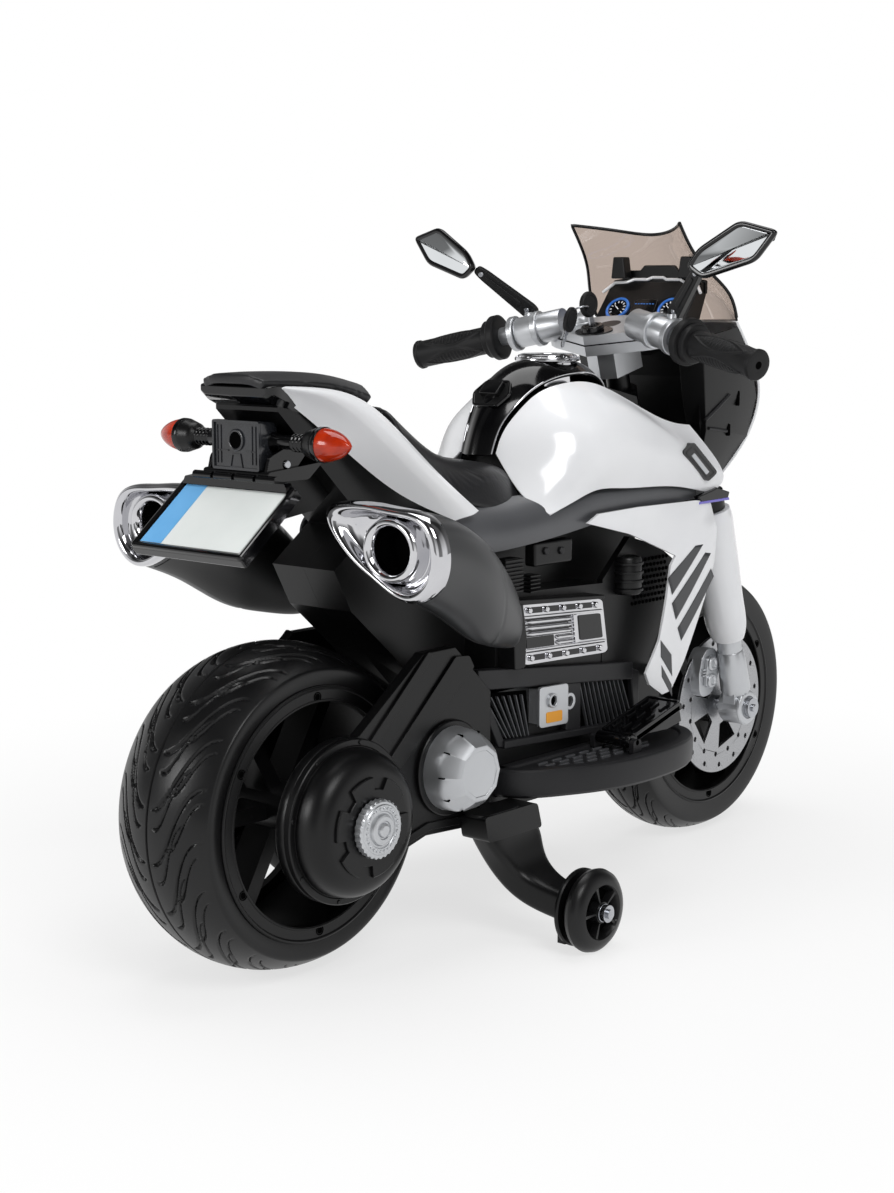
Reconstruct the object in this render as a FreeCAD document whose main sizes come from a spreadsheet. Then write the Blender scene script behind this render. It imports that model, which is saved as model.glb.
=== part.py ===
"""A child's electric motorbike with stabiliser wheels, as an assembly of separate pieces.

The frame has +X forwards, +Y to the rider's left and +Z up. Its origin lies on the ground midway
between the two axles. All lengths are millimetres and all angles degrees.
"""

import FreeCAD, Part
import math
import operator
import os
from types import SimpleNamespace

import Sketcher

Vector = FreeCAD.Vector

# Driving dimensions, each with its own cell in the sheet.
SIZES = {
    # stance
    "wheelbase": 720.0,
    "tyre_radius": 166.0,
    "rake": 16.0,
    # wheels
    "rear_tyre_width": 136.0,
    "front_tyre_width": 88.0,
    "crown_share": 0.33,
    "tyre_wall": 7.0,
    "rim_radius": 129.0,
    "rim_wall": 5.0,
    "rim_lip": 16.0,
    "rim_lip_thickness": 9.0,
    "rim_inset": 3.0,
    "rim_screw_radius": 3.5,
    "spoke_width": 16.0,
    "spoke_depth": 36.0,
    "spoke_count": 6,
    "hub_radius": 26.0,
    "axle_radius": 6.0,
    "running_gap": 0.05,
    "seat_gap": 0.1,
    # rear arms, hub covers and caps
    "arm_thickness": 12.0,
    "hub_cover_radius": 82.0,
    "hub_cover_depth": 40.0,
    "hub_cover_wall": 4.0,
    "hub_cap_radius": 29.0,
    "hub_cap_depth": 16.0,
    "pivot_forward": 154.0,
    "pivot_rise": 26.0,
    "pivot_cap_radius": 44.0,
    "pivot_cap_depth": 45.0,
    # drive
    "gear_module": 1.25,
    "pinion_teeth": 17,
    "gear_teeth": 51,
    "gear_width": 9.0,
    "gear_backlash": 0.2,
    "motor_radius": 15.0,
    "motor_shaft_radius": 2.0,
    # chassis
    "belly_half_width": 88.0,
    "spine_half_width": 44.0,
    "shell_wall": 4.0,
    "engine_depth": 24.0,
    "battery_length": 150.0,
    "battery_width": 96.0,
    "battery_height": 94.0,
    "socket_radius": 3.0,
    "socket_depth": 10.0,
    # footboards and pedal
    "board_thickness": 32.0,
    "board_reach": 92.0,
    "pedal_length": 98.0,
    "pedal_width": 46.0,
    "pedal_thickness": 7.0,
    "pedal_tilt": 15.0,
    "pedal_pin_radius": 3.0,
    # stabilisers
    "stabiliser_radius": 44.0,
    "stabiliser_width": 24.0,
    "stabiliser_track": 446.0,
    "stabiliser_setback": 118.0,
    "stabiliser_axle": 5.0,
    # panels
    "panel_wall": 3.0,
    "panel_gap": 0.3,
    "post_radius": 7.0,
    # front end
    "fork_spacing": 164.0,
    "fork_radius": 15.0,
    "fork_offset": 30.0,
    "fork_bridge": 262.0,
    "bridge_thickness": 22.0,
    "head_clearance": 21.0,
    "column_radius": 14.0,
    "yoke_rise": 475.0,
    "yoke_thickness": 24.0,
    "disc_radius": 88.0,
    "disc_thickness": 4.0,
    # controls
    "bar_radius": 11.0,
    "grip_radius": 17.0,
    "grip_length": 118.0,
    "mirror_thickness": 14.0,
    "lock_radius": 13.0,
    # tail
    "plate_width": 156.0,
    "plate_height": 96.0,
    "plate_tilt": 39.5,
    "plate_depth": 10.0,
    "lamp_width": 56.0,
    "lamp_depth": 30.0,
    "stalk_radius": 6.0,
    "lens_radius": 16.0,
    "lens_length": 40.0,
}

# The body panels are drawn for this stance and carried along when the stance changes.
DRAWN_WHEELBASE = 720.0
DRAWN_TYRE_RADIUS = 166.0
DRAWN_HALF_WIDTH = 88.0

doc = FreeCAD.newDocument("Motorbike")
sheet = doc.addObject("Spreadsheet::Sheet", "Sizes")
for row, (name, number) in enumerate(SIZES.items(), start=1):
    sheet.set(f"A{row}", name)
    sheet.set(f"B{row}", str(number))
    sheet.setAlias(f"B{row}", name)
doc.recompute()

OPERATIONS = {"+": operator.add, "-": operator.sub, "*": operator.mul, "/": operator.truediv}


class Size:
    """A length that carries its value and the sheet expression behind it."""

    def __init__(self, value, text):
        self.value = float(value)
        self.text = text

    def __float__(self):
        return self.value

    def __neg__(self):
        return joined(0.0, "-", self)

    def __add__(self, other):
        return joined(self, "+", other)

    def __radd__(self, other):
        return joined(other, "+", self)

    def __sub__(self, other):
        return joined(self, "-", other)

    def __rsub__(self, other):
        return joined(other, "-", self)

    def __mul__(self, other):
        return joined(self, "*", other)

    def __rmul__(self, other):
        return joined(other, "*", self)

    def __truediv__(self, other):
        return joined(self, "/", other)


def as_size(number):
    """Any number as a Size, plain ones as constants."""
    if isinstance(number, Size):
        return number
    return Size(number, f"({float(number)})")


def joined(left, sign, right):
    """Two sizes combined, in value and in expression."""
    left = as_size(left)
    right = as_size(right)
    return Size(OPERATIONS[sign](left.value, right.value), f"({left.text} {sign} {right.text})")


dim = SimpleNamespace(**{name: Size(sheet.get(name), f"Sizes.{name}") for name in SIZES})

rake_sine = Size(math.sin(math.radians(dim.rake.value)), "sin(Sizes.rake)")
rake_cosine = Size(math.cos(math.radians(dim.rake.value)), "cos(Sizes.rake)")
rear_x = dim.wheelbase * -0.5
front_x = dim.wheelbase * 0.5
axle_z = dim.tyre_radius


# Places in the three parts of the bike

def along(x):
    """A place along the body, which stretches with the wheelbase."""
    return dim.wheelbase * (x / DRAWN_WHEELBASE)


def across(y):
    """A place across the body, which widens with the belly."""
    return dim.belly_half_width * (y / DRAWN_HALF_WIDTH)


def above(z):
    """A height on the body, which rises with the wheels."""
    return dim.tyre_radius + (z - DRAWN_TYRE_RADIUS)


def body_at(x, y, z):
    """A point of the body panels."""
    return Vector(float(along(x)), float(across(y)), float(above(z)))


def front_at(x, y, z):
    """A point of the steered front, which keeps its distance from the front axle."""
    return Vector(float(front_x) + x - DRAWN_WHEELBASE / 2, y, float(above(z)))


def steer_place(forward, up):
    """Where a point of the steering frame lies: forward of and up the fork from the front axle."""
    x = front_x + forward * rake_cosine - up * rake_sine
    z = axle_z + forward * rake_sine + up * rake_cosine
    return x, z


def steer_at(forward, y, up):
    """A point of the steering frame as a vector."""
    x, z = steer_place(as_size(forward), as_size(up))
    return Vector(float(x), float(y), float(z))


# Sketches and solids

def place(obj, x=0.0, y=0.0, z=0.0, axis=None, angle=0.0):
    """Put an object at a place given by sizes, turned about an axis."""
    turn = FreeCAD.Rotation(axis or Vector(0, 0, 1), float(angle))
    obj.Placement = FreeCAD.Placement(Vector(float(x), float(y), float(z)), turn)
    for letter, value in (("x", x), ("y", y), ("z", z)):
        if isinstance(value, Size):
            obj.setExpression(f"Placement.Base.{letter}", value.text)
    if isinstance(angle, Size):
        obj.setExpression("Placement.Rotation.Angle", angle.text)
    return obj


def steer(obj, forward, y, up):
    """Put an object into the steering frame, its own Z up the fork."""
    x, z = steer_place(as_size(forward), as_size(up))
    return place(obj, x, y, z, Vector(0, -1, 0), dim.rake)


def new_body(label):
    """An empty body with a label."""
    body = doc.addObject("PartDesign::Body", "Body")
    body.Label = label
    return body


def sketch_on(body, role, lift=None):
    """A sketch on one of the body's own planes, lifted along the plane's normal."""
    sketch = body.newObject("Sketcher::SketchObject", "Sketch")
    plane = next(item for item in body.Origin.OriginFeatures if item.Role == role)
    sketch.AttachmentSupport = [(plane, "")]
    sketch.MapMode = "FlatFace"
    if lift is not None:
        sketch.AttachmentOffset = FreeCAD.Placement(Vector(0, 0, float(lift)), FreeCAD.Rotation())
        if isinstance(lift, Size):
            sketch.setExpression("AttachmentOffset.Base.z", lift.text)
    return sketch


def constrain(sketch, constraint, size):
    """Add a constraint and tie it to the sheet."""
    index = sketch.addConstraint(constraint)
    if isinstance(size, Size):
        sketch.setExpression(f"Constraints[{index}]", size.text)


def fix_point(sketch, edge, vertex, x, y):
    """Hold one vertex of a sketch at a place."""
    constrain(sketch, Sketcher.Constraint("DistanceX", -1, 1, edge, vertex, float(x)), x)
    constrain(sketch, Sketcher.Constraint("DistanceY", -1, 1, edge, vertex, float(y)), y)


def bow_radius(corner, following):
    """Radius of the arc that bows from one corner to the next."""
    run = as_size(following[0]) - corner[0]
    rise = as_size(following[1]) - corner[1]
    bow = as_size(corner[2])
    if bow.value < 0:
        bow = -bow
    return (run * run / 4.0 + rise * rise / 4.0 + bow * bow) / (bow * 2.0)


def bowed(start, stop, bow):
    """The arc from one point to the next that bows to the left, or to the right when negative."""
    chord = stop - start
    left = Vector(-chord.y, chord.x, 0).normalize()
    radius = (chord.Length ** 2 / 4.0 + bow ** 2) / (2.0 * bow)
    centre = (start + stop) * 0.5 + left * (bow - radius)
    ends = (stop, start) if bow > 0 else (start, stop)
    angles = [math.atan2(end.y - centre.y, end.x - centre.x) for end in ends]
    circle = Part.Circle(centre, Vector(0, 0, 1), abs(radius))
    return Part.ArcOfCircle(circle, angles[0], angles[1])


def draw(sketch, corners):
    """A closed outline. A third number bows the edge that leaves a corner to its left."""
    base = len(sketch.Geometry)
    count = len(corners)
    ends = []
    for index, corner in enumerate(corners):
        following = corners[(index + 1) % count]
        start = Vector(float(corner[0]), float(corner[1]), 0)
        stop = Vector(float(following[0]), float(following[1]), 0)
        if len(corner) == 2:
            sketch.addGeometry(Part.LineSegment(start, stop), False)
            ends.append((1, 2))
            continue
        sketch.addGeometry(bowed(start, stop, float(corner[2])), False)
        ends.append((2, 1) if float(corner[2]) > 0 else (1, 2))
    for index in range(count):
        other = (index + 1) % count
        sketch.addConstraint(
            Sketcher.Constraint("Coincident", base + index, ends[index][1], base + other, ends[other][0])
        )
    for index, corner in enumerate(corners):
        fix_point(sketch, base + index, ends[index][0], corner[0], corner[1])
        if len(corner) == 3:
            radius = bow_radius(corner, corners[(index + 1) % count])
            constrain(sketch, Sketcher.Constraint("Radius", base + index, radius.value), radius)
    return sketch


def draw_circle(sketch, x, y, radius):
    """A circle held by its centre and radius."""
    centre = Vector(float(x), float(y), 0)
    number = sketch.addGeometry(Part.Circle(centre, Vector(0, 0, 1), float(radius)), False)
    fix_point(sketch, number, 3, x, y)
    constrain(sketch, Sketcher.Constraint("Radius", number, float(radius)), radius)
    return sketch


def pad(body, sketch, length):
    """Extrude a sketch along its plane's normal."""
    feature = body.newObject("PartDesign::Pad", "Pad")
    feature.Profile = sketch
    feature.Length = float(length)
    if isinstance(length, Size):
        feature.setExpression("Length", length.text)
    body.Tip = feature
    return feature


def pocket(body, sketch, depth=None):
    """Cut a sketch along its plane's normal, right through when no depth is given."""
    feature = body.newObject("PartDesign::Pocket", "Pocket")
    feature.Profile = sketch
    feature.Reversed = True
    if depth is None:
        feature.Type = "ThroughAll"
    else:
        feature.Length = float(depth)
        if isinstance(depth, Size):
            feature.setExpression("Length", depth.text)
    body.Tip = feature
    return feature


def revolve(body, corners):
    """Turn an outline of (place along Y, radius) corners about the body's Y axis."""
    sketch = draw(sketch_on(body, "YZ_Plane"), corners)
    feature = body.newObject("PartDesign::Revolution", "Revolution")
    feature.Profile = sketch
    feature.ReferenceAxis = (sketch, ["H_Axis"])
    feature.Angle = 360.0
    body.Tip = feature
    return feature


def ring_of(body, feature, sketch, count):
    """Repeat a feature around the normal through its sketch's origin."""
    pattern = body.newObject("PartDesign::PolarPattern", "Ring")
    pattern.Originals = [feature]
    pattern.Axis = (sketch, ["N_Axis"])
    pattern.Angle = 360.0
    pattern.Occurrences = int(float(count))
    if isinstance(count, Size):
        pattern.setExpression("Occurrences", count.text)
    body.Tip = pattern
    return pattern


def lathe(label, corners):
    """A body turned about its own Y axis."""
    body = new_body(label)
    revolve(body, corners)
    return body


def slab(label, corners, near, far):
    """A plate drawn in side view, from near to far on the right side."""
    body = new_body(label)
    sketch = draw(sketch_on(body, "XZ_Plane", near), corners)
    pad(body, sketch, as_size(far) - near)
    return body


def mirrored(source, label):
    """The left copy of a right piece."""
    copy = doc.addObject("Part::Mirroring", "Mirror")
    copy.Label = label
    copy.Source = source
    copy.Normal = (0, 1, 0)
    copy.Base = (0, 0, 0)
    return copy


def gather(label, *pieces):
    """Several solids kept together as one node."""
    group = doc.addObject("Part::Compound", "Group")
    group.Label = label
    group.Links = list(pieces)
    return group


def both_sides(label, right):
    """A right piece and its mirror as one node."""
    right.Label = f"{label}_one"
    return gather(label, right, mirrored(right, f"{label}_two"))


def feature(label, shape):
    """A finished shape as an object of the document."""
    obj = doc.addObject("Part::Feature", "Shape")
    obj.Label = label
    obj.Shape = shape
    return obj


# Freeform shapes

def skin(rows):
    """A smooth surface through rows of points."""
    surface = Part.BSplineSurface()
    surface.interpolate(rows)
    return surface.toShape()


def smooth_points(points, count):
    """Evenly spaced points on a smooth curve through points."""
    curve = Part.BSplineCurve()
    curve.interpolate([Vector(*point) for point in points])
    return [tuple(point) for point in curve.discretize(Number=count)]


def refined(rows, along_count, across_count):
    """A denser grid of points, smooth along each row and then from row to row."""
    across = [smooth_points(row, across_count) for row in rows]
    columns = [smooth_points(column, along_count) for column in zip(*across)]
    return [list(row) for row in zip(*columns)]


def shell(rows, wall, inside):
    """A skin thickened towards a point inside."""
    face = skin(rows)
    options = []
    for sign in (1.0, -1.0):
        solid = face.makeOffsetShape(sign * wall, 1e-3, fill=True)
        options.append(solid.Solids[0] if solid.Solids else solid)
    return min(options, key=lambda solid: solid.CenterOfMass.distanceToPoint(inside))


def mirror_row(half, point):
    """A full row across the bike from the points of its right half, the last one in the middle."""
    right = [point(*item) for item in half]
    left = [point(x, -y, z) for x, y, z in reversed(half[:-1])]
    return right + left


def closed_curve(points):
    """A smooth closed wire through points."""
    curve = Part.BSplineCurve()
    curve.interpolate(points, PeriodicFlag=True)
    return Part.Wire(curve.toShape())


def outward(solid):
    """A solid with its skin facing outwards."""
    return solid if solid.Volume > 0 else solid.reversed()


def extruded(corners, reach):
    """A prism on a closed outline of points."""
    face = Part.Face(Part.makePolygon(corners + corners[:1]))
    return outward(face.extrude(reach))


def rod(start, stop, radius):
    """A cylinder between two points."""
    axis = stop - start
    return Part.makeCylinder(float(radius), axis.Length, start, axis)


def nearest_piece(shape, point):
    """The solid of a cut shape that lies nearest to a point."""
    spot = Part.Vertex(point)
    return min(shape.Solids, key=lambda solid: solid.distToShape(spot)[0])


def with_post(panel, start, stop, radius, *seats):
    """A panel with a post grown from its inner side back to what it stands on.

    Args:
        panel: solid that gets the post.
        start: point on the seat's side.
        stop: point beyond the panel.
        radius: radius of the post.
        seats: solids that the post stands against.
    """
    post = nearest_piece(rod(start, stop, radius).cut(panel), start)
    for seat in seats:
        rest = post.cut(seat)
        if rest.Solids:
            post = min(rest.Solids, key=lambda solid: solid.distToShape(panel)[0])
    return panel.fuse(post).removeSplitter()


def half_of(node):
    """The shape of an object after a recompute."""
    doc.recompute()
    return node.Shape


# Wheels

def tyre(label, width, x):
    """A hollow tyre, open to its rim."""
    half = width / 2.0
    crown = half * dim.crown_share
    shoulder = dim.tyre_radius - crown
    inner_shoulder = shoulder - dim.tyre_wall / 2.0
    bead = half - dim.rim_inset
    corners = [
        (-bead, dim.rim_radius),
        (-half, shoulder, crown),
        (half, shoulder),
        (bead, dim.rim_radius),
        (bead - dim.tyre_wall, dim.rim_radius),
        (half - dim.tyre_wall, inner_shoulder, dim.tyre_wall / 2.0 - crown),
        (dim.tyre_wall - half, inner_shoulder),
        (dim.tyre_wall - bead, dim.rim_radius),
    ]
    return place(lathe(label, corners), x, 0.0, axle_z)


def rim(label, width, hub_half, x):
    """A spoked rim with two screwed lips and a long hub."""
    half = width / 2.0 - dim.rim_inset
    outer = dim.rim_radius - dim.seat_gap
    floor = outer - dim.rim_wall
    lip = outer - dim.rim_lip
    shelf = half - dim.rim_lip_thickness
    bore = dim.axle_radius + dim.running_gap
    body = new_body(label)
    revolve(body, [
        (-half, outer), (half, outer), (half, lip), (shelf, lip),
        (shelf, floor), (-shelf, floor), (-shelf, lip), (-half, lip),
    ])
    sketch = sketch_on(body, "XZ_Plane", dim.spoke_depth * -0.5)
    side = dim.spoke_width / 2.0
    root = dim.hub_radius - dim.rim_wall
    draw(sketch, [(root, -side), (floor, -side), (floor, side), (root, side)])
    spoke = pad(body, sketch, dim.spoke_depth)
    ring_of(body, spoke, sketch, dim.spoke_count)
    hub = dim.hub_radius
    revolve(body, [(-hub_half, bore), (hub_half, bore), (hub_half, hub), (-hub_half, hub)])
    screws = sketch_on(body, "XZ_Plane", -half)
    draw_circle(screws, 0.0, (floor + lip) / 2.0, dim.rim_screw_radius)
    hole = pocket(body, screws)
    ring_of(body, hole, screws, dim.spoke_count)
    return place(body, x, 0.0, axle_z)


def brake_disc(label, near):
    """A drilled brake disc with windows between its inner ring and its running track."""
    body = new_body(label)
    outline = sketch_on(body, "XZ_Plane", near)
    draw_circle(outline, 0.0, 0.0, dim.disc_radius)
    draw_circle(outline, 0.0, 0.0, dim.axle_radius + dim.running_gap)
    pad(body, outline, dim.disc_thickness)
    track = dim.disc_radius * 0.62
    window = sketch_on(body, "XZ_Plane", near)
    draw(window, [(dim.hub_radius, -8.0), (track, -19.0), (track, 19.0), (dim.hub_radius, 8.0)])
    ring_of(body, pocket(body, window), window, 5)
    for share, start in ((0.74, 0.0), (0.9, 0.12)):
        radius = dim.disc_radius * share
        drill = sketch_on(body, "XZ_Plane", near)
        draw_circle(drill, radius * math.cos(start), radius * math.sin(start), 3.0)
        ring_of(body, pocket(body, drill), drill, 15)
    return place(body, front_x, 0.0, axle_z)


rear_hub_half = dim.belly_half_width - 4.0
front_hub_half = dim.front_tyre_width / 2.0 + 7.0
tyre("rear_tyre", dim.rear_tyre_width, rear_x)
rim("rear_rim", dim.rear_tyre_width, rear_hub_half, rear_x)
tyre("front_tyre", dim.front_tyre_width, front_x)
rim("front_rim", dim.front_tyre_width, front_hub_half, front_x)
both_sides("brake_discs", brake_disc("brake_disc", front_hub_half))

# Rear arms with their hub covers and bright caps

arm_inner = dim.belly_half_width
arm_outer = arm_inner + dim.arm_thickness
cover_top = arm_outer + dim.hub_cover_depth
cover_bore = dim.hub_cover_radius - 16.0
cap_top = cover_top + dim.hub_cap_depth


def swing_arm(label):
    """The plate from the hub cover to the belly."""
    body = new_body(label)
    disc = sketch_on(body, "XZ_Plane", arm_inner)
    draw_circle(disc, 0.0, 0.0, dim.hub_cover_radius)
    pad(body, disc, dim.arm_thickness)
    reach = dim.pivot_forward
    rise = dim.pivot_rise
    plate = sketch_on(body, "XZ_Plane", arm_inner)
    draw(plate, [
        (20.0, dim.hub_cover_radius - 3.0), (reach - 37.0, rise + 124.0), (reach + 11.0, rise + 124.0),
        (reach + 68.0, rise + 69.0), (reach + 68.0, rise - 56.0), (reach + 32.0, rise - 70.0),
        (reach - 34.0, rise - 66.0), (56.0, -56.0),
    ])
    pad(body, plate, dim.arm_thickness)
    opening = sketch_on(body, "XZ_Plane", arm_inner)
    draw_circle(opening, 0.0, 0.0, cover_bore)
    pocket(body, opening)
    return place(body, rear_x, 0.0, axle_z)


def hub_cover(label):
    """A stepped dome over the hub, open towards the wheel."""
    wall = dim.hub_cover_wall
    outer = dim.hub_cover_radius
    bore = dim.axle_radius + dim.running_gap
    corners = [
        (arm_outer, outer), (arm_outer + 6.0, outer), (arm_outer + 9.0, outer - 8.0),
        (arm_outer + 20.0, outer - 10.0), (arm_outer + 22.0, outer - 13.0), (cover_top - 8.0, outer - 16.0),
        (cover_top, outer - 28.0), (cover_top, bore), (cover_top - wall, bore),
        (cover_top - wall, outer - 30.0), (cover_top - wall - 6.0, outer - 20.0),
        (arm_outer, outer - 18.0),
    ]
    return place(lathe(label, corners), rear_x, 0.0, axle_z)


def hub_cap(label):
    """The bright cap in the middle of a hub cover."""
    corners = [
        (cover_top, 0.0), (cover_top, dim.hub_cap_radius), (cap_top - 4.0, dim.hub_cap_radius),
        (cap_top, dim.hub_cap_radius - 4.0), (cap_top, 0.0),
    ]
    return place(lathe(label, corners), rear_x, 0.0, axle_z)


def pivot_cap(label):
    """The bright knob over the arm's pivot."""
    radius = dim.pivot_cap_radius
    top = arm_outer + dim.pivot_cap_depth
    corners = [
        (arm_outer, 0.0), (arm_outer, radius), (arm_outer + 20.0, radius),
        (top - 4.0, radius - 13.0), (top, radius - 18.0), (top, 0.0),
    ]
    return place(lathe(label, corners), rear_x + dim.pivot_forward, 0.0, axle_z + dim.pivot_rise)


both_sides("swing_arms", swing_arm("swing_arm"))
left_cover = hub_cover("hub_cover_left")
gather("hub_covers", left_cover, mirrored(left_cover, "hub_cover_right"))
caps = []
for maker, name in ((hub_cap, "hub_cap"), (pivot_cap, "pivot_cap")):
    cap = maker(f"{name}_left")
    caps += [cap, mirrored(cap, f"{name}_right")]
gather("silver_caps", *caps)
axle_end = cover_top - dim.seat_gap
rear_axle = lathe("rear_axle", [
    (-axle_end, 0.0), (axle_end, 0.0), (axle_end, dim.axle_radius), (-axle_end, dim.axle_radius),
])
place(rear_axle, rear_x, 0.0, axle_z)

# Motor, pinion and drive gear inside the right hub cover

PRESSURE_ANGLE = math.radians(20.0)
MOTOR_ANGLE = math.radians(120.0)


def gear_outline(teeth, module):
    """The corners of an involute spur gear around the origin of its own XZ plane."""
    pitch = teeth * module / 2.0
    base = pitch * math.cos(PRESSURE_ANGLE)
    tip = pitch + module
    root = pitch - 1.25 * module
    slack = float(dim.gear_backlash) / (4.0 * pitch)
    half_tooth = math.pi / (2.0 * teeth) + math.tan(PRESSURE_ANGLE) - PRESSURE_ANGLE - slack
    flank = [(root, half_tooth)]
    for step in range(4):
        radius = base + (tip - base) * step / 3.0
        spread = math.sqrt(max((radius / base) ** 2 - 1.0, 0.0))
        flank.append((radius, half_tooth - (spread - math.atan(spread))))
    points = []
    for tooth in range(teeth):
        middle = 2.0 * math.pi * tooth / teeth
        for radius, angle in flank:
            points.append((radius, middle - angle))
        for radius, angle in reversed(flank):
            points.append((radius, middle + angle))
    return [Vector(radius * math.cos(angle), 0.0, radius * math.sin(angle)) for radius, angle in points]


def gear(label, teeth, bore, centre, turn):
    """A spur gear with its near face against the rear hub."""
    corners = gear_outline(teeth, float(dim.gear_module))
    blank = extruded(corners, Vector(0, -float(dim.gear_width), 0))
    shape = blank.cut(rod(Vector(0, 5, 0), Vector(0, -50, 0), bore))
    obj = feature(label, shape)
    spot = centre + Vector(0, -float(rear_hub_half), 0)
    obj.Placement = FreeCAD.Placement(spot, FreeCAD.Rotation(Vector(0, 1, 0), turn))
    return obj


pinion_teeth = int(float(dim.pinion_teeth))
gear_teeth = int(float(dim.gear_teeth))
centre_distance = float(dim.gear_module) * (pinion_teeth + gear_teeth) / 2.0
wheel_centre = Vector(float(rear_x), 0, float(axle_z))
motor_centre = wheel_centre + Vector(math.cos(MOTOR_ANGLE), 0, math.sin(MOTOR_ANGLE)) * centre_distance
gear_turn = -math.degrees(MOTOR_ANGLE)
pinion_turn = gear_turn + 180.0 + 180.0 / pinion_teeth
gear("drive_gear", gear_teeth, dim.axle_radius + dim.running_gap, wheel_centre, gear_turn)
gear("motor_pinion", pinion_teeth, dim.motor_shaft_radius + dim.running_gap, motor_centre, pinion_turn)



def motor_rod(near, far, radius):
    """A round step of the motor between two distances from the middle plane."""
    return rod(motor_centre - Vector(0, float(near), 0), motor_centre - Vector(0, float(far), 0), radius)


MOTOR_BOSS_RADIUS = 8.0
MOTOR_BOSS_LENGTH = 7.0
motor_face = rear_hub_half + dim.gear_width + 2.0
motor_back = cover_top - dim.hub_cover_wall
motor_can = motor_rod(motor_face, motor_back - MOTOR_BOSS_LENGTH, dim.motor_radius)
motor_boss = motor_rod(motor_back - MOTOR_BOSS_LENGTH, motor_back, MOTOR_BOSS_RADIUS)
motor_shaft = motor_rod(rear_hub_half, motor_face, dim.motor_shaft_radius)
feature("drive_motor", motor_can.fuse(motor_boss).fuse(motor_shaft).removeSplitter())

# Chassis half shells: the belly, the engine block and the spine under seat, tank and tail

head_back = -26.0 - dim.fork_offset
YOKE_NECK = 34.0
head_foot = dim.fork_bridge + dim.bridge_thickness + 16.0
head_top = dim.yoke_rise - YOKE_NECK - dim.head_clearance
head_length = head_top - head_foot
BELLY_FLOOR = 126.0
BELLY = [(-182, 142), (-160, BELLY_FLOOR), (150, BELLY_FLOOR), (182, 152), (182, 255), (-182, 255)]
ENGINE = [(-118, 262), (68, 262), (72, 352), (-114, 360)]
UNDER_TAIL = [(-262, 440), (-388, 563)]
SPINE_REAR = [
    (100, 250), (-172, 250), (-186, 262), (-230, 306), (-290, 358), (-314, 402), *UNDER_TAIL,
    (-388, 583), (-268, 560), (-212, 500), (-150, 470), (-74, 450), (-24, 470), (-18, 500), (5, 545),
    (48, 570), (118, 570),
]
# the grille beside the front wheel, behind the lower fairing
GRILLE = [(70, 253), (160, 253), (206, 322), (206, 366), (176, 384), (120, 400), (70, 356)]
GRILLE_THICKNESS = 8.0


def side_view(points):
    """Side-view corners that follow the stance."""
    return [(along(x), above(z)) for x, z in points]


def chassis_half(label):
    """The right half of the moulded chassis, hollow and open at the middle plane."""
    body = new_body(label)
    pad(body, draw(sketch_on(body, "XZ_Plane"), side_view(BELLY)), dim.belly_half_width)
    spine = side_view(SPINE_REAR)
    spine += [steer_place(head_back, head_top), steer_place(head_back, head_foot)]
    pad(body, draw(sketch_on(body, "XZ_Plane"), spine), dim.spine_half_width)
    pad(body, draw(sketch_on(body, "XZ_Plane"), side_view(ENGINE)), dim.belly_half_width)
    doc.recompute()
    solid = body.Tip
    hollow = body.newObject("PartDesign::Thickness", "Hollow")
    open_faces = [
        f"Face{number}" for number, face in enumerate(solid.Shape.Faces, start=1)
        if abs(face.CenterOfMass.y) < 1e-3
    ]
    hollow.Base = (solid, open_faces)
    hollow.Reversed = True
    hollow.Value = float(dim.shell_wall)
    hollow.setExpression("Value", dim.shell_wall.text)
    hollow.Join = 0
    body.Tip = hollow
    grille = sketch_on(body, "XZ_Plane", dim.belly_half_width - GRILLE_THICKNESS)
    pad(body, draw(grille, side_view(GRILLE)), GRILLE_THICKNESS)
    return body


def under_tail(x):
    """A height just below the sloping underside of the spine's tail."""
    (low_x, low_z), (high_x, high_z) = UNDER_TAIL
    slope = (high_z - low_z) / (high_x - low_x)
    return above(low_z + (x - low_x) * slope) - dim.panel_gap * 1.5


chassis_right = chassis_half("chassis_right")
mirrored(chassis_right, "chassis_left")
spine_side = dim.spine_half_width

# Chassis fittings

chassis_half_shape = half_of(chassis_right)
board_top = above(175.0)
board_under = board_top - dim.board_thickness
board_edge = dim.belly_half_width + dim.board_reach
engine_face = dim.belly_half_width + dim.engine_depth


def engine_cover(label):
    """The bright cover on the engine block."""
    outline = side_view([(-102, 283), (-106, 350), (46, 340), (58, 277)])
    return slab(label, outline, dim.belly_half_width, engine_face)


def charge_plate():
    """The small plate by the footboard with the charging socket in it."""
    outline = side_view([(-60, 213), (-60, 251), (-12, 247), (-12, 209)])
    thickness = dim.socket_depth + 4.0
    body = slab("charge_plate", outline, dim.belly_half_width, dim.belly_half_width + thickness)
    bore = sketch_on(body, "XZ_Plane", dim.belly_half_width + 4.0)
    draw_circle(bore, along(-40.0), above(237.0), dim.socket_radius)
    pocket(body, bore)
    return body


both_sides("engine_covers", engine_cover("engine_cover"))
charge_plate()


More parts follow.
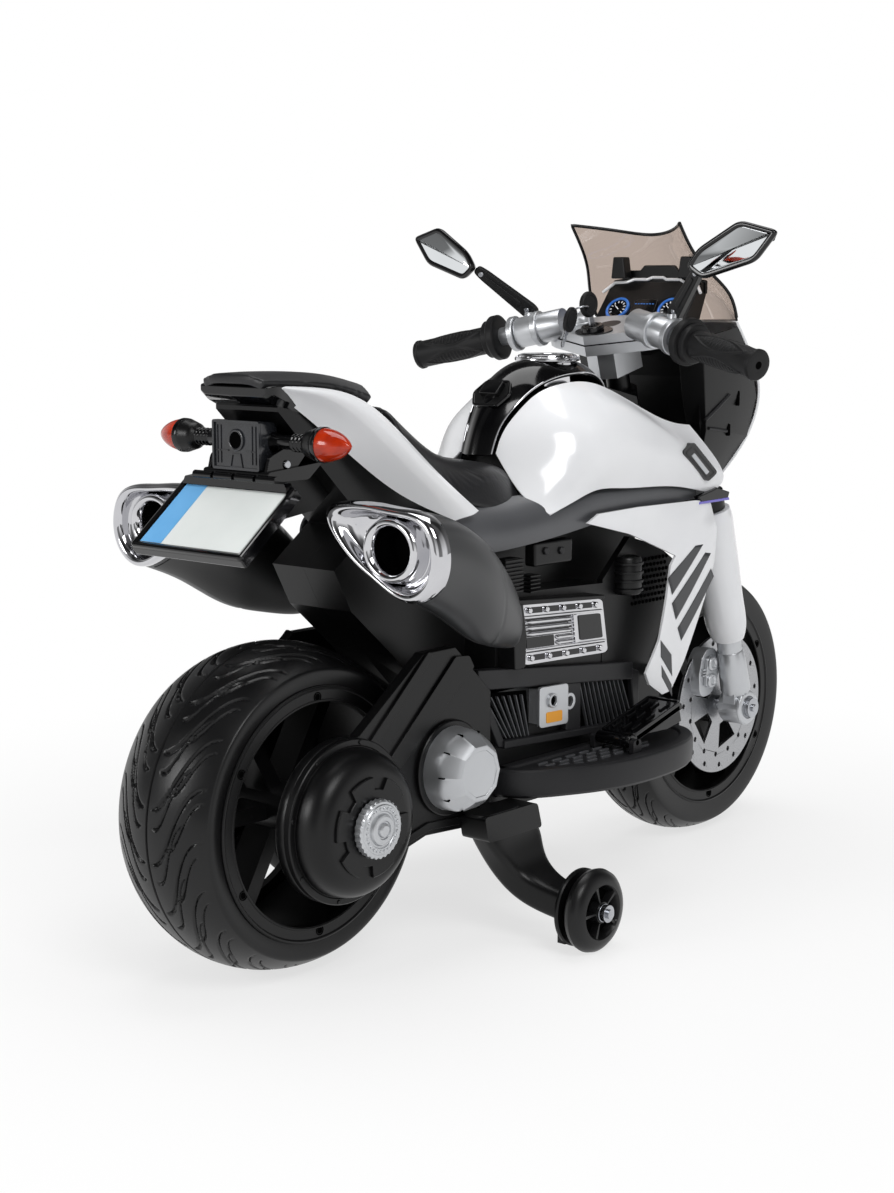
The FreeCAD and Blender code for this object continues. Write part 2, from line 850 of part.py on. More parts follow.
def footboard(label, with_lugs):
    """A footboard with a sunken tread, and on the right the two lugs and pin of the pedal."""
    body = new_body(label)
    inner = -dim.belly_half_width
    outline = sketch_on(body, "XY_Plane", board_under)
    draw(outline, [
        (along(-125), inner), (along(-104), inner - 44.0, -14.0), (along(20), -board_edge, -4.0),
        (along(128), inner - 86.0, -8.0), (along(188), inner - 52.0), (along(190), inner),
    ])
    pad(body, outline, dim.board_thickness)
    tread = sketch_on(body, "XY_Plane", board_top - 3.0)
    draw(tread, [
        (along(-80), inner - 14.0), (along(-40), inner - 50.0), (along(24), inner - 76.0),
        (along(122), inner - 72.0), (along(176), inner - 46.0), (along(176), inner - 14.0),
    ])
    pocket(body, tread)
    if not with_lugs:
        return body
    for side in (pedal_inner - 1.0, pedal_outer + 7.0):
        lug = sketch_on(body, "XZ_Plane", side - 6.0)
        draw(lug, [
            (pedal_x - 7.0, board_top - 8.0), (pedal_x + 7.0, board_top - 8.0),
            (pedal_x + 7.0, pedal_z + 5.0), (pedal_x - 7.0, pedal_z + 5.0),
        ])
        pad(body, lug, 6.0)
    pin = sketch_on(body, "XZ_Plane", pedal_inner - 1.0)
    draw_circle(pin, pedal_x, pedal_z, dim.pedal_pin_radius)
    pad(body, pin, dim.pedal_width + 2.0)
    return body


pedal_x = along(40.0)
pedal_z = board_top + 10.0
pedal_inner = dim.belly_half_width + 20.0
pedal_outer = pedal_inner + dim.pedal_width


def accelerator_pedal():
    """A ribbed pedal plate on a hinge barrel, rising forwards."""
    body = new_body("accelerator_pedal")
    top = dim.pedal_thickness / 2.0
    barrel = dim.pedal_pin_radius + 4.0
    outline = sketch_on(body, "XZ_Plane", pedal_inner)
    draw_circle(outline, 0.0, 0.0, barrel)
    pad(body, outline, dim.pedal_width)
    plate = sketch_on(body, "XZ_Plane", pedal_inner)
    draw(plate, [(0.0, -top), (dim.pedal_length, -top), (dim.pedal_length, top), (0.0, top)])
    pad(body, plate, dim.pedal_width)
    bore = sketch_on(body, "XZ_Plane", pedal_inner)
    draw_circle(bore, 0.0, 0.0, dim.pedal_pin_radius + dim.running_gap)
    pocket(body, bore)
    return place(body, pedal_x, 0.0, pedal_z, Vector(0, -1, 0), dim.pedal_tilt)


right_board = footboard("footboard_right", True)
left_board = mirrored(footboard("footboard_plain", False), "footboard_left")
gather("footboards", right_board, left_board)
accelerator_pedal()

# Stabilisers

wheel_middle = dim.stabiliser_track / 2.0
wheel_inner = wheel_middle - dim.stabiliser_width / 2.0
wheel_outer = wheel_middle + dim.stabiliser_width / 2.0
guard_face = wheel_inner - 4.0
stabiliser_x = -dim.stabiliser_setback
BLOCK_HALF = 17.5
GUARD_THICKNESS = 4.0
GUARD_MARGIN = 3.0
END_PLAY = 0.4


def arm_section(centre, along_x, other):
    """A four-cornered section of the stabiliser arm around a centre."""
    corners = [centre + along_x * a + other * b for a, b in ((-1, -1), (1, -1), (1, 1), (-1, 1))]
    return Part.makePolygon(corners + corners[:1])


def stabiliser_arm():
    """The bent arm from the swing arm's face out to its wheel, with a guard disc at the end."""
    centre_x = float(stabiliser_x)
    axle_height = float(dim.stabiliser_radius)
    guard = float(guard_face) - GUARD_THICKNESS
    block_y = -float(arm_outer) - float(dim.panel_gap) - BLOCK_HALF
    block_top = float(above(140.0))
    block = Vector(0, -BLOCK_HALF, 0)
    sections = [
        arm_section(Vector(centre_x - 41, block_y, block_top), Vector(31, 0, 0), block),
        arm_section(Vector(centre_x - 14, block_y, block_top - 26), Vector(45, 0, 0), block),
        arm_section(Vector(centre_x - 8, -guard + 46, axle_height + 13), Vector(22, 0, 0), Vector(0, -1, 14)),
        arm_section(Vector(centre_x, -guard, axle_height), Vector(20, 0, 0), Vector(0, 0, 17)),
    ]
    arm = outward(Part.makeLoft(sections, True, True))
    middle = Vector(centre_x, 0, axle_height)
    guard_radius = axle_height - GUARD_MARGIN
    disc = rod(middle - Vector(0, guard, 0), middle - Vector(0, float(guard_face), 0), guard_radius)
    return feature("stabiliser_arm", outward(arm.fuse(disc).removeSplitter()))


def stabiliser_bolt(label):
    """The axle bolt of a stabiliser wheel with its shoulder and its nut."""
    radius = dim.stabiliser_axle
    shoulder = radius + 4.0
    inner = wheel_inner - END_PLAY
    outer = wheel_outer + END_PLAY
    corners = [
        (guard_face, 0.0), (guard_face, shoulder), (inner, shoulder), (inner, radius),
        (outer, radius), (outer, shoulder), (outer + 7.0, shoulder), (outer + 7.0, radius),
        (outer + 10.0, radius), (outer + 10.0, 0.0),
    ]
    return place(lathe(label, corners), stabiliser_x, 0.0, dim.stabiliser_radius)


def stabiliser_wheel(label):
    """A small wheel with a rounded tread and dished sides."""
    radius = dim.stabiliser_radius
    bore = dim.stabiliser_axle + dim.running_gap
    inner_side = [(0.0, bore), (0.0, 14.0), (5.0, 18.0), (5.0, radius - 14.0), (0.0, radius - 9.0),
                  (2.0, radius - 3.0), (6.0, radius)]
    corners = [(wheel_inner + depth, at) for depth, at in inner_side]
    corners += [(wheel_outer - depth, at) for depth, at in reversed(inner_side)]
    return place(lathe(label, corners), stabiliser_x, 0.0, dim.stabiliser_radius)


both_sides("stabiliser_arms", stabiliser_arm())
left_bolt = stabiliser_bolt("stabiliser_bolt_left")
gather("stabiliser_bolts", left_bolt, mirrored(left_bolt, "stabiliser_bolt_right"))
left_wheel = stabiliser_wheel("stabiliser_wheel_left")
mirrored(left_wheel, "stabiliser_wheel_right")

# Battery on the belly floor

battery = doc.addObject("Part::Box", "Battery")
battery.Label = "battery"
for side_name, size in (
    ("Length", dim.battery_length), ("Width", dim.battery_width), ("Height", dim.battery_height),
):
    battery.setExpression(side_name, size.text)
place(battery, along(-100.0), dim.battery_width * -0.5, above(BELLY_FLOOR) + dim.shell_wall)

# Body panels, drawn on the right side from rear to front, each row from low to high

TANK = [
    [(-31, -100, 441), (-40, -79, 452), (-44, -60, 467), (-46, -43, 484), (-43, -25, 501)],
    [(0, -103, 451), (-8, -98, 472), (-16, -82, 492), (-24, -58, 511), (-31, -27, 526)],
    [(35, -105, 460), (28, -111, 484), (16, -100, 512), (0, -70, 535), (-13, -33, 547)],
    [(80, -107, 459), (74, -114, 487), (62, -109, 518), (38, -80, 549), (13, -42, 567)],
    [(125, -108, 457), (122, -116, 485), (112, -112, 514), (87, -86, 551), (62, -47, 576)],
    [(165, -109, 455), (166, -117, 478), (160, -115, 503), (143, -99, 531), (114, -56, 568)],
    [(203, -110, 450), (209, -117, 466), (207, -118, 484), (192, -113, 503), (168, -88, 535)],
    [(247, -111, 441), (262, -114, 449), (268, -115, 462), (246, -112, 490), (212, -104, 523)],
]
CONSOLE = [
    [(-45, -22, 499), (-52, -12, 499), (-56, 0, 499)],
    [(-33, -24, 528), (-41, -13, 528), (-46, 0, 528)],
    [(-15, -30, 550), (-26, -16, 552), (-31, 0, 553)],
    [(11, -38, 570), (-2, -21, 575), (-8, 0, 577)],
    [(46, -42, 581), (34, -23, 593), (28, 0, 597)],
    [(84, -43, 584), (81, -24, 597), (80, 0, 601)],
    [(116, -46, 577), (122, -26, 588), (125, 0, 592)],
]
MID = [
    [(-228, -86, 405), (-228, -92, 422), (-228, -80, 439)],
    [(-140, -94, 406), (-140, -99, 423), (-140, -84, 440)],
    [(-60, -98, 411), (-60, -100, 426), (-60, -85, 442)],
    [(20, -100, 420), (20, -101, 436), (20, -91, 452)],
    [(100, -101, 430), (100, -102, 444), (100, -96, 458)],
    [(170, -102, 434), (170, -103, 446), (170, -99, 458)],
    [(228, -104, 436), (228, -104.5, 442), (228, -102, 448)],
]
SEAT = [
    [(-47, -57, 457), (-54, -38, 482), (-62, 0, 489)],
    [(-80, -76, 448), (-84, -50, 486), (-86, 0, 491)],
    [(-125, -79, 453), (-118, -52, 489), (-112, 0, 496)],
    [(-165, -73, 469), (-155, -48, 503), (-146, 0, 513)],
    [(-198, -64, 501), (-190, -42, 527), (-182, 0, 535)],
    [(-228, -56, 537), (-224, -36, 556), (-220, 0, 562)],
]
TAIL = [
    [(-186, -97, 445), (-176, -99, 448), (-165, -99, 450), (-155, -97, 453)],
    [(-243, -80, 474), (-230, -88, 483), (-214, -88, 490), (-202, -81, 496)],
    [(-300, -66, 516), (-283, -76, 528), (-265, -77, 537), (-251, -70, 543)],
    [(-353, -56, 556), (-338, -63, 567), (-322, -64, 574), (-306, -58, 578)],
    [(-397, -51, 584), (-394, -55, 586), (-390, -55, 587), (-386, -53, 588)],
]
TAIL_PAD = [
    [(-262, -50, 573), (-254, -30, 583), (-250, 0, 586)],
    [(-300, -51, 584), (-298, -32, 593), (-296, 0, 596)],
    [(-350, -48, 591), (-350, -30, 598), (-350, 0, 600)],
    [(-406, -44, 594), (-409, -27, 599), (-410, 0, 600)],
]
# the blunt end under the pad
TAIL_END = [(-405, 584), (-405, 592), (-389, 592), (-389, 584)]
TAIL_END_HALF = 42.0
FAIRING = [
    [(0, -109, 205), (0, -112, 290), (0, -111, 370), (0, -109, 450)],
    [(90, -114, 205), (90, -118, 290), (90, -117, 370), (90, -112, 450)],
    [(180, -117, 205), (180, -121, 290), (180, -120, 370), (180, -114, 450)],
    [(270, -114, 205), (270, -118, 290), (270, -118, 370), (270, -114, 450)],
]
FAIRING_OUTLINE = [
    (12, 426), (32, 435), (103, 437), (211, 436), (240, 433), (252, 400), (246, 362), (225, 320), (186, 251),
    (163, 219), (147, 217), (122, 232), (114, 246), (136, 281), (148, 326), (157, 366), (167, 376), (85, 408),
]
MIDDLE = Vector(0, 0, 400)


def side_panel(rows, inside=MIDDLE):
    """A right-hand panel through body points."""
    return shell([[body_at(*item) for item in row] for row in rows], float(dim.panel_wall), inside)


def middle_panel(rows, wall, inside):
    """A panel that runs across the bike."""
    return shell([mirror_row(row, body_at) for row in rows], wall, inside)


def wall_post(panel, x, z, seat_y, *seats):
    """A post from a panel inwards to an upright wall of the chassis."""
    gap = float(dim.panel_gap)
    start = Vector(float(along(x)), -float(seat_y) - gap, float(above(z)))
    stop = Vector(float(along(x)), -float(board_edge), float(above(z)))
    return with_post(panel, start, stop, float(dim.post_radius), *seats)


TANK_ALONG = 17
TANK_ACROSS = 11
tank = side_panel(refined(TANK, TANK_ALONG, TANK_ACROSS))
for x, z in ((40, 500), (150, 490)):
    tank = wall_post(tank, x, z, spine_side)
mid_panel = side_panel(MID)
for x, z in ((-140, 422), (20, 438)):
    mid_panel = wall_post(mid_panel, x, z, spine_side)
tail = side_panel(TAIL, Vector(float(along(-280)), 0, float(above(500))))
for x, z in ((-212, 484), (-300, 548)):
    tail = wall_post(tail, x, z, spine_side)
outline = [Vector(float(along(x)), 0, float(above(z))) for x, z in FAIRING_OUTLINE]
stamp = extruded(outline, Vector(0, -float(board_edge), 0))
fairing = side_panel(FAIRING).common(stamp).Solids[0]
fairing = wall_post(fairing, 150, 420, spine_side)
fairing = wall_post(fairing, 160, 240, dim.belly_half_width)
for label, shape in (
    ("tank_covers", tank), ("mid_panels", mid_panel), ("tail_fairings", tail), ("lower_fairings", fairing),
):
    both_sides(label, feature(label, shape))

spine_lift = Vector(0, 0, float(dim.panel_gap))
lifted_right = chassis_half_shape.translated(spine_lift)
lifted_left = lifted_right.mirror(Vector(0, 0, 0), Vector(0, 1, 0))


def standing_panel(rows, wall, posts):
    """A panel across the bike that stands on the spine."""
    inside = body_at(rows[1][-1][0], 0, rows[1][-1][2] - 200)
    panel = middle_panel(rows, wall, inside)
    for x, y, low, high in posts:
        start = body_at(x, y, low)
        stop = body_at(x, y, high)
        panel = with_post(panel, start, stop, float(dim.post_radius), lifted_right, lifted_left)
    return panel


SEAT_WALL = 5.0
PAD_WALL = 10.0
SEAT_POSTS = [(-95, 26, 440, 540), (-95, -26, 440, 540), (-175, 0, 470, 580)]
PAD_POSTS = [(-300, 0, 560, 640), (-370, 0, 570, 640)]
feature("seat", standing_panel(SEAT, SEAT_WALL, SEAT_POSTS))
tail_end = extruded([body_at(x, -TAIL_END_HALF, z) for x, z in TAIL_END], Vector(0, 2 * TAIL_END_HALF, 0))
tail_pad = standing_panel(TAIL_PAD, PAD_WALL, PAD_POSTS)
feature("tail_pad", tail_pad.fuse(tail_end).removeSplitter())

CAP_X = 78.0
CAP_RADIUS = 37.0
CAP_TOP = 606.0
SPINE_TOP = 570.0
SWITCH_SPOT = (-16, 0, 567)
console = middle_panel(CONSOLE, float(dim.panel_wall), body_at(120, 0, 480))
cap_well = rod(body_at(CAP_X, 0, SPINE_TOP), body_at(CAP_X, 0, 640), CAP_RADIUS + float(dim.panel_gap))
console = nearest_piece(console.cut(cap_well), body_at(-50, 0, 500))
feature("filler_cap", rod(body_at(CAP_X, 0, SPINE_TOP), body_at(CAP_X, 0, CAP_TOP), CAP_RADIUS))

# Rocker switch in the console

SWITCH_TILT = 45.0
switch_turn = FreeCAD.Rotation(Vector(0, 1, 0), -SWITCH_TILT)


def tilted_box(spot, length, width, depth):
    """A box around a spot of the console, its top facing the rider."""
    box = Part.makeBox(length, width, depth, Vector(-length / 2, -width / 2, -depth / 2))
    box.Placement = FreeCAD.Placement(spot, switch_turn)
    return box


SWITCH_LENGTH = 18.0
SWITCH_WIDTH = 26.0
SWITCH_DEPTH = 14.0
SWITCH_GAP = 0.8
switch_spot = body_at(*SWITCH_SPOT)
switch_well = tilted_box(switch_spot, SWITCH_LENGTH + 2 * SWITCH_GAP, SWITCH_WIDTH + 2 * SWITCH_GAP, 40.0)
console = nearest_piece(console.cut(switch_well), body_at(-50, 0, 500))
feature("tank_console", console)
feature("drive_switch", tilted_box(switch_spot, SWITCH_LENGTH, SWITCH_WIDTH, SWITCH_DEPTH))

# Exhausts: a rounded triangular tip that shrinks forwards into the body

TIP_X = -358.0
TIP_CENTRE = (-168.0, 438.0)
TIP = [
    (-85, 470), (-122, 481), (-174, 478), (-218, 468), (-231, 443), (-222, 405), (-200, 391), (-150, 407),
    (-106, 436),
]
# place along the bike, middle of the section, and its size against the tip's
EXHAUST_BODY = [
    (-358, (-168, 438), 1.0, 1.0),
    (-312, (-164, 424), 0.9, 1.12),
    (-260, (-162, 398), 0.74, 1.2),
    (-210, (-156, 371), 0.6, 1.05),
    (-174, (-148, 347), 0.42, 0.72),
    (-157, (-143, 334), 0.2, 0.34),
]
EXHAUST_HOLLOW = 0.9
PIPE_RADIUS = 24.0
PIPE_WALL = 4.0
PIPE_DEPTH = 40.0


def exhaust_section(x, centre, wide, tall):
    """One section of an exhaust, the tip's outline moved and scaled."""
    return closed_curve([
        body_at(x, centre[0] + (y - TIP_CENTRE[0]) * wide, centre[1] + (z - TIP_CENTRE[1]) * tall)
        for y, z in TIP
    ])


def exhaust_loft(rows):
    """A solid through exhaust sections."""
    return outward(Part.makeLoft([exhaust_section(*row) for row in rows], True, False))


def exhaust_bodies():
    """The hollow exhaust body, open at the rear, and the bright tip with its pipe that closes it."""
    hull = exhaust_loft(EXHAUST_BODY)
    front = Vector(float(along(-182)), -float(spine_side) - float(dim.panel_gap), float(above(362)))
    stay_end = Vector(front.x, -float(board_edge), front.z)
    hull = with_post(hull, front, stay_end, float(dim.post_radius))
    inner_rows = [
        (x, centre, wide * EXHAUST_HOLLOW, tall * EXHAUST_HOLLOW)
        for x, centre, wide, tall in EXHAUST_BODY[:-1]
    ]
    hull = hull.cut(exhaust_loft([(TIP_X - 1.0,) + inner_rows[0][1:]] + inner_rows))
    plate = exhaust_loft([
        (TIP_X, TIP_CENTRE, 1.0, 1.0), (TIP_X - 6.0, TIP_CENTRE, 0.97, 0.96),
        (TIP_X - 12.0, TIP_CENTRE, 0.84, 0.8),
    ])
    mouth = body_at(TIP_X - 12.0, *TIP_CENTRE)
    pipe = rod(mouth, body_at(TIP_X + PIPE_DEPTH, *TIP_CENTRE), PIPE_RADIUS + PIPE_WALL)
    hole = rod(mouth, body_at(TIP_X + PIPE_DEPTH - PIPE_WALL, *TIP_CENTRE), PIPE_RADIUS)
    return hull.Solids[0], plate.fuse(pipe).cut(hole).removeSplitter()


exhaust, exhaust_tip = exhaust_bodies()
both_sides("exhausts", feature("exhausts", exhaust))
both_sides("exhaust_tips", feature("exhaust_tips", exhaust_tip))

# Tail lamp, indicators and number plate on a bracket under the tail

lamp_back = along(-372.0)
lamp_front = lamp_back - dim.lamp_depth
lamp_half = dim.lamp_width / 2.0
plate_x = along(-397.0)
plate_z = above(492.0)
tilt_sine = Size(math.sin(math.radians(dim.plate_tilt.value)), "sin(Sizes.plate_tilt)")
tilt_cosine = Size(math.cos(math.radians(dim.plate_tilt.value)), "cos(Sizes.plate_tilt)")
back_x = plate_x + dim.plate_depth * tilt_sine
back_z = plate_z - dim.plate_depth * tilt_cosine
GRIP = 30.0
bracket_half = dim.lamp_width / 2.0 - 4.0
bracket = new_body("tail_bracket_plate")
bracket_outline = sketch_on(bracket, "XZ_Plane", -bracket_half)
draw(bracket_outline, [
    (along(-300), under_tail(-300)), (along(-360), under_tail(-360)), (lamp_back, under_tail(-360)),
    (lamp_back, above(506)), (back_x, back_z), (back_x - GRIP * tilt_cosine, back_z - GRIP * tilt_sine),
    (along(-398), above(452)), (along(-320), above(462)),
])
pad(bracket, bracket_outline, bracket_half * 2.0)

lamp = new_body("tail_lamp")
lamp_outline = sketch_on(lamp, "XZ_Plane", -lamp_half)
draw(lamp_outline, [
    (lamp_front, above(508)), (lamp_front, above(554)), (lamp_back - 8.0, above(554)),
    (lamp_back, under_tail(-372)), (lamp_back, above(506)),
])
pad(lamp, lamp_outline, dim.lamp_width)

stalk_x = lamp_back - dim.lamp_depth * 0.3
stalk_z = above(534.0)
housing = lamp_half + 56.0
stalk_shape = [
    (lamp_half, 0.0), (lamp_half, dim.stalk_radius), (housing - 10.0, dim.stalk_radius),
    (housing - 4.0, dim.lens_radius - 3.0), (housing + 10.0, dim.lens_radius + 1.0), (housing + 10.0, 0.0),
]
lens_shape = [
    (housing + 10.0, 0.0), (housing + 10.0, dim.lens_radius), (housing + 16.0, dim.lens_radius),
    (housing + 10.0 + dim.lens_length * 0.62, dim.lens_radius * 0.72),
    (housing + 10.0 + dim.lens_length, dim.lens_radius * 0.12), (housing + 10.0 + dim.lens_length, 0.0),
]
stalk = place(lathe("stalk_left", stalk_shape), stalk_x, 0.0, stalk_z)
gather("tail_bracket", bracket, stalk, mirrored(stalk, "stalk_right"))
lens = place(lathe("lens_left", lens_shape), stalk_x, 0.0, stalk_z)
gather("indicator_lenses", lens, mirrored(lens, "lens_right"))


def plate_box(label, height, width, thickness, inset, lift):
    """A plate that leans back under the tail lamp."""
    box = doc.addObject("Part::Box", "Plate")
    box.Label = label
    for name, value in (("Length", height), ("Width", width), ("Height", thickness)):
        setattr(box, name, float(value))
        box.setExpression(name, value.text)
    x = plate_x - inset * tilt_cosine - lift * tilt_sine
    z = plate_z - inset * tilt_sine + lift * tilt_cosine
    return place(box, x, width * -0.5, z, Vector(0, 1, 0), 180.0 - dim.plate_tilt)


PLATE_BORDER = 8.0
PLATE_SHEET = as_size(1.5)
sheet_height = dim.plate_height - 2 * PLATE_BORDER
sheet_width = dim.plate_width - 2 * PLATE_BORDER
plate_box("plate_holder", dim.plate_height, dim.plate_width, dim.plate_depth, as_size(0.0), as_size(0.0))
plate_box("number_plate", sheet_height, sheet_width, PLATE_SHEET, as_size(PLATE_BORDER), PLATE_SHEET)

# Front end in the steering frame

leg_y = dim.fork_spacing / 2.0
axis_back = -dim.fork_offset
bridge_top = dim.fork_bridge + dim.bridge_thickness
yoke_top = dim.yoke_rise + dim.yoke_thickness
axle_reach = leg_y + dim.fork_radius + 8.0

HEAD_WALL = 7.0
HEAD_WEB = 30.0
head_half = dim.column_radius + HEAD_WALL
head = new_body("head_tube")
head_outline = sketch_on(head, "XY_Plane")
draw(head_outline, [
    (head_back, -HEAD_WEB), (axis_back, -head_half, head_half * -0.95), (axis_back, head_half),
    (head_back, HEAD_WEB),
])
pad(head, head_outline, head_length)
head_bore = sketch_on(head, "XY_Plane")
draw_circle(head_bore, axis_back, 0.0, dim.column_radius + dim.running_gap)
pocket(head, head_bore)
steer(head, 0.0, 0.0, head_foot)

CLAMP_WALL = 6.0
column = new_body("steering_column")
bridge = sketch_on(column, "XY_Plane")
clamp = dim.fork_radius + CLAMP_WALL
draw(bridge, [
    (axis_back - 22.0, -26.0), (-clamp, -leg_y, clamp * -0.9), (clamp, -leg_y), (16.0, 0.0),
    (clamp, leg_y, clamp * -0.9), (-clamp, leg_y), (axis_back - 22.0, 26.0),
])
pad(column, bridge, dim.bridge_thickness)
stem = sketch_on(column, "XY_Plane")
draw_circle(stem, axis_back, 0.0, dim.column_radius)
pad(column, stem, yoke_top - dim.fork_bridge)
leg_holes = sketch_on(column, "XY_Plane")
for side in (-1.0, 1.0):
    draw_circle(leg_holes, 0.0, leg_y * side, dim.fork_radius + dim.running_gap)
pocket(column, leg_holes, dim.bridge_thickness)
steer(column, 0.0, 0.0, dim.fork_bridge)


def top_yoke():
    """The boomerang-shaped yoke with its neck below and two round caps above."""
    body = new_body("top_yoke")
    plan = sketch_on(body, "XY_Plane")
    draw(plan, [
        (-82.0, 0.0), (-52.0, -68.0), (-44.0, -80.0), (-22.0, -76.0), (0.0, -30.0), (6.0, 0.0),
        (0.0, 30.0), (-22.0, 76.0), (-44.0, 80.0), (-52.0, 68.0),
    ])
    pad(body, plan, dim.yoke_thickness)
    neck = sketch_on(body, "XY_Plane", -YOKE_NECK)
    draw(neck, [(-56.0, -20.0), (-10.0, -24.0), (-4.0, 0.0), (-10.0, 24.0), (-56.0, 20.0), (-62.0, 0.0)])
    pad(body, neck, YOKE_NECK)
    caps_above = sketch_on(body, "XY_Plane", dim.yoke_thickness)
    for side in (-1.0, 1.0):
        draw_circle(caps_above, -26.0, 44.0 * side, 13.0)
    pad(body, caps_above, 6.0)
    bore = sketch_on(body, "XY_Plane", -YOKE_NECK)
    draw_circle(bore, axis_back, 0.0, dim.column_radius + dim.running_gap)
    pocket(body, bore)
    return steer(body, 0.0, 0.0, dim.yoke_rise)


yoke_shape = half_of(top_yoke())

# Fork legs, their covers, calipers and the front axle

LUG_RADIUS = 22.0
LUG_DEPTH = 26.0
LEG_FOOT = 14.0


def fork_leg(label):
    """A lower fork leg with the lug that holds the axle."""
    body = new_body(label)
    leg = sketch_on(body, "XY_Plane", LEG_FOOT)
    draw_circle(leg, 0.0, 0.0, dim.fork_radius)
    pad(body, leg, bridge_top - LEG_FOOT)
    lug = sketch_on(body, "XZ_Plane", LUG_DEPTH * -0.5)
    draw_circle(lug, 0.0, 0.0, LUG_RADIUS)
    pad(body, lug, LUG_DEPTH)
    bore = sketch_on(body, "XZ_Plane", LUG_DEPTH * -0.5)
    draw_circle(bore, 0.0, 0.0, dim.axle_radius + dim.running_gap)
    pocket(body, bore)
    return steer(body, 0.0, -leg_y, 0.0)


def fork_cover(label):
    """A tapered guard around the upper leg, closed onto it at both ends."""
    fit = dim.fork_radius + dim.seat_gap
    foot = as_size(92.0)
    top = dim.fork_bridge - 1.0
    wall = dim.panel_wall
    bulge = dim.fork_radius + 10.0
    body = new_body(label)
    sketch = sketch_on(body, "XZ_Plane")
    draw(sketch, [
        (fit, foot), (fit + 4.0, foot), (bulge, foot + 40.0), (bulge, foot + 120.0), (fit + 4.0, top),
        (fit, top),
        (fit, top - 6.0), (bulge - wall, foot + 118.0), (bulge - wall, foot + 42.0), (fit, foot + 6.0),
    ])
    turned = body.newObject("PartDesign::Revolution", "Revolution")
    turned.Profile = sketch
    turned.ReferenceAxis = (sketch, ["V_Axis"])
    turned.Angle = 360.0
    body.Tip = turned
    return steer(body, 0.0, -leg_y, 0.0)


def caliper(label):
    """A brake caliper behind the leg, bridging the disc's edge."""
    near = front_hub_half - 5.0
    far = leg_y - 6.0
    edge = dim.disc_radius
    body = new_body(label)
    block = sketch_on(body, "XZ_Plane", near)
    draw(block, [
        (-dim.fork_radius - 44.0, 34.0), (-14.0, 34.0), (-14.0, 84.0), (-dim.fork_radius - 26.0, 88.0),
    ])
    pad(body, block, far - near)
    slot = sketch_on(body, "XZ_Plane", front_hub_half - 1.0)
    draw_circle(slot, 0.0, 0.0, edge + 2.0)
    pocket(body, slot, dim.disc_thickness + 2.0)
    return steer(body, 0.0, 0.0, 0.0)


both_sides("fork_legs", fork_leg("fork_leg"))
both_sides("fork_covers", fork_cover("fork_cover"))
both_sides("brake_calipers", caliper("caliper"))
nut_face = leg_y + LUG_DEPTH / 2.0
spacer_face = leg_y - LUG_DEPTH / 2.0
disc_face = front_hub_half + dim.disc_thickness
front_axle_corners = []
for side in (1.0, -1.0):
    steps = [
        (disc_face + END_PLAY, dim.axle_radius), (disc_face + END_PLAY, dim.axle_radius + 3.0),
        (spacer_face, dim.axle_radius + 3.0), (spacer_face, dim.axle_radius), (nut_face, dim.axle_radius),
        (nut_face, dim.axle_radius + 6.0), (nut_face + 9.0, dim.axle_radius + 6.0), (nut_face + 9.0, 0.0),
    ]
    ordered = steps if side > 0 else list(reversed(steps))
    front_axle_corners += [(place_along * side, radius) for place_along, radius in ordered]
place(lathe("front_axle", front_axle_corners), front_x, 0.0, axle_z)

# Handlebars, grips, lock and keys

BAR_ROOT = (176, -52, 638)
BAR_END = (134, -246, 597)


def bar_point(share):
    """A point on the right handlebar's axis, from the yoke (0) to its end (1)."""
    root = front_at(*BAR_ROOT)
    return root + (front_at(*BAR_END) - root) * share


def handlebar():
    """A bar tube with a thick sleeve at the yoke and a lug for the mirror."""
    thin = rod(bar_point(0.0), bar_point(0.985), dim.bar_radius)
    sleeve = rod(bar_point(0.0), bar_point(0.3), float(dim.bar_radius) + 7.0)
    lug = rod(mirror_foot - Vector(0, 0, 24), mirror_foot, MIRROR_FOOT_RADIUS)
    bar = thin.fuse(sleeve).fuse(lug).removeSplitter()
    return nearest_piece(bar.cut(yoke_shape), bar_point(1.0))


def grip(flange, flange_share):
    """A ribbed rubber grip with a flange at its inner end."""
    bore = float(dim.bar_radius + dim.running_gap)
    start = 1.0 - float(dim.grip_length) / (bar_point(1.0) - bar_point(0.0)).Length
    body = rod(bar_point(start), bar_point(1.0), dim.grip_radius)
    collar = rod(bar_point(start - flange_share), bar_point(start + 0.02), flange)
    inside = rod(bar_point(start - flange_share - 0.02), bar_point(0.985), bore)
    return body.fuse(collar).cut(inside).removeSplitter()


MIRROR_FOOT_RADIUS = 9.0
mirror_foot = front_at(178, -104, 650)
bar = handlebar()
both_sides("handlebars", feature("handlebars", bar))
GRIP_FLANGE = 22.0
TWIST_FLANGE = 27.0
left_grip = grip(GRIP_FLANGE, 0.02).mirror(Vector(0, 0, 0), Vector(0, 1, 0))
feature("grip_left", left_grip)
feature("grip_right", grip(TWIST_FLANGE, 0.05))

LOCK_FORWARD = -62.0
LOCK_HEIGHT = 7.0
KEY_STEM = 4.0
lock = new_body("ignition_lock")
lock_outline = sketch_on(lock, "XY_Plane")
draw_circle(lock_outline, 0.0, 0.0, dim.lock_radius)
draw_circle(lock_outline, 0.0, 0.0, KEY_STEM + dim.running_gap)
pad(lock, lock_outline, LOCK_HEIGHT)
steer(lock, LOCK_FORWARD, 0.0, yoke_top)

KEY_HEAD = 15.0
KEY_THICKNESS = 6.0
RING_RADIUS = 11.0
RING_WIRE = 1.2


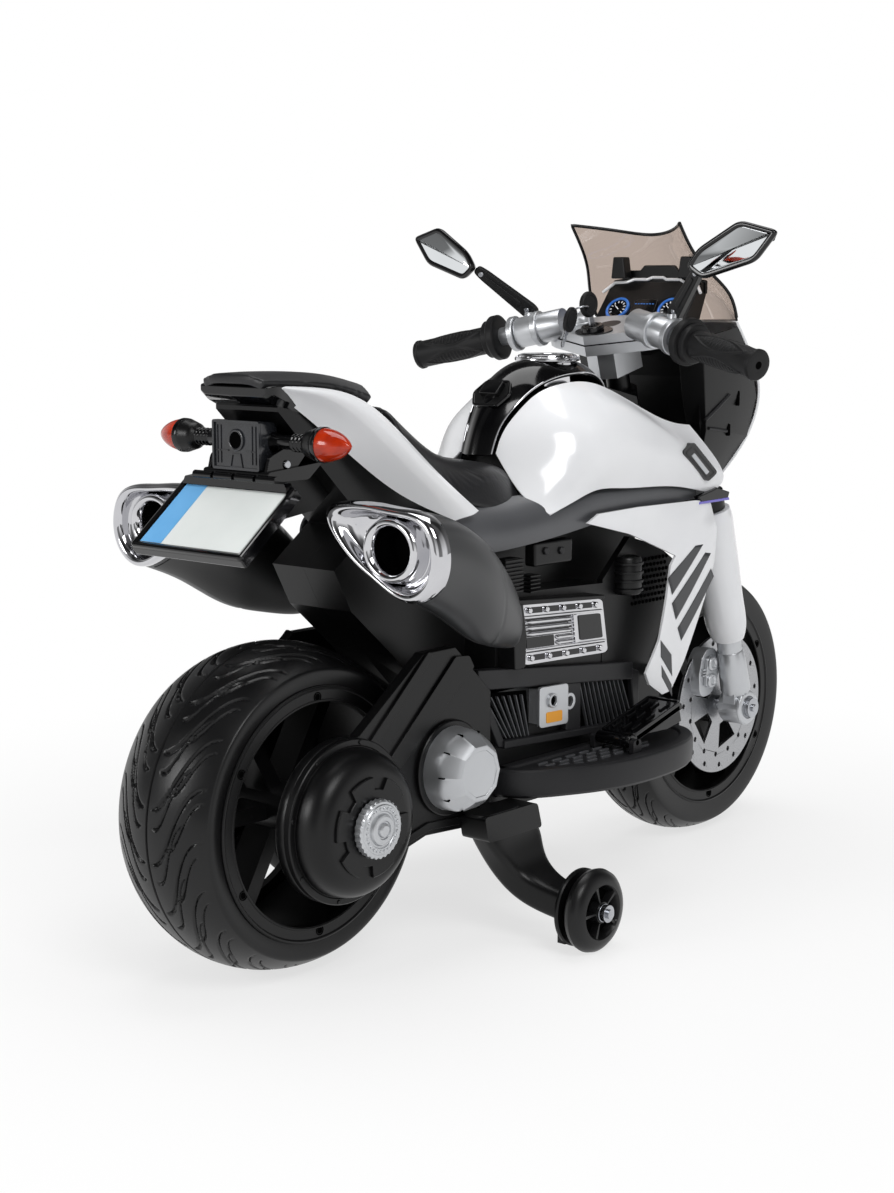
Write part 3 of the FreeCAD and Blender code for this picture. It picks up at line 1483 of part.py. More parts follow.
def keys():
    """The key in the lock, a ring through its head and the spare key that hangs from the ring."""
    top = float(yoke_top)
    foot = steer_at(LOCK_FORWARD, 0, top + 0.3)
    neck = steer_at(LOCK_FORWARD, 0, top + 24.0)
    middle = steer_at(LOCK_FORWARD, 0, top + 18.0 + KEY_HEAD)
    side = Vector(0, KEY_THICKNESS / 2, 0)
    head = rod(middle - side, middle + side, KEY_HEAD)
    eye = steer_at(LOCK_FORWARD - 8.0, 0, top + 14.0 + KEY_HEAD)
    eye_hole = rod(eye - side * 2, eye + side * 2, RING_WIRE + 1.4)
    key = rod(foot, neck, KEY_STEM).fuse(head).cut(eye_hole).removeSplitter()
    ring_middle = eye + Vector(-RING_RADIUS, 0, 0)
    ring = Part.makeTorus(RING_RADIUS, RING_WIRE, ring_middle, Vector(0.0, 0.45, 1.0))
    low_eye = ring_middle + Vector(-RING_RADIUS, 0, 0)
    spare_axis = Vector(-0.42, 0.0, -0.9).normalize()
    spare_middle = low_eye + spare_axis * 12.0
    spare_side = Vector(0, 2.5, 0)
    spare_head = rod(spare_middle - spare_side, spare_middle + spare_side, KEY_HEAD - 2.0)
    blade_end = spare_middle + spare_axis * 34.0
    spare = spare_head.fuse(rod(spare_middle, blade_end, 2.4)).cut(Part.makeTorus(
        RING_RADIUS, RING_WIRE + 0.5, ring_middle, Vector(0.0, 0.45, 1.0))).removeSplitter()
    solids = [key, ring] + [max(spare.Solids, key=lambda solid: solid.Volume)]
    return feature("ignition_keys", Part.makeCompound(solids))


keys()

# Mirrors on folding arms

ARM_TOP = (146, -158, 698)
ARM_RADIUS = 6.5
BALL = 7.0
# corners of the mirror housing across and up, seen by the rider
MIRROR_OUTLINE = [(-152, 702), (-172, 688), (-236, 707), (-263, 740), (-216, 752), (-166, 722)]
MIRROR_X = 140.0


def mirror_arm():
    """A flat arm from its foot on the handlebar up to the ball of the mirror."""
    foot = mirror_foot + Vector(0, 0, float(dim.panel_gap))
    top = front_at(*ARM_TOP)
    base = rod(foot, foot + Vector(0, 0, 7), MIRROR_FOOT_RADIUS)
    stem = rod(foot + Vector(0, 0, 5), top, ARM_RADIUS)
    ball = Part.makeSphere(BALL, top)
    return base.fuse(stem).fuse(ball).removeSplitter()


def mirror_head():
    """The six-cornered mirror housing with a socket for the arm's ball."""
    half = float(dim.mirror_thickness) / 2.0
    corners = [front_at(MIRROR_X - half - (y + 205) * 0.12, y, z) for y, z in MIRROR_OUTLINE]
    block = extruded(corners, Vector(2.0 * half, 0, 0))
    socket = Part.makeSphere(BALL + float(dim.panel_gap), front_at(*ARM_TOP))
    channel = rod(mirror_foot, front_at(*ARM_TOP), ARM_RADIUS + 1.5)
    return max(block.cut(socket).cut(channel).Solids, key=lambda solid: solid.Volume)


mirrored(feature("mirror_arm_right", mirror_arm()), "mirror_arm_left")
mirrored(feature("mirror_head_right", mirror_head()), "mirror_head_left")

# Cowl, lamp, dash and windscreen

COWL = [
    [(352, -56, 452), (378, -32, 452), (388, 0, 452)],
    [(372, -80, 500), (412, -46, 498), (428, 0, 496)],
    [(384, -88, 548), (424, -50, 546), (440, 0, 544)],
    [(352, -97, 598), (400, -56, 600), (420, 0, 602)],
    [(308, -104, 640), (352, -60, 640), (374, 0, 640)],
]
SCREEN = [
    [(308, -104, 640.5), (352, -60, 640.5), (374, 0, 640.5)],
    [(292, -103, 672), (330, -58, 674), (350, 0, 676)],
    [(258, -84, 710), (296, -45, 713), (314, 0, 712)],
    [(222, -79, 756), (262, -42, 750), (278, 0, 745)],
]
# height, then rear, front and half width of the dark liner behind the cowl
LINER = [(462, 306, 345, 60), (520, 270, 366, 78), (575, 262, 372, 82), (624, 246, 330, 84)]
DASH = [(238, 624), (288, 686), (300, 680), (276, 624)]
DASH_HALF = 66.0
LAMP_OUTLINE = [(-46, -12), (-20, -24), (20, -24), (46, -12), (38, 24), (-38, 24)]
LAMP_BELOW_BULGE = 9.0
LAMP_MIDDLE = COWL[2][-1][2] - LAMP_BELOW_BULGE


def front_panel(rows, wall):
    """A panel across the steered front."""
    return shell([mirror_row(row, front_at) for row in rows], wall, front_at(200, 0, 560))


def liner_section(z, rear, front, half, inset=0.0):
    """One level of the liner, narrower at its front corners, moved inwards for the hollow."""
    chamfer = 18.0
    rear += inset
    front -= inset
    half -= inset
    corners = [
        (rear, -half), (front - chamfer, -half), (front, -half + chamfer), (front, half - chamfer),
        (front - chamfer, half), (rear, half),
    ]
    points = [front_at(x, y, z) for x, y in corners]
    return Part.makePolygon(points + points[:1])


LINER_WALL = 4.0
liner = outward(Part.makeLoft([liner_section(*row) for row in LINER], True, True))
hollow_rows = [liner_section(row[0] - LINER_WALL, *row[1:], LINER_WALL) for row in LINER]
liner = liner.cut(outward(Part.makeLoft(hollow_rows, True, True)))
stay_corners = [front_at(x, y, 600) for x, y in ((190, -18), (255, -18), (255, 18), (190, 18))]
stay = extruded(stay_corners, Vector(0, 0, 20))
for neighbour in (yoke_shape, half_of(head), half_of(column)):
    stay = max(stay.cut(neighbour).Solids, key=lambda solid: solid.CenterOfMass.x)
liner = liner.fuse(stay).removeSplitter()
cowl = front_panel(COWL, float(dim.panel_wall))
window = extruded([front_at(300, y, LAMP_MIDDLE + z) for y, z in LAMP_OUTLINE], Vector(300, 0, 0))
headlamp = cowl.common(window)
cowl = cowl.cut(window)
lamp_seat = front_at(330, 0, LAMP_MIDDLE)
headlamp = with_post(headlamp.Solids[0], lamp_seat, front_at(480, 0, LAMP_MIDDLE), 14.0, liner)
for y in (-46, 46):
    cowl = with_post(cowl, front_at(300, y, 590), front_at(480, y, 590), float(dim.post_radius), liner)
screen = front_panel(SCREEN, float(dim.panel_wall))
dash = extruded([front_at(x, -DASH_HALF, z) for x, z in DASH], Vector(0, 2 * DASH_HALF, 0)).cut(liner)
feature("cowl_liner", liner)
feature("cowl_shell", cowl.Solids[0])
feature("headlamp", headlamp)
feature("windscreen", screen)
feature("dash_panel", max(dash.Solids, key=lambda solid: solid.Volume))

NODES = [
    "chassis_right", "chassis_left", "footboards", "swing_arms", "silver_caps", "hub_covers",
    "rear_axle", "engine_covers", "charge_plate", "mid_panels", "tank_covers", "tank_console",
    "filler_cap", "seat", "tail_fairings", "tail_pad", "tail_bracket", "tail_lamp", "indicator_lenses",
    "plate_holder", "number_plate", "exhausts", "exhaust_tips", "lower_fairings", "stabiliser_arms",
    "stabiliser_bolts", "battery", "drive_motor", "head_tube", "steering_column", "top_yoke",
    "handlebars", "grip_left", "ignition_lock", "fork_legs", "fork_covers", "front_axle",
    "brake_calipers", "cowl_shell", "cowl_liner", "dash_panel", "windscreen", "headlamp", "grip_right",
    "front_tyre", "front_rim", "brake_discs", "rear_tyre", "rear_rim", "drive_gear", "motor_pinion",
    "stabiliser_wheel_right", "stabiliser_wheel_left", "accelerator_pedal", "ignition_keys",
    "drive_switch", "mirror_arm_right", "mirror_arm_left", "mirror_head_right", "mirror_head_left",
]

# Check and write every node

doc.recompute()
faulty = [obj.Label for obj in doc.Objects if "Invalid" in obj.State or "Error" in obj.State]
if faulty:
    raise RuntimeError(f"objects that did not build: {faulty}")
os.makedirs("parts", exist_ok=True)
for node in NODES:
    shape = doc.getObjectsByLabel(node)[0].Shape
    if shape.isNull() or not shape.isValid():
        raise RuntimeError(f"{node} has no valid shape")
    shape.exportStep(f"parts/{node}.step")
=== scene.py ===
"""Looks of a child's electric motorbike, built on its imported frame.

Sizes in the classes are millimetres in the bike's own frame: +X forwards, +Y to the rider's left, +Z up, with the
origin on the ground midway between the two axles. Meshes are written in metres. The rider's right side, which the
camera sees, has negative Y, and most pieces are made there and mirrored.
"""

import logging
import math
from dataclasses import dataclass, replace
from enum import Enum
from functools import reduce
from operator import add

import bmesh
import bpy
import numpy as np
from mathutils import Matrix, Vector


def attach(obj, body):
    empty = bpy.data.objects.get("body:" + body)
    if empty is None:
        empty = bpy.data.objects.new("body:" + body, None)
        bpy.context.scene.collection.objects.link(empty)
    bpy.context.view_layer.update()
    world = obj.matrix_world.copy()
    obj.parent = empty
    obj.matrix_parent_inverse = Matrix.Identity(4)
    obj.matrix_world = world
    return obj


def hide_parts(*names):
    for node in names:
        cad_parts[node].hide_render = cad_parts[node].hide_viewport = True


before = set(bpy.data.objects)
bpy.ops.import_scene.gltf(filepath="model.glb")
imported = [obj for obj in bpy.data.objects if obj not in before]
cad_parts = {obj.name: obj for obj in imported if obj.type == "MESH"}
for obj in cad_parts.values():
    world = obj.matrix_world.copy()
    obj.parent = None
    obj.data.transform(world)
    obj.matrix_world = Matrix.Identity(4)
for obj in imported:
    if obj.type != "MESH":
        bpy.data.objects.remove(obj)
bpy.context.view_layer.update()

MM = 0.001
TINY = 1e-9
log = logging.getLogger("motorbike")
Array = np.ndarray
Point = tuple[float, float, float]
Pair = tuple[float, float]
X_AXIS = np.array([1.0, 0.0, 0.0])
Y_AXIS = np.array([0.0, 1.0, 0.0])
Z_AXIS = np.array([0.0, 0.0, 1.0])
RIGHT = -Y_AXIS
RAKE = math.radians(16)
STEER_UP = np.array([-math.sin(RAKE), 0.0, math.cos(RAKE)])
STEER_AHEAD = np.array([math.cos(RAKE), 0.0, math.sin(RAKE)])
FRONT_AXLE = np.array([360.0, 0.0, 166.0])


def steer_at(forward: float, side: float, rise: float) -> Point:
    """Place in the raked steering frame: ahead of, beside and above the front axle."""
    return tuple(FRONT_AXLE + forward * STEER_AHEAD + side * Y_AXIS + rise * STEER_UP)


def unit(vector: Array) -> Array:
    """The same direction with a length of one."""
    vector = np.asarray(vector, float)
    return vector / np.linalg.norm(vector)


def linear(code: str) -> tuple[float, float, float, float]:
    """Turns an sRGB hex colour into the linear values that shaders use.

    Args:
        code: six hex digits after a hash sign.

    Returns:
        Red, green, blue and an opacity of one.
    """
    parts = np.array([int(code[i : i + 2], 16) for i in (1, 3, 5)]) / 255
    parts = np.where(parts <= 0.04045, parts / 12.92, ((parts + 0.055) / 1.055) ** 2.4)
    return (*parts.tolist(), 1.0)


def add_node(
    tree: bpy.types.NodeTree, kind: str, sockets: dict | None = None, links: dict | None = None, **settings: object
) -> bpy.types.Node:
    """Adds one shader node with its settings and links.

    Args:
        tree: the material's or world's node tree.
        kind: Blender's name of the node type.
        sockets: values for unlinked inputs, by input name or number.
        links: outputs to link in, by input name or number.
        settings: the node's own properties.

    Returns:
        The new node.
    """
    node = tree.nodes.new(kind)
    for name, value in settings.items():
        setattr(node, name, value)
    for name, value in (sockets or {}).items():
        node.inputs[name].default_value = value
    for name, source in (links or {}).items():
        tree.links.new(source, node.inputs[name])
    return node


@dataclass(frozen=True)
class Finish:
    """A material: slow mottling of the colour, and a grain that moves the gloss and the relief.

    Patch and grain sizes are millimetres. A millimetre is under a pixel in the render, so grains finer than about
    2 mm are drawn at 2 mm or more to show at all. The slot names the kind of surface that its pieces take.
    """

    name: str
    colour: str
    shade: str
    roughness: float
    spread: float = 0.06
    metallic: float = 0.0
    ior: float = 1.5
    specular: float = 0.5
    coat: float = 0.0
    transmission: float = 0.0
    mottle: float = 70.0
    grain: float = 2.4
    relief: float = 0.05
    stretch: Point = (1.0, 1.0, 1.0)
    slot: str = ""

    RAMP = (0.3, 0.7)
    SMOOTHEST = 0.02
    BUMP = 0.6
    COAT_ROUGHNESS = 0.05

    def material(self) -> bpy.types.Material:
        """Makes the material once and gives it back after that."""
        if self.name in bpy.data.materials:
            return bpy.data.materials[self.name]
        material = bpy.data.materials.new(self.name)
        material.use_nodes = True
        tree = material.node_tree
        shader = tree.nodes["Principled BSDF"]
        place = add_node(tree, "ShaderNodeTexCoord").outputs["Object"]
        spot = add_node(tree, "ShaderNodeMapping", {"Scale": self.stretch}, {"Vector": place}).outputs["Vector"]
        patches, grains = (
            add_node(tree, "ShaderNodeTexNoise", {"Scale": 1 / (size * MM), "Detail": detail}, {"Vector": spot})
            for size, detail in ((self.mottle, 5.0), (self.grain, 3.0))
        )
        ramp = add_node(tree, "ShaderNodeValToRGB", links={"Fac": patches.outputs["Fac"]})
        for stop, share, colour in zip(ramp.color_ramp.elements, self.RAMP, (self.shade, self.colour)):
            stop.position = share
            stop.color = linear(colour)
        gloss = add_node(
            tree,
            "ShaderNodeMapRange",
            {"To Min": max(self.roughness - self.spread, self.SMOOTHEST), "To Max": self.roughness + self.spread},
            {"Value": patches.outputs["Fac"]},
        )
        relief = add_node(
            tree,
            "ShaderNodeBump",
            {"Strength": self.BUMP, "Distance": self.relief * MM},
            {"Height": grains.outputs["Fac"]},
        )
        tree.links.new(ramp.outputs["Color"], shader.inputs["Base Color"])
        tree.links.new(gloss.outputs["Result"], shader.inputs["Roughness"])
        tree.links.new(relief.outputs["Normal"], shader.inputs["Normal"])
        shader.inputs["Metallic"].default_value = self.metallic
        if not self.metallic:
            shader.inputs["IOR"].default_value = self.ior
            shader.inputs["Specular IOR Level"].default_value = self.specular
        shader.inputs["Coat Weight"].default_value = self.coat
        shader.inputs["Coat Roughness"].default_value = self.COAT_ROUGHNESS
        shader.inputs["Transmission Weight"].default_value = self.transmission
        return material


class Finishes(Enum):
    """Every finish on the bike, named for the real material and how its surface was made, and a dull black of painted
    shade.
    """

    # Gloss-moulded white ABS: almost pure white, a soft sharp-edged sheen and cool grey in the shade.
    WHITE_ABS = Finish(
        "white_abs_gloss", "#f1f2f4", "#eaebee", 0.16, 0.04, coat=0.4, mottle=140, relief=0.01, slot="white_panel"
    )
    # ABS sprayed graphite grey: satin, with a fine metallic fleck that lifts its tone where light grazes it.
    GRAPHITE_ABS = Finish(
        "graphite_sprayed_abs", "#5a5b5e", "#4d4e51", 0.36, 0.05, 0.25, mottle=110, relief=0.02, slot="charcoal_panel"
    )
    # The same grey on the silencers, a little darker and duller.
    SILENCER_ABS = Finish(
        "silencer_sprayed_abs", "#2f3032", "#28292b", 0.36, 0.05, 0.2, mottle=120, relief=0.02, slot="charcoal_panel"
    )
    # Embossed PU leather over foam: soft broad sheen, a pebbled grain about 3 mm across.
    SEAT_LEATHER = Finish(
        "embossed_pu_leather", "#222224", "#19191b", 0.38, 0.06, specular=0.35, mottle=60, grain=3.2, relief=0.16,
        slot="charcoal_panel",
    )
    # Spark-eroded polypropylene: near black with a grey bloom, matt, a fine even grain.
    BLACK_PP = Finish(
        "textured_black_pp", "#0e0e0f", "#09090a", 0.34, 0.06, specular=0.3, mottle=80, grain=2.2, relief=0.05,
        slot="black_plastic",
    )
    # Polished black ABS: deep black with crisp reflections.
    GLOSS_ABS = Finish(
        "polished_black_abs", "#08080a", "#050506", 0.1, 0.03, specular=0.4, coat=0.1, mottle=120, relief=0.01,
        slot="gloss_black",
    )
    # Vacuum-plated ABS: mirror bright, with the faint waviness of the moulding below.
    PLATED = Finish(
        "vacuum_plated_abs", "#d2d2d4", "#c4c4c8", 0.06, 0.03, 1.0, mottle=50, grain=18, relief=0.12, slot="chrome"
    )
    # Silver lacquer on ABS: light grey, fine metal flake, satin.
    SILVER = Finish(
        "silver_lacquered_abs", "#c9cbce", "#bec0c3", 0.36, 0.03, 0.8, mottle=90, relief=0.004, slot="silver_paint"
    )
    # Zinc-plated mild steel: bright bluish grey with uneven gloss.
    ZINC = Finish(
        "zinc_plated_steel", "#bdbfc3", "#a9abb0", 0.26, 0.08, 1.0, mottle=14, grain=2.0, relief=0.03, slot="steel"
    )
    # Brushed stainless steel: streaks that run round the disc or along the blade.
    BRUSHED = Finish("brushed_stainless_steel", "#b3b4b6", "#9b9c9f", 0.3, 0.1, 1.0, mottle=8, stretch=(6, 1, 6))
    # Bare nylon gears and bearings, ivory and waxy, inside the bike.
    NYLON = Finish("moulded_nylon", "#d9d3c3", "#cfc8b6", 0.45, mottle=40)
    # Orange PMMA: clear tinted moulding over ribs, with bright glints.
    ORANGE_PMMA = Finish(
        "orange_moulded_pmma", "#d23a10", "#a9260a", 0.1, 0.03, ior=1.49, transmission=0.25, mottle=16,
        slot="orange_lens",
    )
    # Smoked polycarbonate lamp cover: dark grey, slightly frosted inside.
    SMOKED_PC = Finish(
        "smoked_polycarbonate", "#26282c", "#17181b", 0.18, 0.05, ior=1.58, mottle=22, grain=6, slot="lamp_lens"
    )
    # Clear smoked acrylic sheet: brown-grey glass that darkens what is behind it.
    SMOKED_ACRYLIC = Finish(
        "smoked_acrylic_sheet", "#bdaea4", "#b6a79d", 0.04, 0.01, ior=1.49, transmission=1.0, mottle=200,
        relief=0.0, slot="smoke_screen",
    )
    # Semi-gloss printed styrene plate: off-white with hardly any texture.
    PLATE_WHITE = Finish("printed_white_styrene", "#e3e7e5", "#dce1df", 0.3, mottle=60, relief=0.01)
    # The pale blue printed band of the plate.
    PLATE_BLUE = Finish("printed_blue_styrene", "#6db0e4", "#62a6dc", 0.3, mottle=40, relief=0.01, slot="plate_white")
    # Moulded thermoplastic rubber on the grips: dull, dark grey, dusty highlights.
    GRIP_TPR = Finish(
        "moulded_grip_rubber", "#1a1a1b", "#121213", 0.5, specular=0.25, mottle=30, grain=2.2, relief=0.1,
        slot="grip_rubber",
    )
    # Blow-moulded polyethylene tyre: dark grey, waxy low sheen, faint flow marks.
    TYRE_PE = Finish(
        "blow_moulded_tyre_pe", "#121213", "#0c0c0d", 0.34, 0.07, specular=0.34, mottle=45, grain=2.6, relief=0.06,
        slot="tyre_plastic",
    )
    # Back-silvered acrylic mirror.
    MIRROR = Finish(
        "silvered_acrylic_mirror", "#dfe2e4", "#d9dcde", 0.03, 0.01, 1.0, mottle=90, relief=0.0, slot="chrome"
    )
    # Violet-tinted lamp diffuser at the tank nose.
    VIOLET_PMMA = Finish(
        "violet_moulded_pmma", "#8d84e6", "#7f75dd", 0.15, mottle=20, transmission=0.2, slot="lamp_lens"
    )
    # Blue printed rings under the clear gauge faces.
    GAUGE_BLUE = Finish("blue_printed_gauge", "#3f7fd6", "#2f6bc4", 0.25, mottle=20, slot="gloss_black")
    # Cut vinyl film on the fairing: dark grey, smooth.
    VINYL = Finish("grey_vinyl_film", "#3b3c3f", "#343538", 0.3, 0.04, mottle=60, relief=0.01, slot="charcoal_panel")
    # Painted shade: dull black put in holes, slots, bores and openings where shade falls, and the dark line of the
    # yoke's seam.
    HOLLOW_SHADE_AND_SEAM = Finish("painted_shade_and_seam_black", "#040404", "#030303", 0.9, specular=0.02, mottle=40, slot="black_plastic")
    # The same black polypropylene drawn a lighter charcoal with a soft sheen, on the footboards, bolts, rails and ribs;
    # on the rails and ribs the lighter tone is painted highlight along their edges.
    FRAME_PP = Finish(
        "textured_frame_pp", "#242426", "#1d1d1f", 0.45, 0.06, specular=0.3, mottle=90, grain=2.4, relief=0.05,
        slot="black_plastic",
    )
    # Amber PVC film of the bare tab under the socket.
    AMBER_PVC = Finish("amber_pvc_film", "#f0a61c", "#e79a14", 0.35, 0.04, mottle=30, relief=0.01, slot="orange_lens")

    @property
    def material(self) -> bpy.types.Material:
        """The finish's Blender material."""
        return self.value.material()


@dataclass(frozen=True)
class Shape:
    """Points in millimetres with quads and larger end faces over them."""

    points: Array
    quads: Array
    ends: tuple[Array, ...] = ()

    def __add__(self, other: "Shape") -> "Shape":
        """Both shapes in one."""
        start = len(self.points)
        return Shape(
            np.concatenate([self.points, other.points]),
            np.concatenate([self.quads, other.quads + start]),
            self.ends + tuple(end + start for end in other.ends),
        )

    def mirrored(self) -> "Shape":
        """The same shape on the other side of the bike, with its faces turned to point outwards again."""
        return Shape(self.points * (1, -1, 1), self.quads[:, ::-1], tuple(end[::-1] for end in self.ends))

    def both(self) -> "Shape":
        """The shape with its mirror image."""
        return self + self.mirrored()

    def copied(self, moves: Array) -> "Shape":
        """Copies of the shape, one for each of the moves.

        Args:
            moves: offsets in millimetres, one row per copy.

        Returns:
            All the copies as one shape.
        """
        moves = np.asarray(moves, float).reshape(-1, 1, 3)
        return self.stacked(self.points[None] + moves)

    def turned(self, centre: Point, axis: Array, angles: Array) -> "Shape":
        """Copies of the shape turned about an axis: each point is split into its part along the axis and the rest,
        and the rest is turned by the angle.

        Args:
            centre: a point on the axis.
            axis: direction of the axis.
            angles: one angle in radians per copy.

        Returns:
            All the copies as one shape.
        """
        axis = unit(axis)
        away = self.points - centre
        along = (away @ axis)[:, None] * axis
        flat = away - along
        side = np.cross(axis, flat)
        angles = np.asarray(angles, float).reshape(-1, 1, 1)
        return self.stacked(np.asarray(centre) + along + np.cos(angles) * flat + np.sin(angles) * side)

    def stacked(self, points: Array) -> "Shape":
        """The faces repeated over several sets of points.

        Args:
            points: an array of copies, points and coordinates.

        Returns:
            One shape.
        """
        count, size = points.shape[:2]
        starts = np.arange(count) * size
        quads = (self.quads[None] + starts[:, None, None]).reshape(-1, 4)
        ends = tuple(end + start for start in starts for end in self.ends)
        return Shape(points.reshape(-1, 3), quads, ends)


def joined(parts: list[Shape]) -> Shape:
    """All the shapes in one."""
    return reduce(add, parts)


def natural_spline(points: Array, places: Array) -> Array:
    """Natural cubic spline through points along their first axis.

    The knots are spaced by the mean chord, the bends solve the banded system that makes slopes meet and are nought
    at both ends, and each span is the usual cubic of its two end points and two end bends.

    Args:
        points: the points to pass through; other axes ride along.
        places: where to read the curve, from 0 to 1.

    Returns:
        The curve's points.
    """
    points = np.asarray(points, float)
    count = len(points)
    columns = (-1,) + (1,) * (points.ndim - 1)
    chords = np.linalg.norm(np.diff(points, axis=0), axis=-1).reshape(count - 1, -1).mean(axis=1)
    knots = np.concatenate([[0.0], np.cumsum(chords)]) / chords.sum()
    gaps = np.diff(knots)
    system = np.eye(count)
    inner = np.arange(1, count - 1)
    system[inner, inner - 1] = gaps[:-1]
    system[inner, inner] = 2 * (gaps[:-1] + gaps[1:])
    system[inner, inner + 1] = gaps[1:]
    turns = np.zeros_like(points)
    turns[1:-1] = 6 * np.diff(np.diff(points, axis=0) / gaps.reshape(columns), axis=0)
    bends = np.linalg.solve(system, turns.reshape(count, -1)).reshape(points.shape)
    span = np.clip(np.searchsorted(knots, places, side="right") - 1, 0, count - 2)
    width = gaps[span].reshape(columns)
    after = (places - knots[span]).reshape(columns) / width
    before = 1 - after
    bent = (before**3 - before) * bends[span] + (after**3 - after) * bends[span + 1]
    return before * points[span] + after * points[span + 1] + bent * width**2 / 6


def closed_spline(points: Array, count: int) -> Array:
    """Smooth closed loop: the points are run through three times and the middle round is kept.

    Args:
        points: the loop's points.
        count: how many points to read.

    Returns:
        The loop, without its first point again at the end.
    """
    points = np.asarray(points, float)
    rounds = np.concatenate([points, points, points, points[:1]])
    return natural_spline(rounds, np.linspace(1 / 3, 2 / 3, count, endpoint=False))


def spline_sheet(rows: list, along: int = 64, across: int = 40) -> Array:
    """Smooth sheet through rows of points: splines along the rows' columns, then across.

    Args:
        rows: rows of points of equal length.
        along: points from the first row to the last.
        across: points along each row.

    Returns:
        A grid of points.
    """
    first = natural_spline(np.array(rows, float), np.linspace(0, 1, along))
    return natural_spline(first.swapaxes(0, 1), np.linspace(0, 1, across)).swapaxes(0, 1)


def whole_rows(rows: list) -> list:
    """Rows of the right half, whose last point is on the middle plane, carried on over to the left half."""
    return [list(row) + [(x, -y, z) for x, y, z in reversed(row[:-1])] for row in rows]


def grid_shape(points: Array, wrap_rows: bool = False, wrap_columns: bool = False, ends: bool = False) -> Shape:
    """Quads over a grid of points.

    Args:
        points: rows, columns and coordinates.
        wrap_rows: the last row joins the first.
        wrap_columns: the last column joins the first.
        ends: the first and last row are closed with one face each.

    Returns:
        The shape.
    """
    rows, columns = points.shape[:2]
    down = np.arange(rows if wrap_rows else rows - 1)
    over = np.arange(columns if wrap_columns else columns - 1)
    a, b = (part.ravel() for part in np.meshgrid(down, over, indexing="ij"))
    c, d = (a + 1) % rows, (b + 1) % columns
    quads = np.stack([a * columns + b, c * columns + b, c * columns + d, a * columns + d], axis=1)
    caps = (np.arange(columns)[::-1], np.arange(columns) + (rows - 1) * columns) if ends else ()
    return Shape(points.reshape(-1, 3).astype(float), quads, caps)


def grid_of(
    x: Array, y: Array, z: Array, wrap_rows: bool = False, wrap_columns: bool = True, ends: bool = True
) -> Shape:
    """Quads over a grid given by its three coordinates, which are spread to one size.

    Args:
        x: forward places.
        y: places to the left.
        z: heights.
        wrap_rows: the last row joins the first.
        wrap_columns: the last column joins the first.
        ends: the first and last row are closed with one face each.

    Returns:
        The shape.
    """
    return grid_shape(np.stack(np.broadcast_arrays(x, y, z), axis=2), wrap_rows, wrap_columns, ends)


def full_turn(count: int) -> Array:
    """Even angles once round."""
    return np.linspace(0, 2 * np.pi, count, endpoint=False)


def side_rings(centre: Point, radius: Array, height: Array, angle: Array) -> Shape:
    """Rings about an axis that points to the rider's right, closed at both ends.

    Args:
        centre: where the height is nought.
        radius: radius of each ring, or of each ring at each angle.
        height: the same for how far it stands out.
        angle: the angles round the axis.

    Returns:
        The shape.
    """
    return grid_of(centre[0] + radius * np.cos(angle), centre[1] - height, centre[2] + radius * np.sin(angle))


def bilinear(corners: tuple, a: Array, b: Array) -> Array:
    """Places between four corners: a goes from the first to the second, and b from the first to the fourth.

    Args:
        corners: four pairs in order round.
        a: share along the first side.
        b: share along the last side.

    Returns:
        The blended pairs.
    """
    a, b = np.asarray(a, float)[..., None], np.asarray(b, float)[..., None]
    p, q, r, s = np.array(corners, float)
    return (1 - a) * ((1 - b) * p + b * s) + a * ((1 - b) * q + b * r)


def square_to(axis: Array) -> tuple[Array, Array]:
    """Two directions square to an axis and to each other."""
    axis = unit(axis)
    helper = Z_AXIS if abs(axis[2]) < 0.9 else X_AXIS
    side = unit(np.cross(helper, axis))
    return side, np.cross(axis, side)


def lathe(profile: list, centre: Point, axis: Array, turns: int = 96, ring: bool = False) -> Shape:
    """Profile of (along, radius) pairs turned about an axis: centre + along x axis + radius x (cos, sin).

    Args:
        profile: the pairs in order.
        centre: where along is nought.
        axis: direction of the axis.
        turns: points round the axis.
        ring: the profile is a closed loop.

    Returns:
        The turned shape.
    """
    axis = unit(axis)
    side, up = square_to(axis)
    pairs = np.array(profile, float)
    angle = full_turn(turns)
    spokes = np.cos(angle)[:, None] * side + np.sin(angle)[:, None] * up
    points = np.asarray(centre) + pairs[:, None, :1] * axis + pairs[:, None, 1:] * spokes[None]
    return grid_shape(points, wrap_rows=ring, wrap_columns=True, ends=not ring)


def slab(outline: list, origin: Point, across: Array, up: Array, depth: Array) -> Shape:
    """Outline of (across, up) pairs drawn out by a depth vector.

    Args:
        outline: the pairs in order.
        origin: where both pairs are nought.
        across: direction of the first number.
        up: direction of the second.
        depth: how far and where to draw it out.

    Returns:
        The closed slab.
    """
    pairs = np.array(outline, float)
    face = np.asarray(origin, float) + pairs[:, :1] * np.asarray(across) + pairs[:, 1:] * np.asarray(up)
    return grid_shape(np.stack([face, face + np.asarray(depth)]), wrap_columns=True, ends=True)


def side_slab(outline: list, y: float, depth: float) -> Shape:
    """Slab of (x, z) pairs that starts in a plane beside the middle one and goes to the rider's right by a depth."""
    return slab(outline, (0, y, 0), X_AXIS, Z_AXIS, (0, -depth, 0))


def rectangle(wide: float, tall: float) -> list:
    """Corners of a rectangle about nought, from its half width and half height."""
    return [(-wide, -tall), (wide, -tall), (wide, tall), (-wide, tall)]


def plug(radius: float, height: float) -> list:
    """Profile of a plain round plug for the lathe."""
    return [(0, 0), (0, radius), (height, radius), (height, 0)]


def block(low: Point, high: Point) -> Shape:
    """Box between two corners, as a slab of its plan."""
    (x0, y0, z0), (x1, y1, z1) = low, high
    return slab([(x0, y0), (x1, y0), (x1, y1), (x0, y1)], (0, 0, z0), X_AXIS, Y_AXIS, (0, 0, z1 - z0))


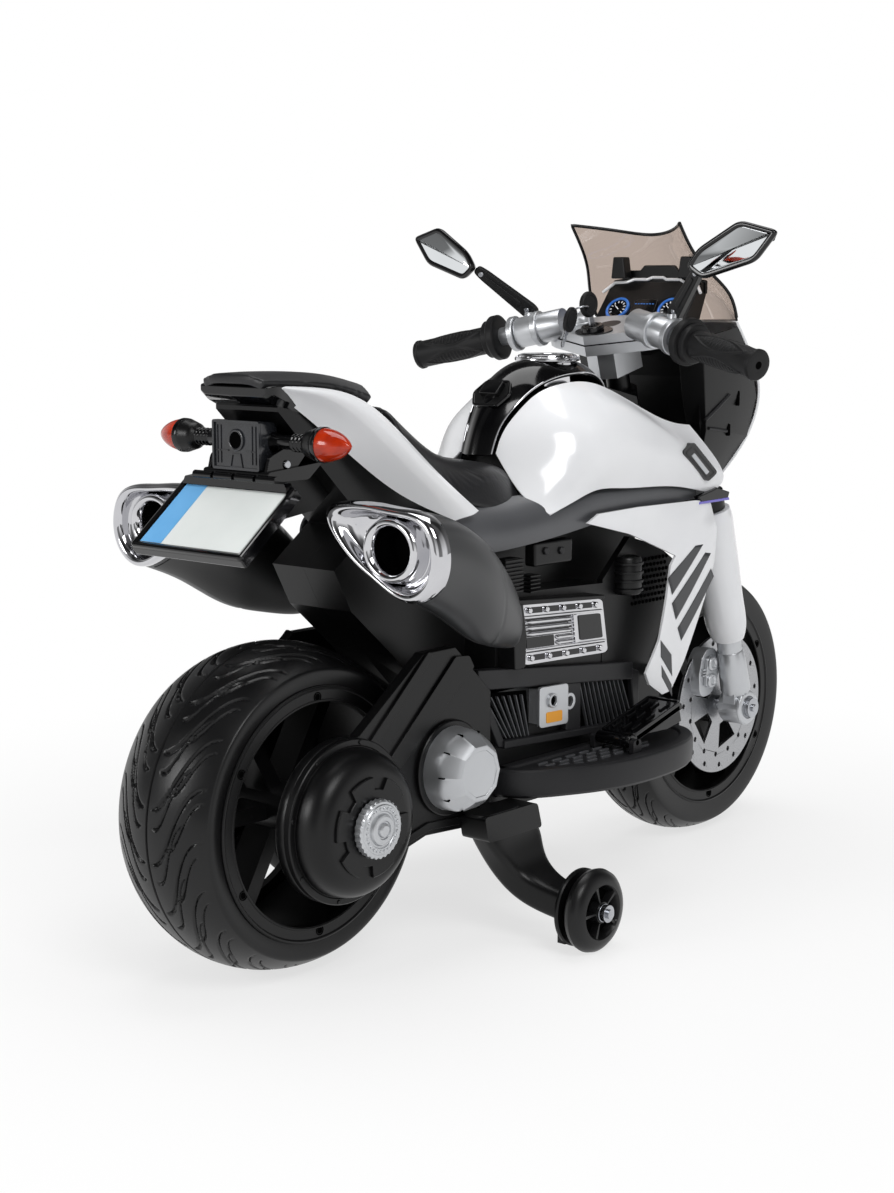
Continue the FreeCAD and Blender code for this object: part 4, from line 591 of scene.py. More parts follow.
def rounded(outline: list, radius: float, steps: int = 6, most: float = 0.45) -> list:
    """Outline with its corners rounded: each corner becomes a quadratic curve from a point on the one side to a point
    on the other, with the corner as its control point.

    Args:
        outline: the corners in order.
        radius: how far from the corner the curve starts.
        steps: points per corner.
        most: the largest share of a side that a curve may take.

    Returns:
        The rounded outline as pairs.
    """
    corners = np.array(outline, float)
    before = np.roll(corners, 1, axis=0) - corners
    after = np.roll(corners, -1, axis=0) - corners
    size_before = np.linalg.norm(before, axis=1, keepdims=True)
    size_after = np.linalg.norm(after, axis=1, keepdims=True)
    start = corners + before * np.minimum(radius / size_before, most)
    stop = corners + after * np.minimum(radius / size_after, most)
    share = np.linspace(0, 1, steps).reshape(1, -1, 1)
    bend = (1 - share) ** 2 * start[:, None] + 2 * share * (1 - share) * corners[:, None] + share**2 * stop[:, None]
    return bend.reshape(-1, 2).tolist()


def inset(outline: list, distance: float) -> list:
    """Outline moved inwards: each point goes square to the line between its two neighbours.

    Args:
        outline: the pairs in order, either way round.
        distance: how far in, in millimetres.

    Returns:
        The smaller outline with as many pairs.
    """
    pairs = np.array(outline, float)
    ahead = np.roll(pairs, -1, axis=0) - np.roll(pairs, 1, axis=0)
    length = np.maximum(np.linalg.norm(ahead, axis=1, keepdims=True), TINY)
    left = np.stack([-ahead[:, 1], ahead[:, 0]], axis=1) / length
    after = np.roll(pairs, -1, axis=0)
    turn = np.sign(np.sum(pairs[:, 0] * after[:, 1] - after[:, 0] * pairs[:, 1]))
    return (pairs + left * distance * turn).tolist()


def stepped(outline: list, steps: tuple, origin: Point, across: Array, up: Array, out: Array) -> Array:
    """Rings of an outline, each drawn in by a distance and moved out by a height.

    Args:
        outline: the pairs in order.
        steps: distance and height of each ring.
        origin: where both pairs are nought.
        across: direction of the first number.
        up: direction of the second.
        out: direction of the height.

    Returns:
        A grid of points, one row per ring.
    """
    rings = []
    for distance, height in steps:
        pairs = np.array(inset(outline, distance))
        rings.append(np.array(origin) + pairs[:, :1] * across + pairs[:, 1:] * up + height * out)
    return np.stack(rings)


def ring_frame(outer: list, inner: list, origin: Point, across: Array, up: Array, depth: Array) -> Shape:
    """Flat frame between two outlines of equal count: four loops, near and far, outer and inner, joined in a ring.

    Args:
        outer: outer pairs.
        inner: inner pairs.
        origin: where both pairs are nought.
        across: direction of the first number.
        up: direction of the second.
        depth: how far and where to draw it out.

    Returns:
        The frame.
    """
    loops = np.array([outer, outer, inner, inner], float)
    far = np.array([0, 1, 1, 0.0])[:, None, None]
    points = np.asarray(origin, float) + loops[..., :1] * np.asarray(across) + loops[..., 1:] * np.asarray(up)
    return grid_shape(points + far * np.asarray(depth, float), wrap_rows=True, wrap_columns=True)


def tube(path: Array, radius: float | Array, sides: int = 20, closed: bool = False) -> Shape:
    """Round section carried along a path: at each point a ring square to the path's direction.

    Args:
        path: points of the path.
        radius: one radius, or one per point.
        sides: points round the section.
        closed: the path is a loop.

    Returns:
        The tube.
    """
    path = np.array(path, float)
    if closed:
        ahead = np.roll(path, -1, axis=0) - np.roll(path, 1, axis=0)
    else:
        ahead = np.gradient(path, axis=0)
    ahead /= np.linalg.norm(ahead, axis=1, keepdims=True)
    helper = np.eye(3)[np.abs(ahead).max(axis=0).argmin()]
    side = np.cross(ahead, helper)
    side /= np.linalg.norm(side, axis=1, keepdims=True)
    up = np.cross(side, ahead)
    angle = full_turn(sides)[None, :, None]
    radius = np.broadcast_to(np.asarray(radius, float), (len(path),))[:, None, None]
    rings = path[:, None] + radius * (np.cos(angle) * side[:, None] + np.sin(angle) * up[:, None])
    return grid_shape(rings, wrap_rows=closed, wrap_columns=True, ends=not closed)


def curve(points: list, count: int = 32) -> Array:
    """Smooth open path through a few points."""
    return natural_spline(np.array(points, float), np.linspace(0, 1, count))


def bolt_head(centre: Point, axis: Array, radius: float, height: float, sides: int = 6) -> Shape:
    """Domed bolt head: straight flank, then a low dome to the middle."""
    profile = [(0, radius), (height * 0.7, radius), (height, radius * 0.8), (height, 0)]
    return lathe(profile, centre, axis, sides)


def read_vectors(items: bpy.types.bpy_prop_collection, what: str) -> Array:
    """One vector property of a mesh's points or faces, such as "co" or "normal", as one row each."""
    flat = np.empty(len(items) * 3)
    items.foreach_get(what, flat)
    return flat.reshape(-1, 3)


def lift(points: Array, height: float) -> Array:
    """Grid of points moved along its own normals, worked out from the slopes along both grid directions.

    Args:
        points: the grid.
        height: how far to move, in millimetres.

    Returns:
        The moved grid.
    """
    normal = np.cross(np.gradient(points, axis=0), np.gradient(points, axis=1))
    normal /= np.maximum(np.linalg.norm(normal, axis=2, keepdims=True), TINY)
    return points + normal * height


def round_edges(item: bpy.types.Object, width: float, segments: int, limit: float) -> None:
    """Rounds an object's sharp edges with a bevel.

    Args:
        item: the object.
        width: the bevel's width in millimetres.
        segments: its steps.
        limit: the least angle of an edge that is rounded, in degrees.
    """
    edge = item.modifiers.new("edges", "BEVEL")
    edge.width = width * MM
    edge.segments = segments
    edge.limit_method = "ANGLE"
    edge.angle_limit = math.radians(limit)
    edge.use_clamp_overlap = True
    edge.harden_normals = True


@dataclass
class Piece:
    """One piece of the bike: a shape with a finish that rides on a body, in its finish's slot unless it names one."""

    name: str
    shape: Shape
    finish: Finishes
    body: str = "chassis"
    replaces: tuple[str, ...] = ()
    slot: str = ""
    bevel: float = 0.0
    segments: int = 2
    wall: float = 0.0
    inside: Point | None = None
    angle: float = 35.0
    padded: float = 0.0

    SAME_PLACE = 1e-6
    EDGE_LIMIT = 40.0

    def __post_init__(self) -> None:
        """Takes the finish's slot where none is given."""
        self.slot = self.slot or self.finish.value.slot

    def facing(self, mesh: bpy.types.Mesh) -> float:
        """How far the faces look away from the inside point, by area: below nought if they look inwards."""
        area = np.empty(len(mesh.polygons))
        mesh.polygons.foreach_get("area", area)
        away = read_vectors(mesh.polygons, "center") - np.array(self.inside) * MM
        return float(((away * read_vectors(mesh.polygons, "normal")).sum(axis=1) * area).sum())

    def thicken(self, piece: bpy.types.Object) -> None:
        """Gives a sheet its wall, inwards from its face."""
        shell = piece.modifiers.new("wall", "SOLIDIFY")
        shell.thickness = self.wall * MM
        shell.offset = -1
        shell.use_even_offset = True
        shell.use_quality_normals = True

    def build(self) -> bpy.types.Object:
        """Writes the mesh, closes its seams, turns its faces outwards and dresses it.

        Returns:
            The finished object.
        """
        mesh = bpy.data.meshes.new(self.name)
        faces = self.shape.quads.tolist() + [end.tolist() for end in self.shape.ends]
        mesh.from_pydata((self.shape.points * MM).tolist(), [], faces)
        work = bmesh.new()
        work.from_mesh(mesh)
        bmesh.ops.remove_doubles(work, verts=work.verts, dist=self.SAME_PLACE)
        bmesh.ops.recalc_face_normals(work, faces=work.faces)
        work.to_mesh(mesh)
        if self.inside is not None and self.facing(mesh) < 0:
            bmesh.ops.reverse_faces(work, faces=work.faces)
            work.to_mesh(mesh)
        work.free()
        mesh.materials.append(self.finish.material)
        mesh.shade_smooth()
        mesh.set_sharp_from_angle(angle=math.radians(self.angle))
        piece = bpy.data.objects.new(self.name, mesh)
        bpy.context.scene.collection.objects.link(piece)
        if self.wall:
            self.thicken(piece)
        if self.bevel:
            round_edges(piece, self.bevel, self.segments, self.EDGE_LIMIT)
        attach(piece, self.body)
        if self.replaces:
            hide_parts(*self.replaces)
        log.info("piece %s on %s: %d faces", self.name, self.body, len(mesh.polygons))
        return piece

    def pair(self) -> None:
        """Builds the piece as the right one of a pair, which stands for the node, and its mirror image on the left."""
        x, y, z = self.inside
        replace(self, name=f"{self.name}_right").build()
        left = replace(self, name=f"{self.name}_left", shape=self.shape.mirrored(), inside=(x, -y, z), replaces=())
        left.build()


@dataclass
class FramePaint:
    """Finishes of the CAD nodes that stay in view, with small rounded edges where they are sharp."""

    weld: float = 1e-5
    limit: float = 35.0
    segments: int = 2

    COATS = (
        (Finishes.BLACK_PP, 1.4, ("chassis_right", "chassis_left", "swing_arms", "tail_bracket")),
        (Finishes.BLACK_PP, 0, ("steering_column", "head_tube", "cowl_liner")),
        (Finishes.BLACK_PP, 0, ("battery", "drive_motor", "front_rim", "rear_rim")),
        (Finishes.ZINC, 0, ("rear_axle", "front_axle", "stabiliser_bolts")),
        (Finishes.NYLON, 0, ("drive_gear", "motor_pinion")),
        (Finishes.SILVER, 2.0, ("top_yoke", "handlebars")),
        (Finishes.BRUSHED, 0.5, ("brake_discs",)),
        (Finishes.SILVER, 0, ("fork_legs",)),
        (Finishes.BLACK_PP, 1.0, ("ignition_lock", "dash_panel", "headlamp")),
        (Finishes.GLOSS_ABS, 1.5, ("plate_holder", "drive_switch", "accelerator_pedal")),
        (Finishes.SILVER, 1.0, ("charge_plate",)),
        (Finishes.WHITE_ABS, 1.0, ("lower_fairings",)),
        (Finishes.PLATE_WHITE, 0.4, ("number_plate",)),
    )

    def build(self) -> None:
        """Dresses every node that no piece replaces; a width of nought leaves its edges as they are."""
        for finish, width, names in self.COATS:
            for name in names:
                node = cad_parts[name]
                for place in node.material_slots:
                    place.material = finish.material
                if width:
                    node.modifiers.new("merge", "WELD").merge_threshold = self.weld
                    round_edges(node, width, self.segments, self.limit)
                log.info("node %s dressed in %s", name, finish.value.name)


@dataclass
class Tyre:
    """A tyre with flame-shaped grooves on both sides of a thin middle line, its rim's beads, and dark wells of painted
    shade in the rim's screw holes.
    """

    name: str
    body: str
    x: float
    width: float
    radius: float = 166.0
    bead: float = 128.0
    crown_share: float = 0.33
    trodden: float = 0.93
    back_share: float = 0.8
    groove: float = 3.0
    fall: float = 2.6
    middle_line: float = 1.3
    groups: int = 19
    around: int = 690
    tread: int = 112
    screws: int = 6
    screw_ring: float = 118.4
    face_depth: float = 3.0

    # Start along the run, inner and outer share of the half width, lean, bow and half width of each groove in a group.
    STROKES = ((0, 0.05, 0.92, -84, 13, 4.6), (18, 0.1, 0.7, -62, 12, 3.8), (37, 0.34, 0.9, -50, 9, 3.6))
    WELL = ((-1, 0), (-1, 5), (0.5, 5), (0.5, 4.2), (-0.4, 3.6), (-0.4, 0))
    BEADS = (
        ((0, 128.6), (0.9, 128), (1.4, 126.6), (0.9, 125.4), (0, 124.8)),
        ((0, 115.6), (0.9, 115), (0.9, 113.8), (0, 113.2)),
    )

    def section(self) -> Array:
        """Closed section of (side, radius) pairs: the crown's arc, a rounded shoulder, the wall and the flat back."""
        half = self.width / 2
        drop = half * self.crown_share
        arc = (half**2 + drop**2) / (2 * drop)
        side = np.linspace(-self.trodden, self.trodden, self.tread) * half
        crown = np.stack([side, self.radius - arc + np.sqrt(arc**2 - side**2)], axis=1)
        share = np.linspace(0, 1, 12)[1:, None]
        knee = np.array([half, self.radius - drop + 1.0])
        foot = np.array([half * self.trodden, self.bead])
        wall = (1 - share) ** 2 * crown[-1] + 2 * share * (1 - share) * knee + share**2 * foot
        back = np.array([[half * self.back_share, self.bead - 1.5], [-half * self.back_share, self.bead - 1.5]])
        return np.concatenate([crown, wall, back, wall[::-1] * (-1, 1)])

    def grooves(self, run: Array, side: Array) -> Array:
        """Depth of the tread grooves, from 0 to 1.

        Each groove is a leaning, bowed line from near the middle to near the shoulder: its centre moves along the run
        by lean x share + bow x sin(2 pi share), its half width swells and tapers as the sine of share to the 0.7, and
        the depth falls off smoothly over the last few millimetres to its edge.

        Args:
            run: place along the tread in millimetres.
            side: place across the tread, -1 to 1.

        Returns:
            The depth at each point.
        """
        pitch = 2 * np.pi * self.radius / self.groups
        depth = np.clip(self.middle_line - np.abs(side) * self.width / 2, 0, 1)
        for start, inner, outer, lean, bow, half in self.STROKES:
            share = np.clip((np.abs(side) - inner) / (outer - inner), 0, 1)
            centre = start + lean * share + bow * np.sin(2 * np.pi * share)
            reach = half * np.sin(np.pi * share**0.7)
            off = np.abs((run - centre + pitch / 2) % pitch - pitch / 2)
            fall = np.clip((reach - off) / self.fall, 0, 1)
            depth = np.maximum(depth, fall * fall * (3 - 2 * fall))
        return depth

    def build(self) -> None:
        """Turns the section about the axle, presses the grooves into the tread and adds what shows on the rim."""
        section = self.section()
        angle = full_turn(self.around)
        run, side = np.meshgrid(angle * self.radius, section[:, 0] / (self.width / 2), indexing="ij")
        tread = np.arange(len(section)) < self.tread
        radius = section[:, 1] - self.groove * self.grooves(run, side) * tread
        x = self.x + radius * np.cos(angle)[:, None]
        z = self.radius + radius * np.sin(angle)[:, None]
        shape = grid_of(x, section[:, 0], z, wrap_rows=True, ends=False)
        Piece(f"{self.name}_tread", shape, Finishes.TYRE_PE, self.body, (self.name,), angle=40).build()
        face = self.face_depth - self.width / 2
        # Dark wells in the rim's screw holes: painted shade.
        well = lathe(self.WELL, (self.x, face, self.radius + self.screw_ring), RIGHT, 20)
        wells = well.turned((self.x, 0, self.radius), Y_AXIS, full_turn(self.screws))
        Piece(f"{self.name}_rim_screw_hole_shade", wells.both(), Finishes.HOLLOW_SHADE_AND_SEAM, self.body).build()
        beads = joined([lathe(bead, (self.x, face, self.radius), RIGHT, 160, ring=True) for bead in self.BEADS])
        Piece(f"{self.name}_rim_beads", beads.both(), Finishes.BLACK_PP, self.body).build()


@dataclass
class RearDrive:
    """Hub covers, hub caps and the faceted pivot caps on the rear arms."""

    hub: Point = (-360.0, -100.0, 166.0)
    pivot: Point = (-206.0, -100.0, 192.0)
    facets: int = 10
    notches: int = 6
    screws: int = 8
    knurls: int = 28
    dots: int = 26
    knurl_radius: float = 28.6

    COVER = (
        (0, 0), (0, 82), (6.5, 82), (7.6, 81), (7.6, 75.5), (6.8, 74.8), (6.8, 73.8), (14, 73.4), (19, 72.6),
        (24, 70.8), (28.5, 68), (32, 64.4), (34.6, 60), (36.2, 55), (36.8, 49), (36.8, 0),
    )
    CAP = (
        (39, 25), (41, 27.6), (42, 28.6), (49, 28.6), (50.4, 27), (50.4, 25), (51.6, 24), (51.6, 18.4), (50.6, 17.6),
        (50.6, 16), (53.4, 14.6), (54, 13), (54, 9.4), (52.6, 8.6), (52.6, 7.4), (55, 6.4), (56, 4.6), (56, 0),
    )
    # Height, radius and share of faceting of the pivot cap's rings.
    PIVOT_CAP = (
        (0, 44, 0), (5, 44, 0), (7, 43.4, 0), (22, 42.8, 0.1), (28, 42, 0.9), (40, 34, 1), (43, 31.4, 1),
        (44.6, 29.6, 1), (45, 28, 1), (45, 25, 1), (44.2, 24.4, 1), (44.2, 0, 1),
    )
    BOSS = ((0, 0), (0, 50), (3.6, 50), (5, 48.5), (5, 0))
    # A wide band from the hub cover to the arm's top, a narrow one along its edge and one below.
    BANDS = (
        ((-300, 214), (-282, 204), (-168, 292), (-176, 305), (-197, 307)),
        ((-333, 232), (-324, 226), (-232, 312), (-238, 318)),
        ((-300, 118), (-296, 126), (-240, 140), (-176, 136), (-174, 128), (-238, 132)),
    )

    def cog(self) -> Shape:
        """Raised plate with six notches: its radius drops by a steep step inside each notch's angle."""
        angle = full_turn(288)
        off = np.abs((angle * self.notches / (2 * np.pi) + 0.2) % 1 - 0.5) * 2 * np.pi / self.notches
        radius = 50 - 12 * np.clip((0.2 - off) / 0.03, 0, 1)
        scale = np.array([1, 1, 0.98, 0])[:, None]
        return side_rings(self.hub, radius * scale, np.array([36, 39.2, 40, 40])[:, None], angle)

    def hub_cover(self) -> Shape:
        """Flange and rounded dome turned about the axle, with the notched plate and a ring of small screws on them."""
        x, y, z = self.hub
        screw = bolt_head((x, y - 7.2, z + 78.6), RIGHT, 2.4, 1.6, 14)
        cover = lathe(self.COVER, self.hub, RIGHT, 144)
        return cover + self.cog() + screw.turned(self.hub, Y_AXIS, full_turn(self.screws) + 0.2)

    def hub_cap(self) -> Shape:
        """Knurled cap: the flank's radius ripples as a cosine of the angle, rings are turned into the face, and a ring
        of dots stands on it."""
        x, y, z = self.hub
        profile = np.array(self.CAP)
        angle = full_turn(224)
        flank = (np.abs(profile[:, 1] - self.knurl_radius) < 0.1)[:, None]
        radius = profile[:, 1:] + 0.7 * np.cos(angle * self.knurls) * flank
        dot = bolt_head((x + 21.2, y - 51.2, z), RIGHT, 1.5, 1.4, 10)
        return side_rings(self.hub, radius, profile[:, :1], angle) + dot.turned(self.hub, Y_AXIS, full_turn(self.dots))

    def pivot_cap(self) -> Shape:
        """Ten-sided cap: the radius goes from a circle at the foot to a regular polygon, cos(half)/cos(angle from the
        flat's middle), at the top, and steps in to a flat face."""
        height, radius, faceting = np.array(self.PIVOT_CAP).T[..., None]
        angle = full_turn(self.facets * 12)
        step = 2 * np.pi / self.facets
        flat = np.cos(step / 2) / np.cos(angle % step - step / 2)
        return side_rings(self.pivot, radius * (1 - faceting + faceting * flat), height, angle)

    def slots(self) -> Shape:
        """Short thin dark slots along the cap's flank, one on every facet's edge: painted shade in the grooves."""
        x, y, z = self.pivot
        one = block((x - 0.7, y - 31, z + 38.6), (x + 0.7, y - 14, z + 42.5))
        return one.turned(self.pivot, Y_AXIS, full_turn(self.facets) + math.pi / 2)

    def arm_panels(self) -> Shape:
        """Raised bands along the arm, and a boss round the pivot."""
        bands = [side_slab(rounded(band, 3, 4), self.hub[1] + 0.5, 3.6) for band in self.BANDS]
        return joined(bands) + lathe(self.BOSS, self.pivot, RIGHT, 96)

    def build(self) -> None:
        """Builds the drive's outer pieces on both sides."""
        covers, caps = self.hub_cover().both(), (self.hub_cap() + self.pivot_cap()).both()
        Piece("hub_cover_domes", covers, Finishes.BLACK_PP, replaces=("hub_covers",), bevel=0.5).build()
        Piece("silver_hub_and_pivot_caps", caps, Finishes.SILVER, replaces=("silver_caps",), angle=20).build()
        # The dark slots are painted shade in the cap's grooves.
        Piece("pivot_cap_slots", self.slots().both(), Finishes.HOLLOW_SHADE_AND_SEAM).build()
        Piece("swing_arm_panels", self.arm_panels().both(), Finishes.BLACK_PP, bevel=2.2, segments=3).build()


@dataclass
class BodyPanels:
    """The smooth shells: tank, console, mid panels, seat, tail fairings, pad and lower fairings."""

    wall: float = 3.0
    sink: float = 1.0
    swell: float = 5.0
    voxel: float = 2.6
    pressure: float = 4.0
    frames: int = 20
    held_below: float = 0.3

    TANK = (
        ((-41, -101, 440), (-51, -81, 452), (-51, -61, 467), (-48, -43, 484), (-43, -25, 501)),
        ((0, -103, 451), (-8, -98, 472), (-16, -82, 492), (-24, -58, 511), (-31, -27, 526)),
        ((35, -105, 460), (28, -111, 484), (16, -100, 512), (0, -70, 535), (-13, -33, 547)),
        ((80, -107, 459), (74, -114, 487), (62, -109, 518), (38, -80, 549), (13, -42, 567)),
        ((125, -108, 457), (122, -116, 485), (112, -112, 514), (87, -86, 551), (62, -47, 576)),
        ((165, -109, 455), (166, -117, 478), (160, -115, 503), (143, -99, 531), (114, -56, 568)),
        ((203, -110, 450), (209, -117, 466), (207, -118, 484), (192, -113, 503), (168, -88, 535)),
        ((247, -111, 441), (262, -114, 449), (268, -115, 462), (246, -112, 490), (212, -104, 523)),
    )
    CONSOLE = (
        ((-45, -22, 499), (-52, -12, 499), (-56, 0, 499)),
        ((-33, -24, 528), (-41, -13, 528), (-46, 0, 528)),
        ((-15, -30, 550), (-26, -16, 552), (-31, 0, 553)),
        ((11, -38, 570), (-2, -21, 575), (-8, 0, 577)),
        ((46, -42, 581), (34, -23, 593), (28, 0, 597)),
        ((84, -43, 584), (81, -24, 597), (80, 0, 601)),
        ((116, -46, 577), (122, -26, 588), (125, 0, 592)),
        ((128, -46, 560), (136, -26, 570), (139, 0, 573)),
        ((130, -44, 530), (138, -25, 538), (141, 0, 540)),
    )
    MID = (
        ((-228, -86, 405), (-228, -92, 422), (-228, -84, 440), (-228, -74, 448)),
        ((-140, -94, 406), (-140, -100, 424), (-140, -86, 446), (-140, -72, 454)),
        ((-60, -98, 411), (-60, -102, 430), (-60, -84, 451), (-60, -66, 459)),
        ((20, -100, 420), (20, -102.5, 438), (20, -97, 455), (20, -88, 463)),
        ((100, -101, 430), (100, -102.5, 444), (100, -99, 458), (100, -92, 464)),
        ((170, -102, 434), (170, -103, 446), (170, -100, 457), (170, -94, 462)),
        ((228, -104, 436), (228, -104.5, 442), (228, -102, 448), (228, -98, 451)),
    )
    SEAT = (
        ((-40, -58, 457), (-45, -40, 485), (-52, 0, 492)),
        ((-78, -76, 448), (-82, -52, 489), (-84, 0, 495)),
        ((-125, -79, 453), (-118, -53, 492), (-112, 0, 499)),
        ((-165, -73, 469), (-155, -48, 503), (-146, 0, 513)),
        ((-198, -64, 501), (-190, -42, 527), (-182, 0, 535)),
        ((-228, -56, 537), (-224, -36, 556), (-220, 0, 562)),
    )
    TAIL = (
        ((-186, -92, 445), (-177, -97, 448), (-166, -99, 450), (-155, -97, 453)),
        ((-243, -70, 474), (-231, -81, 482), (-215, -89, 490), (-202, -81, 496)),
        ((-300, -55, 516), (-284, -68, 527), (-266, -78, 537), (-251, -69, 543)),
        ((-353, -47, 556), (-339, -56, 566), (-323, -65, 574), (-306, -57, 578)),
        ((-395, -44, 583), (-392, -48, 585), (-388, -50, 586.5), (-384, -48, 587.5)),
    )
    TAIL_PAD = (
        ((-262, -50, 573), (-254, -30, 583), (-250, 0, 586)),
        ((-300, -51, 584), (-298, -32, 593), (-296, 0, 596)),
        ((-350, -48, 591), (-350, -30, 598), (-350, 0, 600)),
        ((-406, -44, 594), (-409, -27, 599), (-410, 0, 600)),
    )
    FAIRING = (
        ((0, -109, 205), (0, -112, 290), (0, -111, 370), (0, -109, 450)),
        ((90, -114, 205), (90, -118, 290), (90, -117, 370), (90, -112, 450)),
        ((180, -117, 205), (180, -121, 290), (180, -120, 370), (180, -114, 450)),
        ((270, -114, 205), (270, -118, 290), (270, -118, 370), (270, -114, 450)),
    )
    BARS = (
        ((150, 352), (206, 384), (222, 384), (158, 332)),
        ((158, 322), (226, 374), (238, 372), (166, 302)),
        ((170, 292), (238, 354), (244, 344), (178, 276)),
        ((138, 282), (160, 262), (164, 236), (140, 262)),
        ((142, 252), (164, 226), (166, 212), (144, 238)),
    )
    SHELLS = (
        ("tank_cover", TANK, Finishes.WHITE_ABS, "tank_covers", (80, -20, 470)),
        ("tail_fairing", TAIL, Finishes.WHITE_ABS, "tail_fairings", (-280, -10, 520)),
        ("mid_panel", MID, Finishes.GRAPHITE_ABS, "mid_panels", (0, 0, 430)),
    )
    # Points of the fairing's sheet, its length, its lowest height and how tall it is.
    SHEET = (61, 50)
    FAIRING_LONG, FAIRING_LOW, FAIRING_TALL = 270, 205, 245

    def cushion(self, name: str, rows: tuple, node: str, wall: float) -> None:
        """Builds a pad over the full width: the rows' sheet, a little sunk so that it can swell, with a wall below it.

        Args:
            name: the piece's name.
            rows: rows of points on the right half.
            node: the CAD node that it stands for.
            wall: the pad's depth.
        """
        top = spline_sheet(whole_rows(rows), 72, 72)
        sunk = min((lift(top, side * self.sink) for side in (-1, 1)), key=lambda sheet: sheet[..., 2].mean())
        piece = Piece(
            name, grid_shape(sunk), Finishes.SEAT_LEATHER, replaces=(node,), wall=wall, bevel=min(wall * 0.4, 3.0),
            segments=4, inside=tuple(top.mean(axis=(0, 1)) - (0, 0, 200)), padded=0.9,
        ).build()
        self.stuff(piece)

    def stuff(self, piece: bpy.types.Object) -> None:
        """Swells a pad by a cloth simulation.

        The closed pad is remeshed in voxels and held by its underside, and pressure blows it up for twenty frames; no
        point keeps more than the swell.

        Args:
            piece: the pad.
        """
        rough = piece.modifiers.new("voxels", "REMESH")
        rough.mode = "VOXEL"
        rough.voxel_size = self.voxel * MM
        mesh = bpy.data.meshes.new_from_object(piece.evaluated_get(bpy.context.evaluated_depsgraph_get()))
        piece.modifiers.clear()
        piece.data = mesh
        rest, normal = read_vectors(mesh.vertices, "co"), read_vectors(mesh.vertices, "normal")
        held = piece.vertex_groups.new(name="held")
        held.add(np.nonzero(normal[:, 2] < self.held_below)[0].tolist(), 1.0, "REPLACE")
        cloth = piece.modifiers.new("swell", "CLOTH")
        cloth.settings.use_pressure = True
        cloth.settings.uniform_pressure_force = self.pressure
        cloth.settings.effector_weights.gravity = 0
        cloth.settings.vertex_group_mass = "held"
        for step in range(1, self.frames + 1):
            bpy.context.scene.frame_set(step)
        full = read_vectors(piece.evaluated_get(bpy.context.evaluated_depsgraph_get()).data.vertices, "co")
        piece.modifiers.clear()
        piece.vertex_groups.clear()
        bpy.context.scene.frame_set(1)
        move = full - rest
        length = np.maximum(np.linalg.norm(move, axis=1, keepdims=True), TINY)
        place = rest + move * np.minimum(length, self.swell * MM) / length
        mesh.vertices.foreach_set("co", place.ravel())
        mesh.shade_smooth()
        fine = piece.modifiers.new("fine", "SUBSURF")
        fine.levels = fine.render_levels = 1
        log.info("%s swelled by up to %.1f mm", piece.name, min(length.max() / MM, self.swell))

    def fairing_side(self, x: Array, z: Array) -> Array:
        """Side face of the lower fairing: the spline sheet read at (x, z), because its rows are even in both.

        Args:
            x: forward places.
            z: heights.

        Returns:
            The y of each point.
        """
        sheet = spline_sheet(self.FAIRING, *self.SHEET)[:, :, 1]
        rows, columns = self.SHEET[0] - 1, self.SHEET[1] - 1
        row = np.clip(x / self.FAIRING_LONG * rows, 0, rows - 0.01)
        column = np.clip((z - self.FAIRING_LOW) / self.FAIRING_TALL * columns, 0, columns - 0.01)
        i, j = row.astype(int), column.astype(int)
        a, b = row - i, column - j
        near = sheet[i, j] * (1 - b) + sheet[i, j + 1] * b
        far = sheet[i + 1, j] * (1 - b) + sheet[i + 1, j + 1] * b
        return near * (1 - a) + far * a

    def patch(self, corners: tuple, height: float = 0.5, count: int = 14) -> Shape:
        """Four-cornered film that lies on the fairing: corners are blended bilinearly in (x, z), and y is read there.

        Args:
            corners: four (x, z) pairs in order.
            height: how far it stands off.
            count: points along each side.

        Returns:
            The sheet.
        """
        share = np.linspace(0, 1, count)
        x, z = np.moveaxis(bilinear(corners, *np.meshgrid(share, share, indexing="ij")), -1, 0)
        return grid_of(x, self.fairing_side(x, z) - height, z, wrap_columns=False, ends=False)

    def nose(self) -> None:
        """Builds a bare black badge on each side of the tank's nose with a plain silver bar, and the dark lamp wedge
        with its violet edge below."""
        badge = side_slab(rounded([(177, 494), (199, 505), (250, 466), (229, 456)], 6), -108, 11)
        outline = rounded([(183, 493), (198, 500), (244, 466), (229, 460)], 4)
        raised = ring_frame(outline, inset(outline, 1.2), (0, -118.4, 0), X_AXIS, Z_AXIS, (0, -1.2, 0))
        bar = side_slab(rounded([(194, 489), (200, 492), (231, 468), (225, 465)], 1.5), -118.4, 1.6)
        wedge = side_slab([(214, 440), (246, 446), (252, 448), (279, 441), (276, 434), (222, 432)], -109, 8)
        strip = side_slab([(216, 431), (278, 431.5), (277, 434.6), (218, 434)], -109.4, 8)
        Piece("badge_blanks", (badge + raised).both(), Finishes.GLOSS_ABS, bevel=0.7, segments=3).build()
        Piece("badge_bars", bar.both(), Finishes.SILVER, bevel=0.4).build()
        Piece("nose_lamp_wedges", wedge.both(), Finishes.GLOSS_ABS, bevel=1.2).build()
        Piece("nose_lamp_strips", strip.both(), Finishes.VIOLET_PMMA, bevel=0.6).build()

